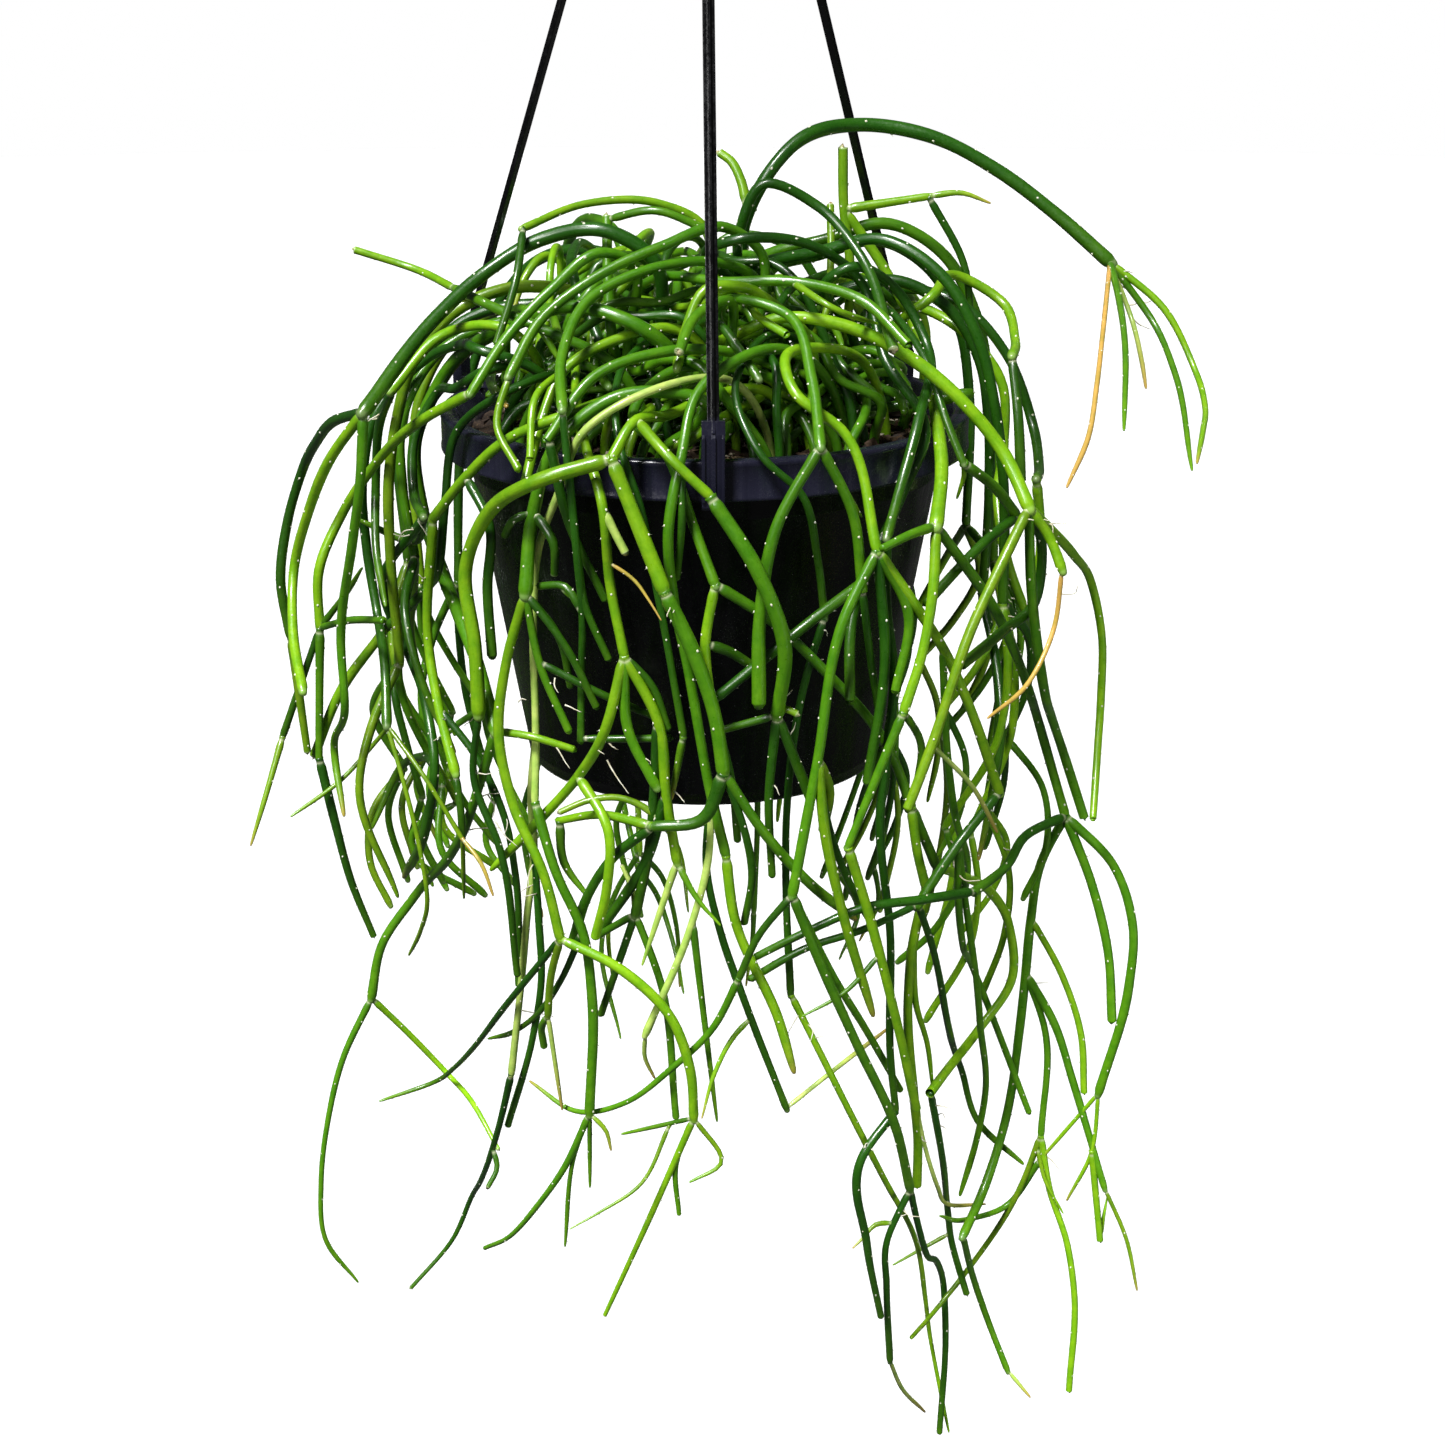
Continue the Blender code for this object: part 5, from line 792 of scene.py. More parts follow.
def thin_out(grown):
    """Drop the points of a shoot's lines that lie close to the straight way past them."""
    kept = [{0, len(piece["line"]) - 1} for piece in grown]
    for piece, mine in zip(grown, kept):
        if piece["parent"] is None:
            mine.add(1)
        else:
            piece["at"] %= len(grown[piece["parent"]]["line"])
            kept[piece["parent"]].add(piece["at"])
    orders = []
    for piece, mine in zip(grown, kept):
        order = sorted(mine)
        line = piece["line"]
        k = 0
        while k + 1 < len(order):
            first, last = order[k], order[k + 1]
            length = np.linalg.norm(line[last] - line[first])
            way = (line[last] - line[first]) / max(length, 1e-6)
            passed = line[first:last + 1] - line[first]
            off = np.linalg.norm(passed - np.outer(passed @ way, way), axis=1)
            if last - first > 1 and off.max() > LINE_SLACK:
                order.insert(k + 1, first + int(off.argmax()))
            elif last - first > 1 and length > LONGEST_STEP:
                order.insert(k + 1, (first + last) // 2)
            else:
                k += 1
        orders.append(order)
    for piece, order in zip(grown, orders):
        if piece["parent"] is not None:
            piece["at"] = orders[piece["parent"]].index(piece["at"])
        piece["line"] = piece["line"][order]


def thickness_at(piece):
    """Half thickness at each point of a branch's line, from its start to its end."""
    run = run_along(piece["line"])
    return piece["start"] + (piece["end"] - piece["start"]) * run / run[-1]


def nearest_on_edges(p, q, a, b):
    """Shares along edges p-q and a-b of their nearest points, worked out row by row."""
    d1, d2, r = q - p, b - a, p - a
    aa = np.maximum((d1 * d1).sum(1), 1e-9)
    ee = np.maximum((d2 * d2).sum(1), 1e-9)
    bb = (d1 * d2).sum(1)
    cc = (d1 * r).sum(1)
    ff = (d2 * r).sum(1)
    spread = aa * ee - bb * bb
    s = np.clip(np.where(spread > 1e-6, (bb * ff - cc * ee) / np.maximum(spread, 1e-6), 0.5), 0, 1)
    t = np.clip((bb * s + ff) / ee, 0, 1)
    s = np.clip((bb * t - cc) / aa, 0, 1)
    return s, t


def settle(shoots, rounds=160, still=0):
    """Bend the stems of different shoots clear of each other, the pot and the hanger."""
    points, half, shoot_of, held = [], [], [], []
    chains, glue = [], []
    for number, grown in enumerate(shoots):
        first_chain = len(chains)
        for piece in grown:
            start = len(points)
            line = piece["line"]
            chains.append((start, start + len(line)))
            widths = thickness_at(piece) * corner_factor(piece)
            for k, point in enumerate(line):
                points.append(point)
                half.append(widths[k])
                shoot_of.append(number)
                held.append(number < still or (piece["parent"] is None and k < 2))
            if piece["parent"] is not None:
                home = chains[first_chain + piece["parent"]]
                at = piece["at"] if piece["at"] >= 0 else home[1] - home[0] - 1
                glue.append((start, home[0] + at))
    free = len(points)
    for a, b, width in guard_edges():
        points += [a, b]
        half += [width, width]
        shoot_of += [-1, -1]
        held += [True, True]
    x = np.array(points)
    half = np.array(half)
    shoot_of = np.array(shoot_of)
    held = np.array(held)
    edges = [(i, i + 1) for start, end in chains for i in range(start, end - 1)]
    edges += [(i, i + 1) for i in range(free, len(points), 2)]
    e0 = np.array([e[0] for e in edges])
    e1 = np.array([e[1] for e in edges])
    owner = shoot_of[e0]
    apart_from = owner[:, None] != owner[None, :]
    apart_from &= np.arange(len(e0))[:, None] < np.arange(len(e0))[None, :]
    inner = np.zeros(len(x), bool)
    before = np.arange(len(x))
    after = np.arange(len(x))
    for start, end in chains:
        inner[start + 1:end - 1] = True
        before[start + 1:end] = np.arange(start, end - 1)
        after[start:end - 1] = np.arange(start + 1, end)
    inner &= ~held
    glue_child = np.array([g[0] for g in glue])
    glue_home = np.array([g[1] for g in glue])
    begun = x.copy()
    for step in range(rounds):
        middle = 0.5 * (x[e0] + x[e1])
        reach = 0.5 * np.linalg.norm(x[e1] - x[e0], axis=1) + half[e0] + 1.2
        near = np.abs(middle[:, None, 0] - middle[None, :, 0]) < reach[:, None] + reach[None, :]
        near &= np.abs(middle[:, None, 1] - middle[None, :, 1]) < reach[:, None] + reach[None, :]
        near &= np.abs(middle[:, None, 2] - middle[None, :, 2]) < reach[:, None] + reach[None, :]
        near &= apart_from
        one, two = np.nonzero(near)
        s, t = nearest_on_edges(x[e0[one]], x[e1[one]], x[e0[two]], x[e1[two]])
        here = x[e0[one]] * (1 - s)[:, None] + x[e1[one]] * s[:, None]
        there = x[e0[two]] * (1 - t)[:, None] + x[e1[two]] * t[:, None]
        apart = here - there
        distance = np.maximum(np.linalg.norm(apart, axis=1), 1e-4)
        need = (half[e0[one]] * (1 - s) + half[e1[one]] * s + half[e0[two]] * (1 - t)
                + half[e1[two]] * t + STEM_CLEAR)
        short = np.maximum(need - distance, 0.0)
        both_free = (owner[one] >= 0) & (owner[two] >= 0)
        push = apart / distance[:, None] * (short * np.where(both_free, 0.55, 1.1))[:, None]
        move = np.zeros_like(x)
        weight = np.zeros(len(x))
        for index, sign, part in ((e0[one], 1, 1 - s), (e1[one], 1, s),
                                  (e0[two], -1, 1 - t), (e1[two], -1, t)):
            part = part * (short > 0)
            for k in range(3):
                move[:, k] += np.bincount(index, sign * push[:, k] * part, len(x))
            weight += np.bincount(index, part * part, len(x))
        move /= np.maximum(weight, 0.5)[:, None]
        move[held] = 0.0
        x = x + np.clip(move, -2.5, 2.5)
        drift = x - begun
        even = 0.5 * drift + 0.25 * (drift[before] + drift[after])
        ease = 0.5 if step < rounds - 40 else 0.0
        x[inner] = begun[inner] + (1 - ease) * drift[inner] + ease * even[inner]
        x = keep_off_pot(x, half, held)
        x[glue_child] = x[glue_home]
    worst = float(short.max(initial=0.0)) - STEM_CLEAR
    print("closest stems overlap by", round(worst, 3), "mm after", rounds, "rounds")
    index = 0
    for grown in shoots:
        for piece in grown:
            count = len(piece["line"])
            piece["line"] = x[index:index + count].copy()
            index += count
    return shoots


def keep_off_pot(x, half, held):
    """Points moved out of the pot's wall, its rim and its filling."""
    x = x.copy()
    radius = np.maximum(np.hypot(x[:, 0], x[:, 1]), 1e-6)
    height = x[:, 2]
    below = (height < 1.0) & (height > -POT_HEIGHT - 6.0) & ~held
    wall = np.where(height > -24.0, RIM_RADIUS, WALL_TOP_RADIUS) + half + STEM_CLEAR
    out = below & (radius < wall) & (radius > 60.0)
    grow = np.where(out, wall / radius, 1.0)
    x[:, 0] *= grow
    x[:, 1] *= grow
    inside = (radius < 88.0) & (height < MIX_TOP + MIX_CROWN + half + 1.2) & (height > MIX_TOP - 30)
    inside &= ~held
    x[inside, 2] = (MIX_TOP + MIX_CROWN + half + 1.2)[inside]
    return x


def sides_of(piece):
    """Sides of a branch's faceted tube: fewer for finer branches."""
    if piece["start"] > MID + 0.1:
        return 5
    return 4 if piece["start"] > FINE + 0.1 else 3


def corner_factor(piece):
    """How much further out a polygon's corners lie than a round stem of the same section."""
    sides = sides_of(piece)
    return math.sqrt(2.0 * math.pi / (sides * math.sin(2.0 * math.pi / sides)))


def all_shoots():
    """Every shoot by name, traced ones first, settled clear of each other."""
    spots = root_spots(len(SHOOTS) + len(BACK_DIRECTIONS))
    draw = np.random.default_rng(SEED)
    shoots = {name: traced_lines(shoot, spots) for name, shoot in SHOOTS.items()}
    for number, degrees in enumerate(BACK_DIRECTIONS, 1):
        shoots[f"back_{number:02d}"] = back_lines(math.radians(degrees), draw, spots)
    settle(list(shoots.values()))
    for grown in shoots.values():
        thin_out(grown)
    settle(list(shoots.values()), 100)
    return shoots


def colour_setting(name, description, default):
    """A colour that the panel shows."""
    return FloatVectorProperty(name=name, description=description, subtype="COLOR", default=default)


def length_setting(name, description, default):
    """A length in metres that the panel shows."""
    return FloatProperty(name=name, description=description, unit="LENGTH", default=default)


class PotSettings(bpy.types.PropertyGroup):
    """Sizes and colours of the pot and what fills it."""
    sides: IntProperty(name="Sides", description="Sides of the turned pot", default=160, min=24)
    plastic: colour_setting("Plastic", "Colour of the pot and the hanger", (0.0010, 0.0010, 0.0014))
    bark: colour_setting("Bark", "Colour of the damp bark mix", (0.012, 0.007, 0.004))
    chips: IntProperty(name="Chips", description="Loose bark chips on the mix", default=900, min=0)
    chip_length: length_setting("Chip length", "Length of the longest chips", 0.009)
    lumps: length_setting("Lumps", "Height of the lumps of the mix's top", 0.0022)


class StemSettings(bpy.types.PropertyGroup):
    """Looks of the stems and of what grows on them."""
    sides: IntProperty(name="Sides", description="Sides of a stem", default=12, min=6)
    ring_step: length_setting("Ring step", "Length between a stem's rings", 0.0026)
    pinch: FloatProperty(name="Pinch", description="How much a joint's foot narrows",
                         default=0.20, subtype="FACTOR")
    wander: FloatProperty(name="Wander", description="How much a stem's thickness varies",
                          default=0.05, subtype="FACTOR")
    areole_gap: length_setting("Areole gap", "Length between areoles", 0.0088)
    areole_size: length_setting("Areole size", "Half width of an areole", 0.00036)
    dark: colour_setting("Dark", "Colour of old stems", (0.012, 0.070, 0.002))
    green: colour_setting("Green", "Colour of middling stems", (0.056, 0.185, 0.003))
    lime: colour_setting("Lime", "Colour of young stems", (0.160, 0.340, 0.005))
    olive: colour_setting("Olive", "Colour of thin young twigs", (0.130, 0.240, 0.006))
    pale: colour_setting("Pale", "Colour of bleached stems", (0.400, 0.520, 0.130))
    dry: colour_setting("Dry", "Colour of dying tips", (0.520, 0.300, 0.075))
    crown_stems: IntProperty(name="Crown stems", description="Low stems that cross over the mix",
                             default=125, min=0)
    cream: colour_setting("Cream", "Colour of joint rings and cut ends", (0.640, 0.660, 0.420))


class HangerSettings(bpy.types.PropertyGroup):
    """Sizes of the hanger's finer forms."""
    edge: length_setting("Edge", "Width of the moulded edges' rounding", 0.0003)
    rib: length_setting("Rib", "Height of a leg's rib over its web", 0.0013)


class StageSettings(bpy.types.PropertyGroup):
    """The floor, the lights and the camera."""
    floor_drop: length_setting("Floor drop", "Depth of the floor below the hook", 2.9)
    floor: colour_setting("Floor", "Colour of the floor", (0.93, 0.93, 0.93))
    key: FloatProperty(name="Key", description="Strength of the wide key light", default=5.0)
    window: FloatProperty(name="Window", description="Power of the window light", default=12.0)
    fill: FloatProperty(name="Fill", description="Power of the low light from the right", default=5.0)
    back: FloatProperty(name="Back", description="Power of the light from behind", default=28.0)
    sky: FloatProperty(name="Sky", description="Strength of the light all round", default=0.06)
    lens: FloatProperty(name="Lens", description="Focal length in millimetres",
                        default=36.0 * EYE_FOCAL / (2.0 * EYE_MIDDLE))


def in_metres(points):
    """Points moved to the hook's bearing point as origin, in metres."""
    return (np.atleast_2d(np.asarray(points, float)) - np.array((0.0, 0.0, HOOK_BEARING))) * 0.001


def unit(way):
    """A way of length one."""
    return way / max(np.linalg.norm(way), 1e-9)


@cache
def grown_shoots():
    """The settled middle lines of all shoots, worked out once."""
    return all_shoots()


class Form:
    """Points, faces and point colours of a mesh that is being put together."""

    def __init__(self):
        self.points, self.faces, self.layers, self.count = [], [], {}, 0

    def add(self, points, faces, **layers):
        """Adds points in millimetres, faces on them, and a value of each layer for each point."""
        points = np.asarray(points, float).reshape(-1, 3)
        self.points.append(points)
        self.faces += [[self.count + k for k in face] for face in faces]
        self.count += len(points)
        for name, values in layers.items():
            values = np.broadcast_to(np.asarray(values, float), (len(points), 3))
            self.layers.setdefault(name, []).append(values)

    def object(self, name, material, smooth=True):
        """The finished mesh as an object that rides on the root body."""
        mesh = bpy.data.meshes.new(name)
        mesh.from_pydata(in_metres(np.vstack(self.points)).tolist(), [], self.faces)
        mesh.polygons.foreach_set("use_smooth", [smooth] * len(mesh.polygons))
        for layer, values in self.layers.items():
            colours = np.ones((self.count, 4))
            colours[:, :3] = np.vstack(values)
            attribute = mesh.color_attributes.new(layer, "FLOAT_COLOR", "POINT")
            attribute.data.foreach_set("color", colours.ravel())
        mesh.update()
        mesh.materials.append(material)
        piece = bpy.data.objects.new(name, mesh)
        bpy.context.scene.collection.objects.link(piece)
        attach(piece, "root")
        return piece


def swept(line, radii, sides, turn=0.0):
    """Rings of points round a line, the faces between them, and the rings' two cross ways."""
    step = np.diff(line, axis=0)
    step /= np.maximum(np.linalg.norm(step, axis=1), 1e-9)[:, None]
    ways = np.vstack((step[:1], step[:-1] + step[1:], step[-1:]))
    ways /= np.linalg.norm(ways, axis=1)[:, None]
    normal = np.cross(ways[0], np.eye(3)[int(np.argmin(np.abs(ways[0])))])
    normals = []
    for way in ways:
        normal = unit(normal - way * (normal @ way))
        normals.append(normal)
    normals = np.array(normals)
    others = np.cross(ways, normals)
    angle = turn + 2.0 * math.pi * np.arange(sides) / sides
    spokes = (np.cos(angle)[None, :, None] * normals[:, None, :]
              + np.sin(angle)[None, :, None] * others[:, None, :])
    points = line[:, None, :] + spokes * np.asarray(radii)[:, None, None]
    faces = [list(range(sides - 1, -1, -1))]
    for ring in range(len(line) - 1):
        a, b = ring * sides, (ring + 1) * sides
        faces += [[a + k, a + (k + 1) % sides, b + (k + 1) % sides, b + k] for k in range(sides)]
    faces.append(list(range((len(line) - 1) * sides, len(line) * sides)))
    return points, faces, (ways, normals, others)


def turned_form(profile, sides):
    """A form turned about the upright axis from a closed profile of radius and height."""
    form = Form()
    points, rings = [], []
    for radius, height in profile:
        if radius < 1e-6:
            rings.append([len(points)] * sides)
            points.append((0.0, 0.0, height))
            continue
        rings.append(list(range(len(points), len(points) + sides)))
        points += [turn_about(2.0 * math.pi * k / sides, radius, height) for k in range(sides)]
    faces = []
    for low, high in zip(rings, rings[1:] + rings[:1]):
        for k in range(sides):
            face = list(dict.fromkeys([low[k], low[(k + 1) % sides], high[(k + 1) % sides], high[k]]))
            if len(face) > 2:
                faces.append(face)
    form.add(points, faces)
    return form


def add_prism(form, outline, thickness, place_point):
    """Adds a flat outline pushed to both sides of its plane."""
    count = len(outline)
    points = [place_point(u, v, side * thickness / 2.0) for side in (-1, 1) for u, v in outline]
    faces = [list(range(count)), list(range(2 * count - 1, count - 1, -1))]
    faces += [[k, (k + 1) % count, count + (k + 1) % count, count + k] for k in range(count)]
    form.add(points, faces)


def face_out(piece):
    """Turns all faces of a piece outwards."""
    work = bmesh.new()
    work.from_mesh(piece.data)
    bmesh.ops.recalc_face_normals(work, faces=work.faces)
    work.to_mesh(piece.data)
    work.free()


def round_edges(piece, width):
    """Rounds a piece's sharp edges as a mould leaves them."""
    bevel = piece.modifiers.new("moulded_edges", "BEVEL")
    bevel.width = width
    bevel.segments = 2
    bevel.limit_method = "ANGLE"
    bevel.angle_limit = SHARP_ANGLE
    bevel.harden_normals = False


class Finish:
    """A material that is put together from nodes."""

    def __init__(self, name):
        self.material = bpy.data.materials.new(name)
        self.material.use_nodes = True
        self.tree = self.material.node_tree
        self.shader = self.tree.nodes["Principled BSDF"]

    def node(self, kind, inputs=None, **settings):
        """Adds a node, sets its own settings, and links or sets its inputs."""
        made = self.tree.nodes.new(kind)
        for name, value in settings.items():
            setattr(made, name, value)
        for name, value in (inputs or {}).items():
            if isinstance(value, bpy.types.NodeSocket):
                self.tree.links.new(value, made.inputs[name])
            else:
                made.inputs[name].default_value = value
        return made

    def set(self, **values):
        """Sets or links the shader's own sockets."""
        for name, value in values.items():
            socket = self.shader.inputs[name.replace("_", " ")]
            if isinstance(value, bpy.types.NodeSocket):
                self.tree.links.new(value, socket)
            else:
                socket.default_value = value

    def mix(self, share, first, second, blend="MIX"):
        """Two colours mixed by a share."""
        made = self.node("ShaderNodeMix", data_type="RGBA", blend_type=blend)
        for socket, value in ((made.inputs[0], share), (made.inputs[6], first), (made.inputs[7], second)):
            if isinstance(value, bpy.types.NodeSocket):
                self.tree.links.new(value, socket)
            elif socket.type == "RGBA":
                socket.default_value = (*value, 1.0) if len(value) == 3 else value
            else:
                socket.default_value = value
        return made.outputs[2]

    def maths(self, operation, first, second=0.0, clamp=False):
        """Two values put together by one of the node's operations."""
        made = self.node("ShaderNodeMath", operation=operation, use_clamp=clamp)
        for socket, value in zip(made.inputs, (first, second)):
            if isinstance(value, bpy.types.NodeSocket):
                self.tree.links.new(value, socket)
            else:
                socket.default_value = value
        return made.outputs[0]

    def scaled(self, value, low, high, to_low, to_high):
        """A value moved from one range to another and held inside it."""
        return self.node("ShaderNodeMapRange", {"Value": value, "From Min": low, "From Max": high,
                                                "To Min": to_low, "To Max": to_high}).outputs[0]

    def noise(self, vector, scale, detail=3.0, roughness=0.55):
        """Cloudy noise from 0 to 1."""
        inputs = {"Scale": scale, "Detail": detail, "Roughness": roughness, "Vector": vector}
        return self.node("ShaderNodeTexNoise", inputs).outputs["Fac"]

    def place(self, stretch=(1.0, 1.0, 1.0)):
        """Object coordinates, stretched."""
        where = self.node("ShaderNodeTexCoord").outputs["Object"]
        return self.node("ShaderNodeMapping", {"Vector": where, "Scale": stretch}).outputs[0]

    def bump(self, height, strength, depth):
        """Bump from a height, which goes to the shader's normal."""
        made = self.node("ShaderNodeBump", {"Height": height, "Strength": strength, "Distance": depth})
        self.set(Normal=made.outputs[0])


def waxy_skin():
    """The stems' skin: mottled green with fine lengthwise grain, pale rings and dry tips."""
    looks = bpy.context.scene.cactus_stems
    finish = Finish("waxy_skin")
    skin = finish.node("ShaderNodeAttribute", attribute_name="skin").outputs["Color"]
    marks = finish.node("ShaderNodeAttribute", attribute_name="marks").outputs["Color"]
    grain = finish.node("ShaderNodeAttribute", attribute_name="grain").outputs["Vector"]
    parts = finish.node("ShaderNodeSeparateColor", {"Color": marks})
    ring, cut, dry = parts.outputs[0], parts.outputs[1], parts.outputs[2]
    where = finish.place()
    cloud = finish.noise(where, 160.0, 2.0)
    mottle = finish.noise(where, 900.0, 3.0)
    streak = finish.noise(grain, 3.0, 3.0)
    pores = finish.node("ShaderNodeTexVoronoi", {"Vector": where, "Scale": 1500.0}).outputs["Distance"]
    pore = finish.scaled(pores, 0.10, 0.24, 1.0, 0.0)
    colour = finish.mix(finish.scaled(cloud, 0.35, 0.65, 0.0, 0.7), skin, (0.5, 0.72, 0.4), "MULTIPLY")
    colour = finish.mix(finish.scaled(mottle, 0.3, 0.7, 0.0, 0.35), colour, (1.45, 1.30, 1.1), "MULTIPLY")
    colour = finish.mix(finish.scaled(streak, 0.45, 0.75, 0.0, 0.30), colour, (1.6, 1.4, 1.1), "MULTIPLY")
    colour = finish.mix(finish.maths("MULTIPLY", pore, 0.05), colour, (0.50, 0.66, 0.24))
    colour = finish.mix(finish.maths("MULTIPLY", dry, finish.scaled(mottle, 0.2, 0.6, 0.7, 1.0)), colour,
                        tuple(looks.dry))
    colour = finish.mix(ring, colour, tuple(looks.cream))
    pith = finish.mix(finish.scaled(mottle, 0.4, 0.6, 0.0, 1.0), (0.30, 0.20, 0.08), (0.66, 0.60, 0.38))
    colour = finish.mix(cut, colour, pith)
    rough = finish.scaled(mottle, 0.3, 0.7, 0.26, 0.42)
    rough = finish.maths("ADD", rough, finish.maths("MULTIPLY", finish.maths("ADD", ring, cut), 0.3), True)
    finish.set(Base_Color=colour, Roughness=rough, Specular_IOR_Level=0.5, Coat_Weight=0.45,
               Coat_Roughness=0.13)
    relief = finish.maths("ADD", finish.maths("MULTIPLY", streak, 0.8),
                          finish.maths("MULTIPLY", mottle, 0.35))
    finish.bump(relief, 0.50, 0.0003)
    return finish.material


def woolly_white():
    """The areoles' felt."""
    finish = Finish("areole_wool")
    spots = finish.noise(finish.place(), 1400.0, 2.0)
    colour = finish.mix(finish.scaled(spots, 0.35, 0.65, 0.0, 1.0), (0.62, 0.60, 0.42), (0.86, 0.87, 0.76))
    finish.set(Base_Color=colour, Roughness=0.85)
    finish.bump(spots, 0.4, 0.0002)
    return finish.material


def root_white():
    """The aerial roots' papery skin."""
    finish = Finish("aerial_root_skin")
    spots = finish.noise(finish.place(), 500.0, 3.0)
    colour = finish.mix(finish.scaled(spots, 0.4, 0.7, 0.0, 1.0), (0.72, 0.70, 0.58), (0.50, 0.44, 0.28))
    finish.set(Base_Color=colour, Roughness=0.75)
    finish.bump(spots, 0.3, 0.0002)
    return finish.material


def black_plastic(name, streaks, low, high):
    """Glossy black moulded plastic, with a painted bluish reflection in strips from one height to another,
    and dusty.
    """
    finish = Finish(name)
    height = finish.node("ShaderNodeSeparateXYZ", {"Vector": finish.place()}).outputs["Z"]
    # Painted reflection: the band between the two heights is marked for a bluish sheen painted into the
    # colour
    painted_reflection_band = finish.maths("MULTIPLY", finish.scaled(height, low - 0.0004, low, 0.0, 1.0),
                        finish.scaled(height, high, high + 0.002, 1.0, 0.0))
    flow = finish.noise(finish.place((1.0, 1.0, 0.03)), 240.0, 4.0)
    dust = finish.noise(finish.place(), 700.0, 4.0)
    specks = finish.node("ShaderNodeTexVoronoi", {"Vector": finish.place(), "Scale": 330.0})
    speck = finish.scaled(specks.outputs["Distance"], 0.045, 0.075, 1.0, 0.0)
    plastic = tuple(bpy.context.scene.cactus_pot.plastic)
    colour = finish.mix(finish.scaled(flow, 0.5, 0.75, 0.0, 0.5), plastic, (0.004, 0.004, 0.006))
    # Painted reflection: bluish strips of sheen on the band between the two heights
    colour = finish.mix(painted_reflection_band, colour, finish.mix(flow, (0.004, 0.004, 0.010), (0.018, 0.018, 0.034)))
    colour = finish.mix(finish.scaled(dust, 0.60, 0.78, 0.0, 0.06), colour, (0.07, 0.07, 0.09))
    colour = finish.mix(finish.maths("MULTIPLY", speck, 0.12), colour, (0.25, 0.25, 0.28))
    finish.set(Base_Color=colour, Specular_IOR_Level=0.5,
               Roughness=finish.scaled(finish.maths("ADD", flow, dust), 0.8, 1.2, 0.16, 0.32))
    finish.bump(finish.maths("ADD", flow, finish.maths("MULTIPLY", dust, 0.3)), streaks, 0.0006)
    return finish.material


def damp_bark():
    """The potting mix: dark crumbs with paler fibres."""
    finish = Finish("damp_bark_mix")
    crumbs = finish.noise(finish.place(), 260.0, 6.0, 0.7)
    fibres = finish.noise(finish.place((1.0, 0.25, 1.0)), 900.0, 4.0)
    bark = tuple(bpy.context.scene.cactus_pot.bark)
    colour = finish.mix(finish.scaled(crumbs, 0.40, 0.66, 0.0, 1.0), bark, (0.075, 0.042, 0.022))
    colour = finish.mix(finish.scaled(fibres, 0.60, 0.74, 0.0, 0.7), colour, (0.26, 0.17, 0.09))
    finish.set(Base_Color=colour, Roughness=finish.scaled(crumbs, 0.3, 0.7, 0.70, 0.98))
    finish.bump(finish.maths("ADD", crumbs, fibres), 0.8, 0.002)
    return finish.material


def chip_bark():
    """The loose chips, each with a colour of its own."""
    finish = Finish("bark_chip")
    tint = finish.node("ShaderNodeAttribute", attribute_name="tint").outputs["Color"]
    grain = finish.noise(finish.place((1.0, 0.2, 1.0)), 1100.0, 4.0)
    colour = finish.mix(finish.scaled(grain, 0.35, 0.7, 0.0, 0.7), tint, (0.45, 0.38, 0.32), "MULTIPLY")
    finish.set(Base_Color=colour, Roughness=0.88)
    finish.bump(grain, 0.6, 0.0006)
    return finish.material


# Angle in radians over which an edge counts as sharp, and about a full turn for chance turns
SHARP_ANGLE = 0.6
ANY_TURN = 6.28

# Where a joint's notch and ring need closer points, from a branch's foot and back from its end
FOOT_RINGS = (0.9, 1.5, 1.9, 2.3, 3.2, 4.4)
END_RINGS = (0.4, 0.9, 1.7)

# Rings of a stem's closed end: how far out and how wide, in half thicknesses. Open fault: the cut
# cap's last ring steps back, so the ring before it loses its direction and the end is crumpled.
CUT_CAP = ((0.15, 0.96), (0.20, 0.82), (0.05, 0.4))
ROUND_CAP = ((0.40, 0.92), (0.72, 0.72), (0.93, 0.42), (1.0, 0.14))

# Colour factor of young stems, and the middle and half width of a joint's pale ring
YOUNG = 1.15
RING_AT = 1.9
RING_HALF = 0.45

# Chances are drawn from these, one for each kind of growth
SHOOT_SEED = 91
CROWN_SEED = 63
TWIG_SEED = 17
ROOT_SEED = 29
CHIP_SEED = 5

# The low stems' roots and lines stay inside these radii
CROWN_ROOTS = 80.0
CROWN_REACH = 88.0


def tone_of(name):
    """A stem colour by its name."""
    return np.array(getattr(bpy.context.scene.cactus_stems, name))


def stem_course(grown, index):
    """A branch's smooth middle line, begun inside the branch that it grows from."""
    piece = grown[index]
    line = piece["line"].copy()
    if piece["parent"] is not None:
        home = grown[piece["parent"]]
        at = piece["at"] if piece["at"] >= 0 else len(home["line"]) - 1
        back = unit(home["line"][at] - home["line"][at - 1])
        line[0] = home["line"][at] - 0.9 * back
    return smooth_line(line, bpy.context.scene.cactus_stems.ring_step * 1000.0)


def stem_girth(piece, run, draw):
    """Half thickness along a branch, pinched at its foot and drawn in at its tip."""
    looks = bpy.context.scene.cactus_stems
    left = run[-1] - run
    radii = piece["start"] + (piece["end"] - piece["start"]) * run / run[-1]
    waves = draw.uniform(0.0, ANY_TURN, 3)
    radii *= 1.0 + looks.wander * (0.6 * np.sin(run / 17.0 + waves[0])
                                   + 0.4 * np.sin(run / 6.1 + waves[1]))
    if piece["parent"] is not None:
        radii *= 1.0 - looks.pinch * np.exp(-((run - 1.7) / 1.5) ** 2)
        radii *= 1.0 + 0.05 * np.exp(-((run - 4.5) / 1.6) ** 2)
    if piece["finish"] == "joint":
        radii *= 1.0 + 0.06 * np.exp(-((left - 3.0) / 3.0) ** 2) - 0.20 * np.exp(-(left / 1.5) ** 2)
    if piece["finish"] == "tip":
        radii *= 0.42 + 0.58 * np.sqrt(np.clip(left / min(16.0, 0.6 * run[-1]), 0.0, 1.0))
    return radii


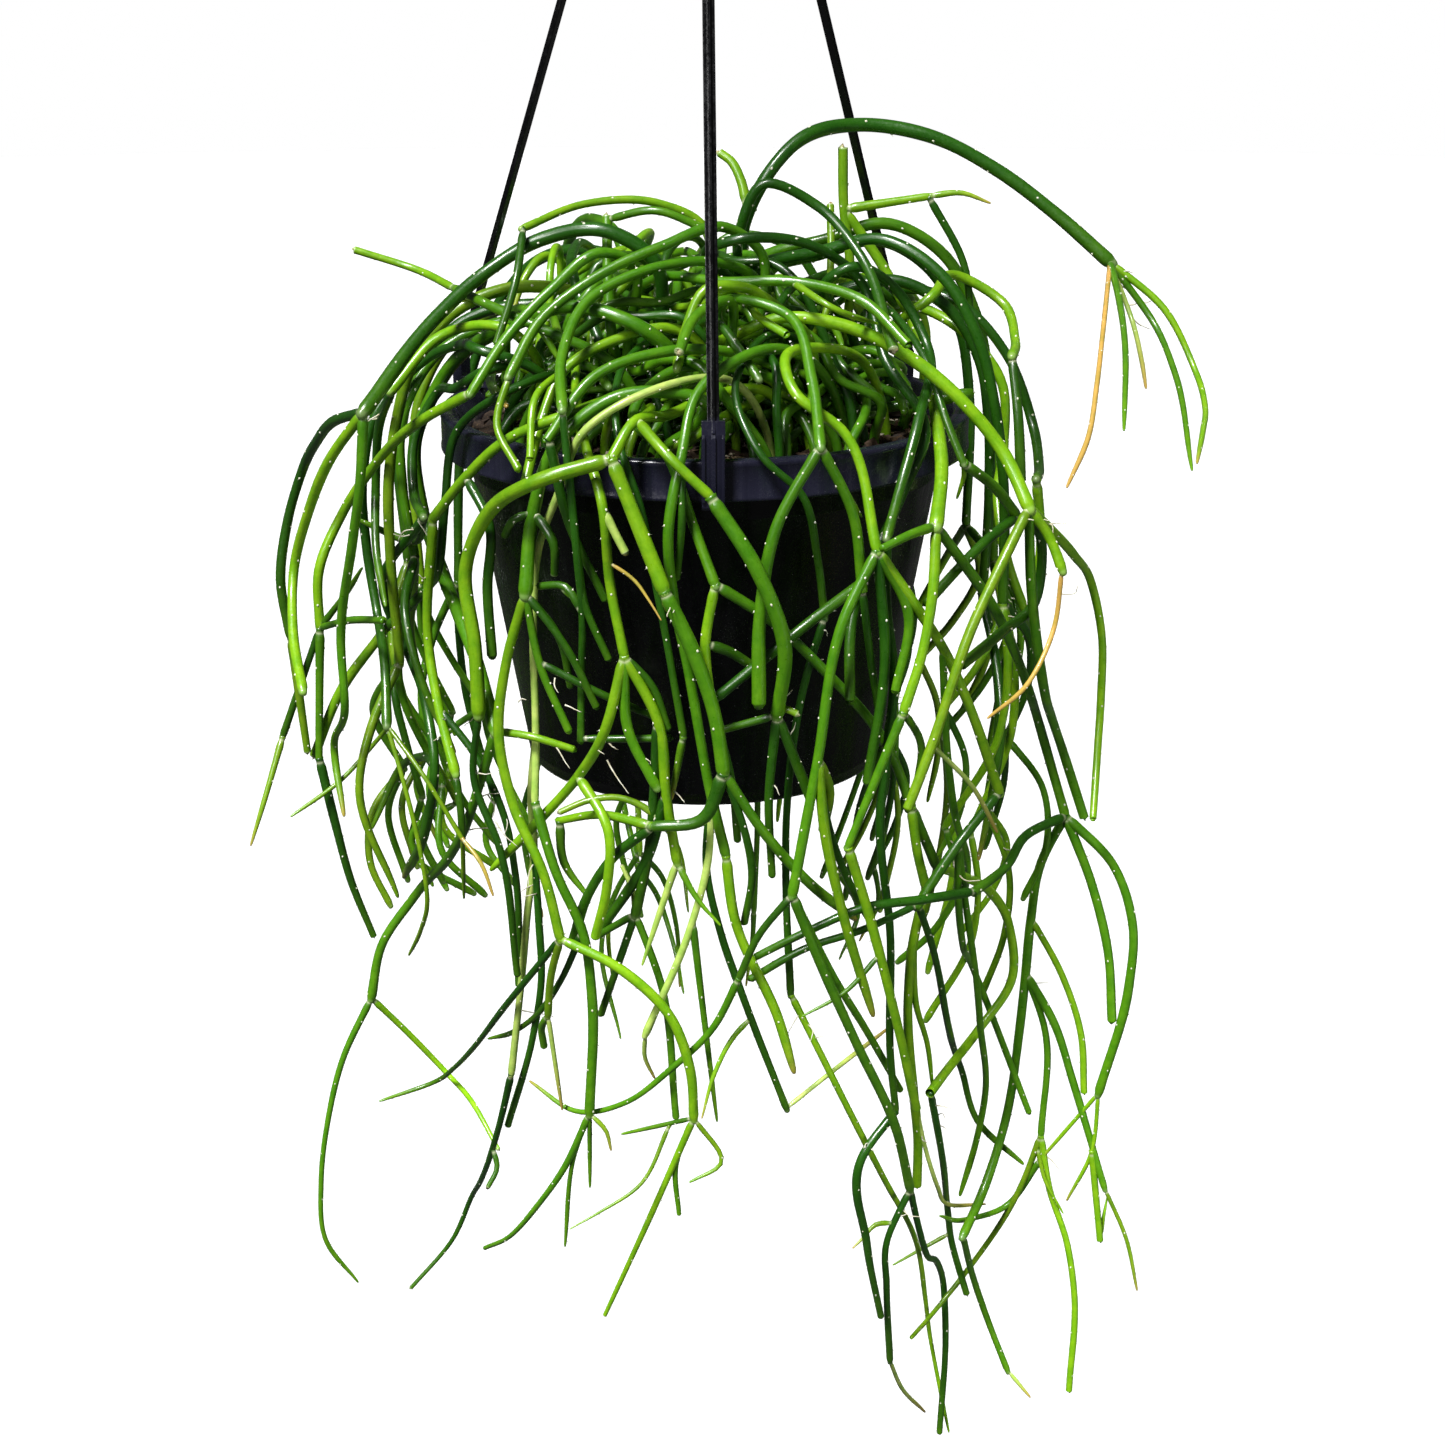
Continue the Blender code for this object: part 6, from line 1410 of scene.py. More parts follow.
def with_joint_rings(piece, line):
    """A middle line with closer points at both ends, where a joint's notch and ring sit."""
    run = run_along(line)
    foot = FOOT_RINGS if piece["parent"] is not None else ()
    extra = [at for at in foot + tuple(run[-1] - back for back in END_RINGS)
             if 0.0 < at < run[-1] and np.abs(run - at).min() > 0.12]
    spots = np.sort(np.concatenate((run, extra)))
    return np.column_stack([np.interp(spots, run, line[:, k]) for k in range(3)]), spots


def stem_skin(piece, line, run, left, draw):
    """Colour of each ring: its tone, greener to the tip, darker at the foot, and brighter lower down as
    painted light.
    """
    tone = tone_of(piece["tone"]) * draw.uniform(0.85, 1.2)
    young = tone_of("lime") * YOUNG
    skin = np.repeat(tone[None, :], len(run), axis=0)
    share = np.exp(-left / 24.0)[:, None] * (0.55 if piece["finish"] == "tip" else 0.18)
    skin = skin * (1 - share) + young[None, :] * share
    skin *= (1.0 - 0.22 * np.exp(-run / 9.0))[:, None]
    # Painted light: stems lower down are brightened, as if the hanging stems were lit more than the crown
    skin *= (1.0 + 0.40 * np.clip(-line[:, 2] / 300.0, 0.0, 1.0))[:, None]
    return skin


def stem_marks(piece, run, left, length, cap, draw):
    """How much of each ring is joint ring, bare cut and dry skin. The cap is the bare cut's rings."""
    marks = np.zeros((len(run), 3))
    if piece["parent"] is not None:
        marks[:, 0] = 0.55 * np.exp(-((run - RING_AT) / RING_HALF) ** 2)
    if piece["finish"] == "joint":
        marks[:, 0] += 0.14 * np.exp(-(left / 0.7) ** 2)
    if cap:
        marks[1 - cap:, 1] = 1.0
        marks[-cap - 1:, 0] = 0.3
    if piece["tone"] in ("pale", "dry") and piece["start"] < 1.0:
        marks[:, 2] = np.clip(1.25 * (run / length) ** 1.6 - 0.30, 0.0, 0.9)
    elif piece["finish"] == "tip" and draw.random() < 0.3:
        marks[:, 2] = 0.8 * np.exp(-left / 5.0)
    return marks


def add_stem(form, piece, line, draw, areoles, bare=True):
    """Adds one branch to a form, coloured along its length, and notes where its areoles sit."""
    looks = bpy.context.scene.cactus_stems
    sides = looks.sides if piece["start"] > 1.2 else max(8, looks.sides - 2)
    line, run = with_joint_rings(piece, line)
    radii = stem_girth(piece, run, draw)
    way = unit(line[-1] - line[-2])
    length = run[-1]
    caps = CUT_CAP if piece["finish"] == "cut" else ROUND_CAP
    line = np.vstack([line] + [line[-1] + way * radii[-1] * out for out, _ in caps])
    radii = np.concatenate((radii, radii[-1] * np.array([size for _, size in caps])))
    run = np.concatenate((run, length + 0.2 * np.arange(1, len(caps) + 1)))
    points, faces, ways = swept(line, radii, sides, draw.uniform(0.0, ANY_TURN))
    left = np.maximum(length - run, 0.0)
    skin = stem_skin(piece, line, run, left, draw)
    cap = len(caps) if piece["finish"] == "cut" and bare else 0
    marks = stem_marks(piece, run, left, length, cap, draw)
    angle = 2.0 * math.pi * np.arange(sides) / sides
    grain = np.stack((np.repeat(np.cos(angle)[None, :], len(run), 0),
                      np.repeat(np.sin(angle)[None, :], len(run), 0),
                      np.repeat(run[:, None] / 14.0, sides, 1)), axis=-1)
    form.add(points, faces, skin=np.repeat(skin, sides, axis=0),
             marks=np.repeat(marks, sides, axis=0), grain=grain.reshape(-1, 3))
    note_areoles(areoles, piece, line, radii, length, run, ways, draw)


def note_areoles(areoles, piece, line, radii, length, run, ways, draw):
    """Notes an areole every so often along a branch, each turned on from the last."""
    step = bpy.context.scene.cactus_stems.areole_gap * 1000.0
    step *= 1.25 if piece["start"] < 1.6 else 1.0
    low = 6.0 if piece["parent"] is not None else 26.0
    turn = draw.uniform(0.0, ANY_TURN)
    at = low + draw.uniform(0.0, 3.0)
    while at < length - 2.0:
        k = int(np.searchsorted(run, at))
        turn += 2.4 + draw.uniform(-0.25, 0.25)
        out = math.cos(turn) * ways[1][k] + math.sin(turn) * ways[2][k]
        areoles.append((line[k] + out * radii[k], out, ways[0][k], min(1.0, 0.45 + 0.25 * radii[k])))
        at += step * draw.uniform(0.75, 1.25)


def add_areole(form, spot, out, way, size, draw):
    """Adds one areole: a felted scale with a few short bristles."""
    half = bpy.context.scene.cactus_stems.areole_size * 1000.0 * size * draw.uniform(0.8, 1.25)
    side = np.cross(way, out)
    points = []
    for radius, lift in ((1.15, -0.30), (0.80, 0.38)):
        for k in range(6):
            a = k * math.pi / 3.0
            points.append(spot + half * radius * (1.3 * math.cos(a) * way + math.sin(a) * side)
                          + out * half * lift)
    points.append(spot + out * half * 0.75 + way * half * 0.3)
    faces = [[k, (k + 1) % 6, 6 + (k + 1) % 6, 6 + k] for k in range(6)]
    faces += [[6 + k, 6 + (k + 1) % 6, 12] for k in range(6)]
    form.add(points, faces)
    for _ in range(draw.integers(0, 3)):
        lean = unit(out * draw.uniform(0.5, 1.0) + way * draw.uniform(0.2, 1.0)
                    + side * draw.uniform(-0.5, 0.5))
        cross = unit(np.cross(lean, side + 0.1 * way))
        foot = spot + out * half * 0.3
        length = half * draw.uniform(1.8, 3.4)
        ring = [foot + 0.09 * (math.cos(a) * cross + math.sin(a) * np.cross(lean, cross))
                for a in (0.0, 2.09, 4.19)]
        form.add(ring + [foot + lean * length], [[0, 1, 3], [1, 2, 3], [2, 0, 3]])


def felt_areoles(name, areoles, wool, draw):
    """One mesh of all the areoles that were noted."""
    form = Form()
    for areole in areoles:
        add_areole(form, *areole, draw)
    form.object(name, wool)


# Branches whose cut end the photo shows bare, by their shoot and their place in it
BARE_CUTS = {("stump", 0), ("pale_stub", 0), ("tall_lime", 0), ("cut_stubs", 0), ("crown_top", 0),
             ("left_arch", 2), ("underarm", 1), ("pale_fall", 3), ("pale_fall", 6), ("rim_arch", 5),
             ("front_left_arch", 3), ("rim_arch", 14), ("rim_arch", 15), ("tall_lime", 30),
             ("needle", 1)}

# Tips that stay as thick as the branch behind them and end bluntly
BLUNT_TIPS = {("needle", 1)}


class CACTUS_OT_shoots(bpy.types.Operator):
    """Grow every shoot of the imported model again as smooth, jointed, mottled stems"""
    bl_idname = "cactus.shoots"
    bl_label = "Shoots"

    def execute(self, context):
        skin = waxy_skin()
        draw = np.random.default_rng(SHOOT_SEED)
        areoles = []
        for name, grown in grown_shoots().items():
            form = Form()
            for index, piece in enumerate(grown):
                if (name, index) in BLUNT_TIPS:
                    piece = dict(piece, end=piece["start"], finish="cut")
                bare = (name, index) in BARE_CUTS
                add_stem(form, piece, stem_course(grown, index), draw, areoles, bare)
            node = f"shoot_{name}"
            piece = form.object(f"stems_{name}", skin)
            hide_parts(node)
        felt_areoles("areoles", areoles, woolly_white(), draw)
        return {"FINISHED"}


class CACTUS_OT_crown(bpy.types.Operator):
    """Grow the low stems that cross each other over the mix"""
    bl_idname = "cactus.crown"
    bl_label = "Crown stems"

    def execute(self, context):
        draw = np.random.default_rng(CROWN_SEED)
        shoots = list(grown_shoots().values())
        feet = [grown[0]["line"][0][:2] for grown in shoots]
        low = []
        while len(low) < context.scene.cactus_stems.crown_stems:
            turn, radius = draw.uniform(0.0, 2.0 * math.pi), CROWN_ROOTS * math.sqrt(draw.random())
            spot = np.array((radius * math.cos(turn), radius * math.sin(turn)))
            if min(np.hypot(*(spot - foot)) for foot in feet) > 5.5:
                feet.append(spot)
                low.append([self.low_stem(spot, turn, draw)])
        settle(shoots + low, 90, len(shoots))
        form, areoles = Form(), []
        for grown in low:
            line = smooth_line(grown[0]["line"], context.scene.cactus_stems.ring_step * 1000.0)
            add_stem(form, grown[0], line, draw, areoles, False)
        form.object("crown_stems", bpy.data.materials["waxy_skin"])
        felt_areoles("crown_areoles", areoles, bpy.data.materials["areole_wool"], draw)
        return {"FINISHED"}

    def low_stem(self, spot, turn, draw):
        """One low stem: it rises from its spot, crosses the pot and comes down near the rim."""
        crest = 8.0 + 50.0 * draw.random() ** 1.7
        line = None
        while line is None or np.hypot(line[:, 0], line[:, 1]).max() > CROWN_REACH:
            heading = turn + math.pi + draw.uniform(-1.9, 1.9)
            reach, bend = draw.uniform(40.0, 120.0), draw.uniform(-0.9, 0.9)
            path = [(*spot, MIX_TOP - ROOT_DEPTH), (*spot, MIX_TOP + 5.0)]
            for share, lift in ((0.12, 0.5), (0.38, 0.95), (0.7, 1.0), (1.0, draw.uniform(0.5, 0.9))):
                angle = heading + bend * share
                path.append((spot[0] + reach * share * math.cos(angle),
                             spot[1] + reach * share * math.sin(angle), max(crest * lift, 3.5)))
            line = np.vstack((path[:1], smooth_line(path[1:], 14.0)))
        finish = ("cut", "tip", "joint")[draw.integers(3)]
        tone = ("dark", "dark", "green", "green", "lime")[draw.integers(5)]
        return {"line": line, "parent": None, "at": 0, "start": draw.uniform(1.6, 2.2),
                "end": draw.uniform(1.4, 1.8), "finish": finish, "tone": tone}


# Thin white aerial roots, as pixels of the photo along each one, from where it leaves its stem
AERIAL_ROOTS = [
    [(477, 773), (485, 774), (493, 773)], [(480, 797), (490, 794), (500, 795)],
    [(460, 832), (475, 829), (500, 828)], [(495, 820), (502, 832), (514, 843)],
    [(553, 743), (562, 756), (570, 770)], [(565, 705), (572, 708), (580, 712)],
    [(555, 678), (554, 685), (557, 692)], [(607, 760), (616, 777), (627, 793)],
    [(608, 742), (612, 747), (617, 750)], [(595, 745), (598, 750), (603, 755)],
    [(640, 760), (646, 758), (652, 761)], [(673, 790), (680, 796), (687, 803)],
    [(518, 702), (522, 699), (526, 700)], [(780, 700), (786, 696), (792, 690)],
    [(790, 735), (794, 729), (796, 722)], [(770, 782), (777, 788), (781, 796)],
    [(640, 620), (645, 623), (655, 605)], [(520, 1010), (535, 1013), (553, 1016)],
    [(488, 795), (494, 806), (492, 818)], [(500, 812), (508, 822), (506, 832)],
]

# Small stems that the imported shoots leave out, as pixels of the photo, each with its half
# thickness at both ends, its colour and how it ends
SIDE_TWIGS = [
    ([(744, 205), (740, 178), (731, 161), (720, 153)], 1.9, 1.5, "lime", "cut"),
    ([(616, 560), (634, 580), (650, 602), (661, 620)], 0.7, 0.5, "dry", "tip"),
    ([(606, 515), (616, 535), (625, 552)], 1.6, 1.5, "pale", "cut"),
    ([(655, 818), (640, 805), (620, 798), (590, 800), (560, 812)], 1.4, 1.1, "olive", "cut"),
    ([(560, 582), (566, 592), (575, 598)], 1.3, 1.1, "green", "cut"),
    ([(680, 870), (698, 900), (720, 925)], 1.3, 0.8, "green", "tip"),
    ([(773, 716), (784, 709), (797, 714)], 1.4, 1.3, "olive", "cut"),
    ([(885, 1215), (875, 1225), (863, 1238), (853, 1248)], 1.1, 0.7, "lime", "tip"),
    ([(955, 1232), (925, 1247), (893, 1265)], 1.0, 0.7, "olive", "tip"),
    ([(1099, 1243), (1103, 1220), (1107, 1198)], 1.0, 0.7, "lime", "tip"),
    ([(1038, 1145), (1045, 1180), (1063, 1213)], 1.0, 0.7, "olive", "tip"),
    ([(672, 1130), (640, 1185), (600, 1212), (570, 1229)], 0.9, 0.5, "olive", "tip"),
    ([(750, 1015), (735, 1035), (714, 1075), (702, 1118)], 1.1, 0.7, "lime", "tip"),
    ([(880, 958), (845, 992), (803, 1016)], 1.0, 0.7, "dark", "tip"),
    ([(495, 1150), (497, 1168), (488, 1187)], 1.2, 1.0, "dark", "cut"),
    ([(635, 916), (632, 889), (622, 866)], 1.0, 0.8, "pale", "cut"),
]


def seen_course():
    """The pixel and the distance from the eye of every point of the shoots' lines."""
    spots = []
    for grown in grown_shoots().values():
        for piece in grown:
            line = smooth_line(piece["line"], 5.0)
            offset = line - np.array(EYE)
            depth = offset[:, 1] * math.cos(EYE_DIP) - offset[:, 2] * math.sin(EYE_DIP)
            spots.append(np.column_stack((pixel_of(line), depth)))
    return np.vstack(spots)


def stem_seen_at(spots, pixel):
    """Pixel and distance of the stem nearest to what a pixel looks at, front ones first."""
    gap = np.hypot(spots[:, 0] - pixel[0], spots[:, 1] - pixel[1])
    return spots[int(np.argmin(gap + 0.05 * spots[:, 2]))]


def looked_at(pixel, depth):
    """The point at a distance from the eye that a pixel looks at."""
    return np.array(EYE) + depth * sight(pixel)


class CACTUS_OT_twigs(bpy.types.Operator):
    """Add the small stems that grow from the shoots"""
    bl_idname = "cactus.twigs"
    bl_label = "Side twigs"

    def execute(self, context):
        spots = seen_course()
        draw = np.random.default_rng(TWIG_SEED)
        form, areoles = Form(), []
        for path, start, end, tone, finish in SIDE_TWIGS:
            foot = stem_seen_at(spots, path[0])
            lean = draw.uniform(-4.0, 4.0)
            points = [looked_at(foot[:2], foot[2])]
            points += [looked_at(p, foot[2] + lean * k / len(path)) for k, p in enumerate(path[1:], 1)]
            piece = {"start": start, "end": end, "parent": 0, "finish": finish, "tone": tone}
            add_stem(form, piece, smooth_line(points, 2.4), draw, areoles)
        form.object("side_twigs", bpy.data.materials["waxy_skin"])
        felt_areoles("twig_areoles", areoles, bpy.data.materials["areole_wool"], draw)
        return {"FINISHED"}


class CACTUS_OT_aerial_roots(bpy.types.Operator):
    """Add the thin white roots that stand out of the hanging stems"""
    bl_idname = "cactus.aerial_roots"
    bl_label = "Aerial roots"

    def execute(self, context):
        spots = seen_course()
        draw = np.random.default_rng(ROOT_SEED)
        form = Form()
        for path in AERIAL_ROOTS:
            foot = stem_seen_at(spots, path[0])
            points = [looked_at(p, foot[2] - 0.8 * k) for k, p in enumerate(path)]
            self.add_root(form, points, draw)
        for grown in grown_shoots().values():
            for piece in grown[1:]:
                if draw.random() < 0.25 and len(piece["line"]) > 3:
                    self.add_wild_root(form, piece, draw)
        form.object("aerial_roots", root_white())
        return {"FINISHED"}

    def add_wild_root(self, form, piece, draw):
        """Adds a root or two near a joint, pointing out and down."""
        line = smooth_line(piece["line"], 4.0)
        for _ in range(draw.integers(1, 4)):
            k = int(draw.integers(1, min(6, len(line) - 1)))
            out = unit(np.array((line[k][0], line[k][1], 0.0)) + draw.normal(0.0, 45.0, 3))
            end = line[k] + out * draw.uniform(4.0, 9.0) + np.array((0.0, 0.0, draw.uniform(-3.0, 1.0)))
            middle = 0.5 * (line[k] + end) + draw.normal(0.0, 0.9, 3)
            self.add_root(form, [line[k], middle, end], draw)

    def add_root(self, form, points, draw):
        """Adds one squiggly root along a few points."""
        line = smooth_line(points, 0.8)
        sway = np.cumsum(draw.normal(0.0, 0.13, line.shape), axis=0)
        line = line + sway * np.linspace(0.0, 1.0, len(line))[:, None]
        radii = np.linspace(0.34, 0.13, len(line))
        shape, faces, _ = swept(line, radii, 6)
        form.add(shape, faces)


class CACTUS_OT_pot(bpy.types.Operator):
    """Turn the moulded pot with its rim band, foot and drain holes"""
    bl_idname = "cactus.pot"
    bl_label = "Pot"

    def execute(self, context):
        sides = context.scene.cactus_pot.sides
        wall_low = BASE_RADIUS + WALL_SLOPE * FOOT_ROUND
        inner_low = wall_low - WALL
        under = -POT_HEIGHT + FOOT_LIFT

        def wall_at(height):
            share = (height + POT_HEIGHT - FOOT_ROUND) / (POT_HEIGHT - FOOT_ROUND - 5.0)
            return wall_low + (WALL_TOP_RADIUS - wall_low) * share

        profile = [
            (0.0, under), (BASE_RADIUS - 5.2, under), (BASE_RADIUS - 4.6, under - 0.3),
            (BASE_RADIUS - 4.1, -POT_HEIGHT + 0.5), (BASE_RADIUS - 3.6, -POT_HEIGHT),
            (BASE_RADIUS - 1.3, -POT_HEIGHT), (BASE_RADIUS - 0.4, -POT_HEIGHT + 0.3),
            (BASE_RADIUS + 0.3, -POT_HEIGHT + 1.0), (BASE_RADIUS + 0.7, -POT_HEIGHT + 2.0),
            (wall_at(-POT_HEIGHT + 5.0) - 0.1, -POT_HEIGHT + 4.2),
            (wall_at(-POT_HEIGHT + 5.0) + 0.35, -POT_HEIGHT + 4.7),
            (wall_at(-POT_HEIGHT + 5.0) + 0.35, -POT_HEIGHT + 5.5),
            (wall_at(-POT_HEIGHT + 6.0), -POT_HEIGHT + 6.1), (wall_at(-110.0), -110.0),
            (wall_at(-80.0), -80.0), (wall_at(-50.0), -50.0), (wall_at(-24.0), -24.0),
            (wall_at(-23.0) + 0.3, -23.2), (wall_at(-22.0) + 0.3, -22.4), (wall_at(-21.5), -21.7),
            (WALL_TOP_RADIUS, -5.0), (WALL_TOP_RADIUS + 0.8, -3.4),
            (LEDGE_INNER + 0.8, -2.2), (RIM_RADIUS - WALL - 0.5, -2.2), (RIM_RADIUS - WALL, -2.8),
            (RIM_RADIUS - WALL, -RIM_BAND + 0.4), (RIM_RADIUS - WALL + 0.3, -RIM_BAND),
            (RIM_RADIUS - 0.1, -RIM_BAND), (RIM_RADIUS + 0.15, -RIM_BAND + 0.3),
            (RIM_RADIUS + 0.15, -RIM_BAND + 1.2), (RIM_RADIUS - 0.15, -RIM_BAND + 1.6),
            (RIM_RADIUS - 0.15, -2.2), (RIM_RADIUS, -1.9), (RIM_RADIUS, -1.0),
            (RIM_RADIUS - 0.2, -0.4), (RIM_RADIUS - 0.7, 0.0), (LEDGE_INNER + 0.6, 0.0),
            (LEDGE_INNER - 0.1, -0.2), (LEDGE_INNER - 0.7, -0.8), (WALL_TOP_RADIUS - WALL, -6.0),
            (inner_low, under + FLOOR + 2.0), (inner_low - 2.0, under + FLOOR), (0.0, under + FLOOR),
        ]
        # The rim band, between these two heights, gets a painted bluish reflection
        plastic = black_plastic("pot_plastic", 0.22, -0.3543, -0.334)
        pot = turned_form(profile, sides).object("turned_pot", plastic)
        face_out(pot)
        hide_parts("pot")
        drains = Form()
        for k in range(DRAIN_HOLES):
            turn = 2.0 * math.pi * (k + 0.5) / DRAIN_HOLES
            x, y = DRAIN_RING * math.cos(turn), DRAIN_RING * math.sin(turn)
            ring = [(x + DRAIN_RADIUS * math.cos(t * math.pi / 12),
                     y + DRAIN_RADIUS * math.sin(t * math.pi / 12)) for t in range(24)]
            add_prism(drains, ring, 2.0 * FLOOR + 4.0, lambda u, v, w: (u, v, under + w))
        cutter = drains.object("drain_cutter", pot.data.materials[0])
        cut = pot.modifiers.new("drains", "BOOLEAN")
        cut.object = cutter
        cut.solver = "EXACT"
        graph = context.evaluated_depsgraph_get()
        holed = bpy.data.meshes.new_from_object(pot.evaluated_get(graph))
        pot.modifiers.clear()
        pot.data = holed
        bpy.data.objects.remove(cutter)
        return {"FINISHED"}


# Colours of the loose chips, and how many of them have each
CHIP_TINTS = ((0.030, 0.016, 0.009), (0.060, 0.034, 0.017), (0.120, 0.072, 0.036),
              (0.420, 0.310, 0.180), (0.020, 0.012, 0.008), (0.560, 0.500, 0.390))
CHIP_SHARES = (0.34, 0.28, 0.16, 0.07, 0.12, 0.03)


class CACTUS_OT_mix(bpy.types.Operator):
    """Lay the lumpy bark mix in the pot and strew loose chips on it"""
    bl_idname = "cactus.mix"
    bl_label = "Bark mix"

    def execute(self, context):
        settings = context.scene.cactus_pot
        edge = WALL_TOP_RADIUS - WALL - GAP - WALL_SLOPE * 5.0
        low = -POT_HEIGHT + FOOT_LIFT + FLOOR + GAP
        foot = BASE_RADIUS + WALL_SLOPE * FOOT_ROUND - WALL - GAP - 0.1
        rings, sides = 34, 120
        points = [(0.0, 0.0, self.height(0.0, 0.0, settings.lumps))]
        for i in range(1, rings + 1):
            for k in range(sides):
                x, y, _ = turn_about(2.0 * math.pi * k / sides, edge * (i / rings) ** 0.8, 0.0)
                points.append((x, y, self.height(x, y, settings.lumps)))
        for radius, height in ((edge - WALL_SLOPE * 30.0, -40.0), (foot, low + 3.0), (foot - 3.0, low)):
            points += [turn_about(2.0 * math.pi * k / sides, radius, height) for k in range(sides)]
        faces = [[0, 1 + k, 1 + (k + 1) % sides] for k in range(sides)]
        for i in range(rings + 2):
            a, b = 1 + i * sides, 1 + (i + 1) * sides
            faces += [[a + k, b + k, b + (k + 1) % sides, a + (k + 1) % sides] for k in range(sides)]
        faces.append(list(range(len(points) - 1, len(points) - 1 - sides, -1)))
        form = Form()
        form.add(points, faces)
        bed = form.object("bark_bed", damp_bark())
        face_out(bed)
        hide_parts("potting_mix")
        self.strew(settings, edge)
        return {"FINISHED"}

    def height(self, x, y, lumps):
        """Height of the mix's lumpy top."""
        dome = MIX_TOP + MIX_CROWN * (1.0 - (math.hypot(x, y) / 88.0) ** 2)
        rough = noise.noise(Vector((x / 7.0, y / 7.0, 0.3)))
        rough += 0.5 * noise.noise(Vector((x / 2.6, y / 2.6, 4.1)))
        return dome + 1000.0 * lumps * rough

    def strew(self, settings, edge):
        """Strews the loose chips."""
        draw = np.random.default_rng(CHIP_SEED)
        form = Form()
        for _ in range(settings.chips):
            turn, radius = draw.uniform(0.0, 2.0 * math.pi), (edge - 4.0) * math.sqrt(draw.random())
            x, y, _ = turn_about(turn, radius, 0.0)
            size = 1000.0 * settings.chip_length * draw.uniform(0.25, 1.0) * np.array(
                (0.5, draw.uniform(0.15, 0.32), draw.uniform(0.06, 0.15)))
            corners = np.array([(i, j, k) for i in (-1, 1) for j in (-1, 1) for k in (-1, 1)], float)
            corners = corners * size * draw.uniform(0.6, 1.1, (8, 1))
            corners = corners @ self.spin(draw).T
            centre = np.array((x, y, self.height(x, y, settings.lumps) + draw.uniform(0.1, 1.0)))
            tint = np.array(CHIP_TINTS[draw.choice(6, p=CHIP_SHARES)]) * draw.uniform(0.8, 1.2)
            faces = [[0, 1, 3, 2], [4, 6, 7, 5], [0, 4, 5, 1], [2, 3, 7, 6], [0, 2, 6, 4], [1, 5, 7, 3]]
            form.add(corners + centre, faces, tint=tint)
        chips = form.object("bark_chips", chip_bark(), smooth=False)

    def spin(self, draw):
        """A turn about the upright axis with a small tilt, as a matrix."""
        a, b, c = draw.uniform(0.0, ANY_TURN), draw.normal(0.0, 0.25), draw.normal(0.0, 0.25)
        about_z = np.array(((math.cos(a), -math.sin(a), 0), (math.sin(a), math.cos(a), 0), (0, 0, 1)))
        about_x = np.array(((1, 0, 0), (0, math.cos(b), -math.sin(b)), (0, math.sin(b), math.cos(b))))
        about_y = np.array(((math.cos(c), 0, math.sin(c)), (0, 1, 0), (-math.sin(c), 0, math.cos(c))))
        return about_z @ about_x @ about_y


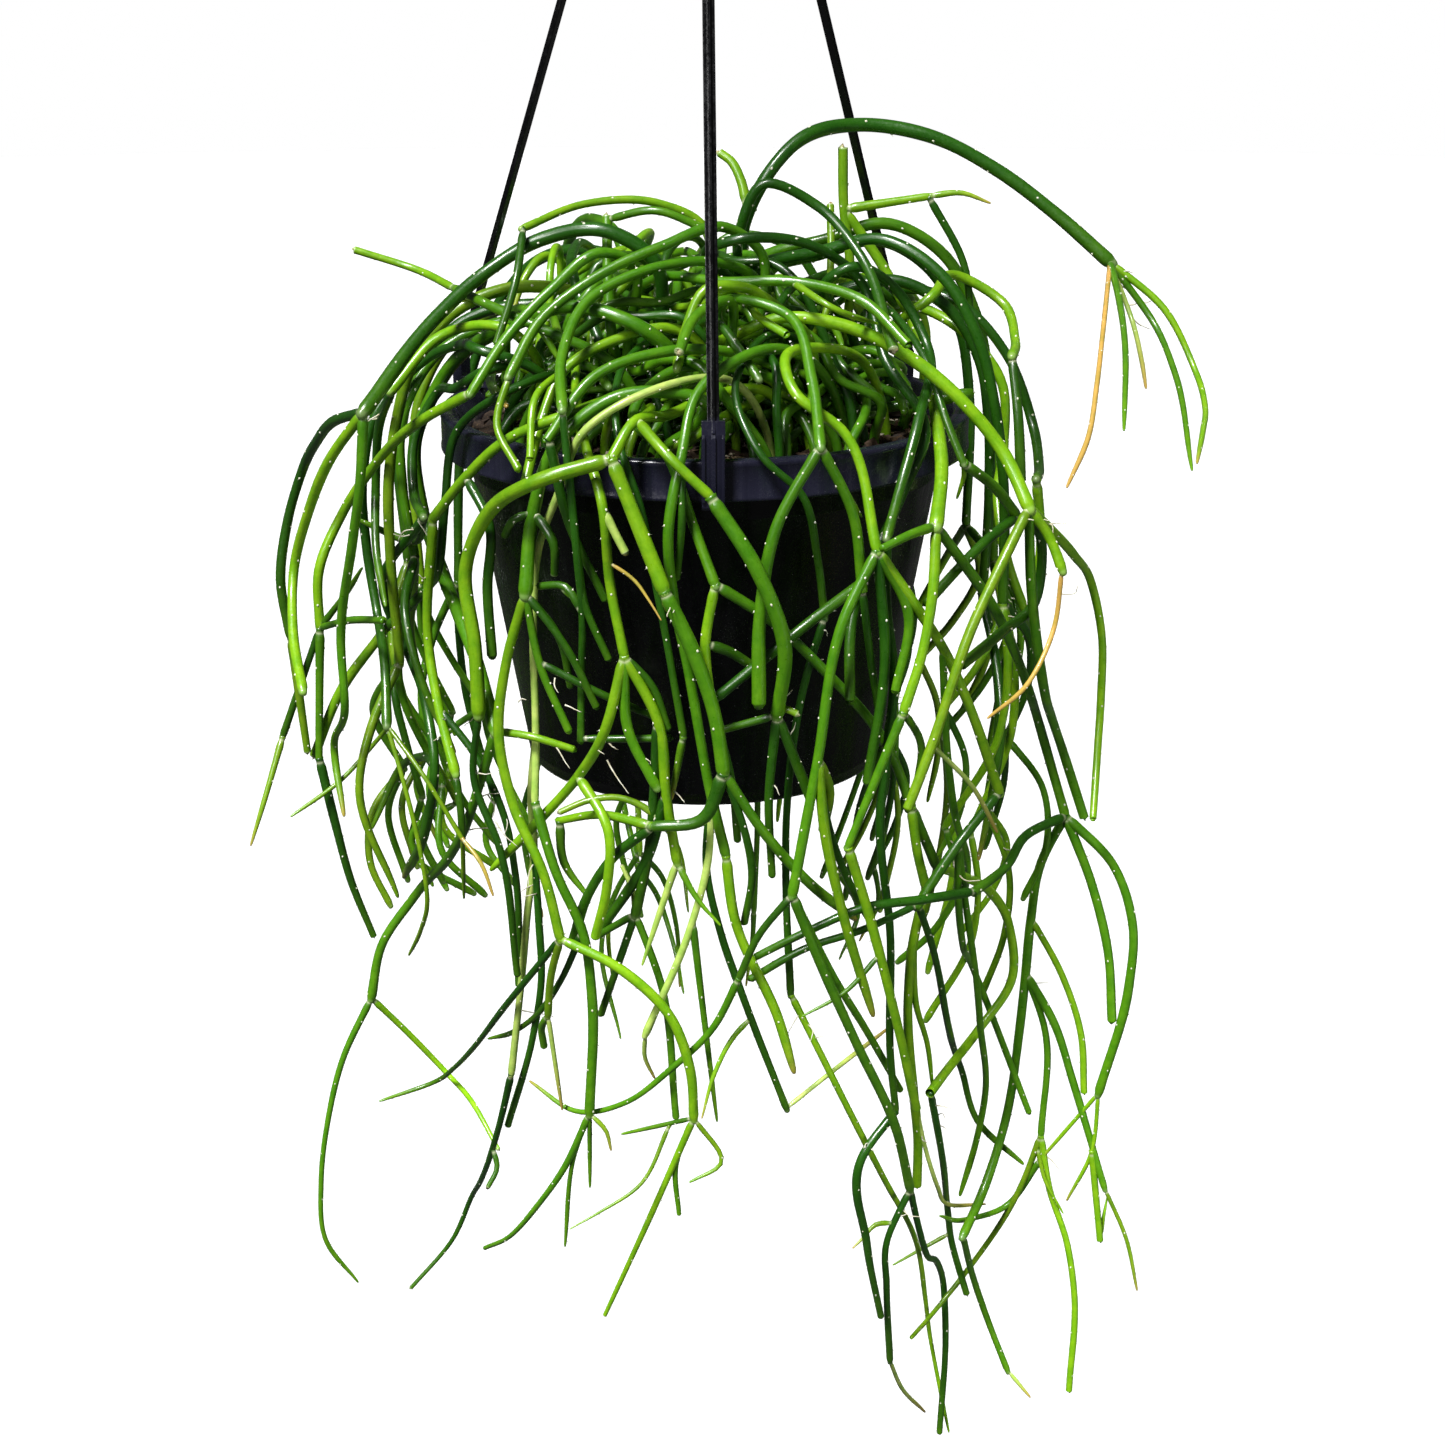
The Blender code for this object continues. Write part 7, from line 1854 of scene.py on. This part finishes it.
class CACTUS_OT_hanger(bpy.types.Operator):
    """Mould the hanger: open hook, hub, three ribbed legs and their rim clips"""
    bl_idname = "cactus.hanger"
    bl_label = "Hanger"

    def execute(self, context):
        form = Form()
        middle = HOOK_BEARING - HOOK_INNER
        bend = HOOK_INNER + HOOK_WIRE
        line = [(0.0, 0.0, APEX + 2.0), (0.0, 0.0, middle - bend - 3.0)]
        for k in range(HOOK_STEPS + 1):
            angle = math.radians(HOOK_START + HOOK_TURN * k / HOOK_STEPS)
            line.append((bend * math.cos(angle), 0.0, middle + bend * math.sin(angle)))
        radii = [HOOK_WIRE] * (len(line) - 4) + [HOOK_WIRE * f for f in (0.98, 0.9, 0.74, 0.45)]
        points, faces, _ = swept(np.array(line), radii, 20)
        form.add(points, faces)
        hub = turned_form([
            (0.0, APEX - HUB_HALF), (HUB_RADIUS - 2.0, APEX - HUB_HALF),
            (HUB_RADIUS, APEX - HUB_HALF + 1.6), (HUB_RADIUS, APEX + HUB_HALF - 3.0),
            (HUB_RADIUS - 1.0, APEX + HUB_HALF - 1.8), (HOOK_WIRE + 1.2, APEX + HUB_HALF - 0.8),
            (HOOK_WIRE + 0.4, APEX + HUB_HALF), (0.0, APEX + HUB_HALF)], 36)
        form.add(np.vstack(hub.points), hub.faces)
        for angle in LEG_ANGLES:
            self.add_leg(form, math.radians(angle), 1000.0 * context.scene.cactus_hanger.rib)
        # The clips, between these two heights, get a painted bluish reflection
        hanger = form.object("moulded_hanger", black_plastic("hanger_plastic_black", 0.10, -0.365, -0.326))
        hanger.data.polygons.foreach_set("use_smooth", [False] * len(hanger.data.polygons))
        face_out(hanger)
        round_edges(hanger, context.scene.cactus_hanger.edge)
        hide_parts("hanger")
        return {"FINISHED"}

    def add_leg(self, form, turn, rib):
        """Adds one leg, its clip over the rim and the clip's rib and wings."""
        out = turn_about(turn, 1.0, 0.0)
        side = np.array((math.cos(turn), math.sin(turn), 0.0))
        top = np.array((0.0, 0.0, APEX - 1.0)) + 2.0 * out
        foot = turn_about(turn, LEG_FOOT_RADIUS - 0.3, LEG_FOOT_UP - 3.0)
        along = unit(foot - top)
        face = np.cross(side, along)
        if face @ out < 0.0:
            face = -face
        section = [(-2.1, -1.1), (2.1, -1.1), (2.1, 0.3), (0.6, 0.3), (0.6, 0.3 + rib),
                   (-0.6, 0.3 + rib), (-0.6, 0.3), (-2.1, 0.3)]
        add_prism(form, section, np.linalg.norm(foot - top),
                  lambda u, v, w: 0.5 * (top + foot) + along * w + side * u + face * v)
        inner = LEDGE_INNER - 4.4
        rim_out = RIM_RADIUS + GAP
        outline = [(inner - 1.6, -5.4), (inner, -5.4), (inner, GAP), (rim_out, GAP),
                   (rim_out, -RIM_BAND - GAP), (RIM_RADIUS - 2.2, -RIM_BAND - GAP),
                   (RIM_RADIUS - 2.2, -RIM_BAND - 2.2), (RIM_RADIUS + 3.0, -RIM_BAND - 2.2),
                   (RIM_RADIUS + 4.0, -RIM_BAND - 1.2), (RIM_RADIUS + 4.0, LEG_FOOT_UP - 3.0),
                   (RIM_RADIUS + 3.0, LEG_FOOT_UP + 1.6), (rim_out + 0.4, LEG_FOOT_UP + 1.6),
                   (rim_out + 0.4, 4.4), (inner - 1.6, 4.4)]
        add_prism(form, outline, CLIP_WIDTH,
                  lambda u, v, w: out * u + side * w + np.array((0.0, 0.0, v)))
        wing = [(RIM_RADIUS + 3.0, -RIM_BAND + 0.2), (RIM_RADIUS + 4.8, -RIM_BAND + 0.8),
                (RIM_RADIUS + 4.8, LEG_FOOT_UP - 4.0), (RIM_RADIUS + 3.0, LEG_FOOT_UP - 1.6)]
        for shift, width in ((0.0, 1.5), (-3.3, 1.0), (3.3, 1.0)):
            add_prism(form, wing, width,
                      lambda u, v, w: out * u + side * (w + shift) + np.array((0.0, 0.0, v)))


# Metres from the plant to the backdrop, the spot below the hook that the lights face, the sun's
# spread in degrees, and the width and height of a light pane
STAGE_REACH = 30.0
LIT_SPOT = (0.0, 0.0, -0.42)
SUN_SPREAD = 13.0
PANE_SIZE = (0.35, 0.8)


class CACTUS_OT_stage(bpy.types.Operator):
    """Set the pale floor and backdrop, the soft lights and the camera"""
    bl_idname = "cactus.stage"
    bl_label = "Stage"

    def execute(self, context):
        settings = context.scene.cactus_stage
        self.lay_floor(settings)
        self.raise_backdrop()
        sun = bpy.data.lights.new("key_light", "SUN")
        sun.energy = settings.key
        sun.angle = math.radians(SUN_SPREAD)
        self.hang_light(sun, (-0.55, -0.75, 1.05))
        for name, power, place in (("window_light", settings.window, (-0.75, -1.15, 0.55)),
                                   ("fill_light", settings.fill, (1.00, -0.75, -0.75)),
                                   ("back_light", settings.back, (0.70, 1.30, 0.35))):
            pane = bpy.data.lights.new(name, "AREA")
            pane.shape = "RECTANGLE"
            pane.size, pane.size_y = PANE_SIZE
            pane.energy = power
            self.hang_light(pane, place)
        bpy.data.objects["fill_light"].visible_glossy = False
        bpy.data.objects["back_light"].visible_glossy = False
        world = bpy.data.worlds.new("studio_air")
        world.use_nodes = True
        world.node_tree.nodes["Background"].inputs["Color"].default_value = (1.0, 1.0, 1.0, 1.0)
        world.node_tree.nodes["Background"].inputs["Strength"].default_value = settings.sky
        context.scene.world = world
        context.scene.view_settings.view_transform = "Standard"
        view = bpy.data.cameras.new("camera")
        view.sensor_width = 36.0
        view.lens = settings.lens
        view.clip_start, view.clip_end = 0.01, 3.0 * STAGE_REACH
        camera = bpy.data.objects.new("camera", view)
        camera.location = in_metres(EYE)[0]
        camera.rotation_euler = (math.pi / 2.0 - EYE_DIP, 0.0, 0.0)
        context.scene.collection.objects.link(camera)
        context.scene.camera = camera
        return {"FINISHED"}

    def lay_floor(self, settings):
        """Lays a large pale floor with a plain, slightly uneven finish."""
        finish = Finish("pale_floor")
        cloud = finish.noise(finish.place(), 1.5, 2.0)
        pale = tuple(settings.floor)
        colour = finish.mix(finish.scaled(cloud, 0.3, 0.7, 0.0, 1.0), pale, tuple(0.985 * c for c in pale))
        finish.set(Base_Color=colour, Roughness=0.9, Specular_IOR_Level=0.1)
        mesh = bpy.data.meshes.new("floor")
        reach, depth = 1.05 * STAGE_REACH, -settings.floor_drop
        mesh.from_pydata([(-reach, -reach, depth), (reach, -reach, depth), (reach, reach, depth),
                          (-reach, reach, depth)], [], [[0, 1, 2, 3]])
        mesh.materials.append(finish.material)
        self.set_aside(mesh)

    def raise_backdrop(self):
        """Raises a plain white dome over the floor, for the views that look past its edge."""
        finish = Finish("white_backdrop")
        finish.set(Base_Color=(0.0, 0.0, 0.0, 1.0), Emission_Color=(1.0, 1.0, 1.0, 1.0),
                   Emission_Strength=1.0, Specular_IOR_Level=0.0)
        mesh = bpy.data.meshes.new("backdrop")
        work = bmesh.new()
        bmesh.ops.create_uvsphere(work, u_segments=48, v_segments=24, radius=STAGE_REACH)
        work.to_mesh(mesh)
        work.free()
        mesh.materials.append(finish.material)
        self.set_aside(mesh).visible_shadow = False

    def set_aside(self, mesh):
        """Adds a piece of the stage that the camera sees and the plant's light doesn't."""
        piece = bpy.data.objects.new(mesh.name, mesh)
        piece.visible_diffuse = False
        piece.visible_glossy = False
        bpy.context.scene.collection.objects.link(piece)
        return piece

    def hang_light(self, lamp, place):
        """Hangs a light at a place so that it faces the plant."""
        light = bpy.data.objects.new(lamp.name, lamp)
        light.location = place
        way = Vector(LIT_SPOT) - Vector(place)
        light.rotation_euler = way.to_track_quat("-Z", "Y").to_euler()
        bpy.context.scene.collection.objects.link(light)


class CACTUS_PT_panel(bpy.types.Panel):
    """Lists the settings and the steps of the build"""
    bl_idname = "CACTUS_PT_panel"
    bl_label = "Hanging Mistletoe Cactus"
    bl_space_type = "VIEW_3D"
    bl_region_type = "UI"
    bl_category = "Cactus"

    def draw(self, context):
        column = self.layout.column(align=True)
        for step in STEPS:
            column.operator(step.bl_idname)
        for name in SETTINGS:
            box = self.layout.box()
            group = getattr(context.scene, name)
            for key in group.__annotations__:
                box.prop(group, key)


SETTINGS = {
    "cactus_pot": PotSettings,
    "cactus_stems": StemSettings,
    "cactus_hanger": HangerSettings,
    "cactus_stage": StageSettings,
}
STEPS = (CACTUS_OT_pot, CACTUS_OT_mix, CACTUS_OT_hanger, CACTUS_OT_shoots, CACTUS_OT_crown,
         CACTUS_OT_twigs, CACTUS_OT_aerial_roots, CACTUS_OT_stage)


def register():
    """Makes the settings, the steps and the panel known to Blender."""
    for kind in (*SETTINGS.values(), *STEPS, CACTUS_PT_panel):
        bpy.utils.register_class(kind)
    for name, kind in SETTINGS.items():
        setattr(bpy.types.Scene, name, PointerProperty(type=kind))


def unregister():
    """Takes back what register made."""
    for name in SETTINGS:
        delattr(bpy.types.Scene, name)
    for kind in reversed((*SETTINGS.values(), *STEPS, CACTUS_PT_panel)):
        bpy.utils.unregister_class(kind)


def main():
    """Registers the add-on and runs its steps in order."""
    register()
    bpy.ops.cactus.pot()
    bpy.ops.cactus.mix()
    bpy.ops.cactus.hanger()
    bpy.ops.cactus.shoots()
    bpy.ops.cactus.crown()
    bpy.ops.cactus.twigs()
    bpy.ops.cactus.aerial_roots()
    bpy.ops.cactus.stage()


if __name__ == "__main__":
    main()
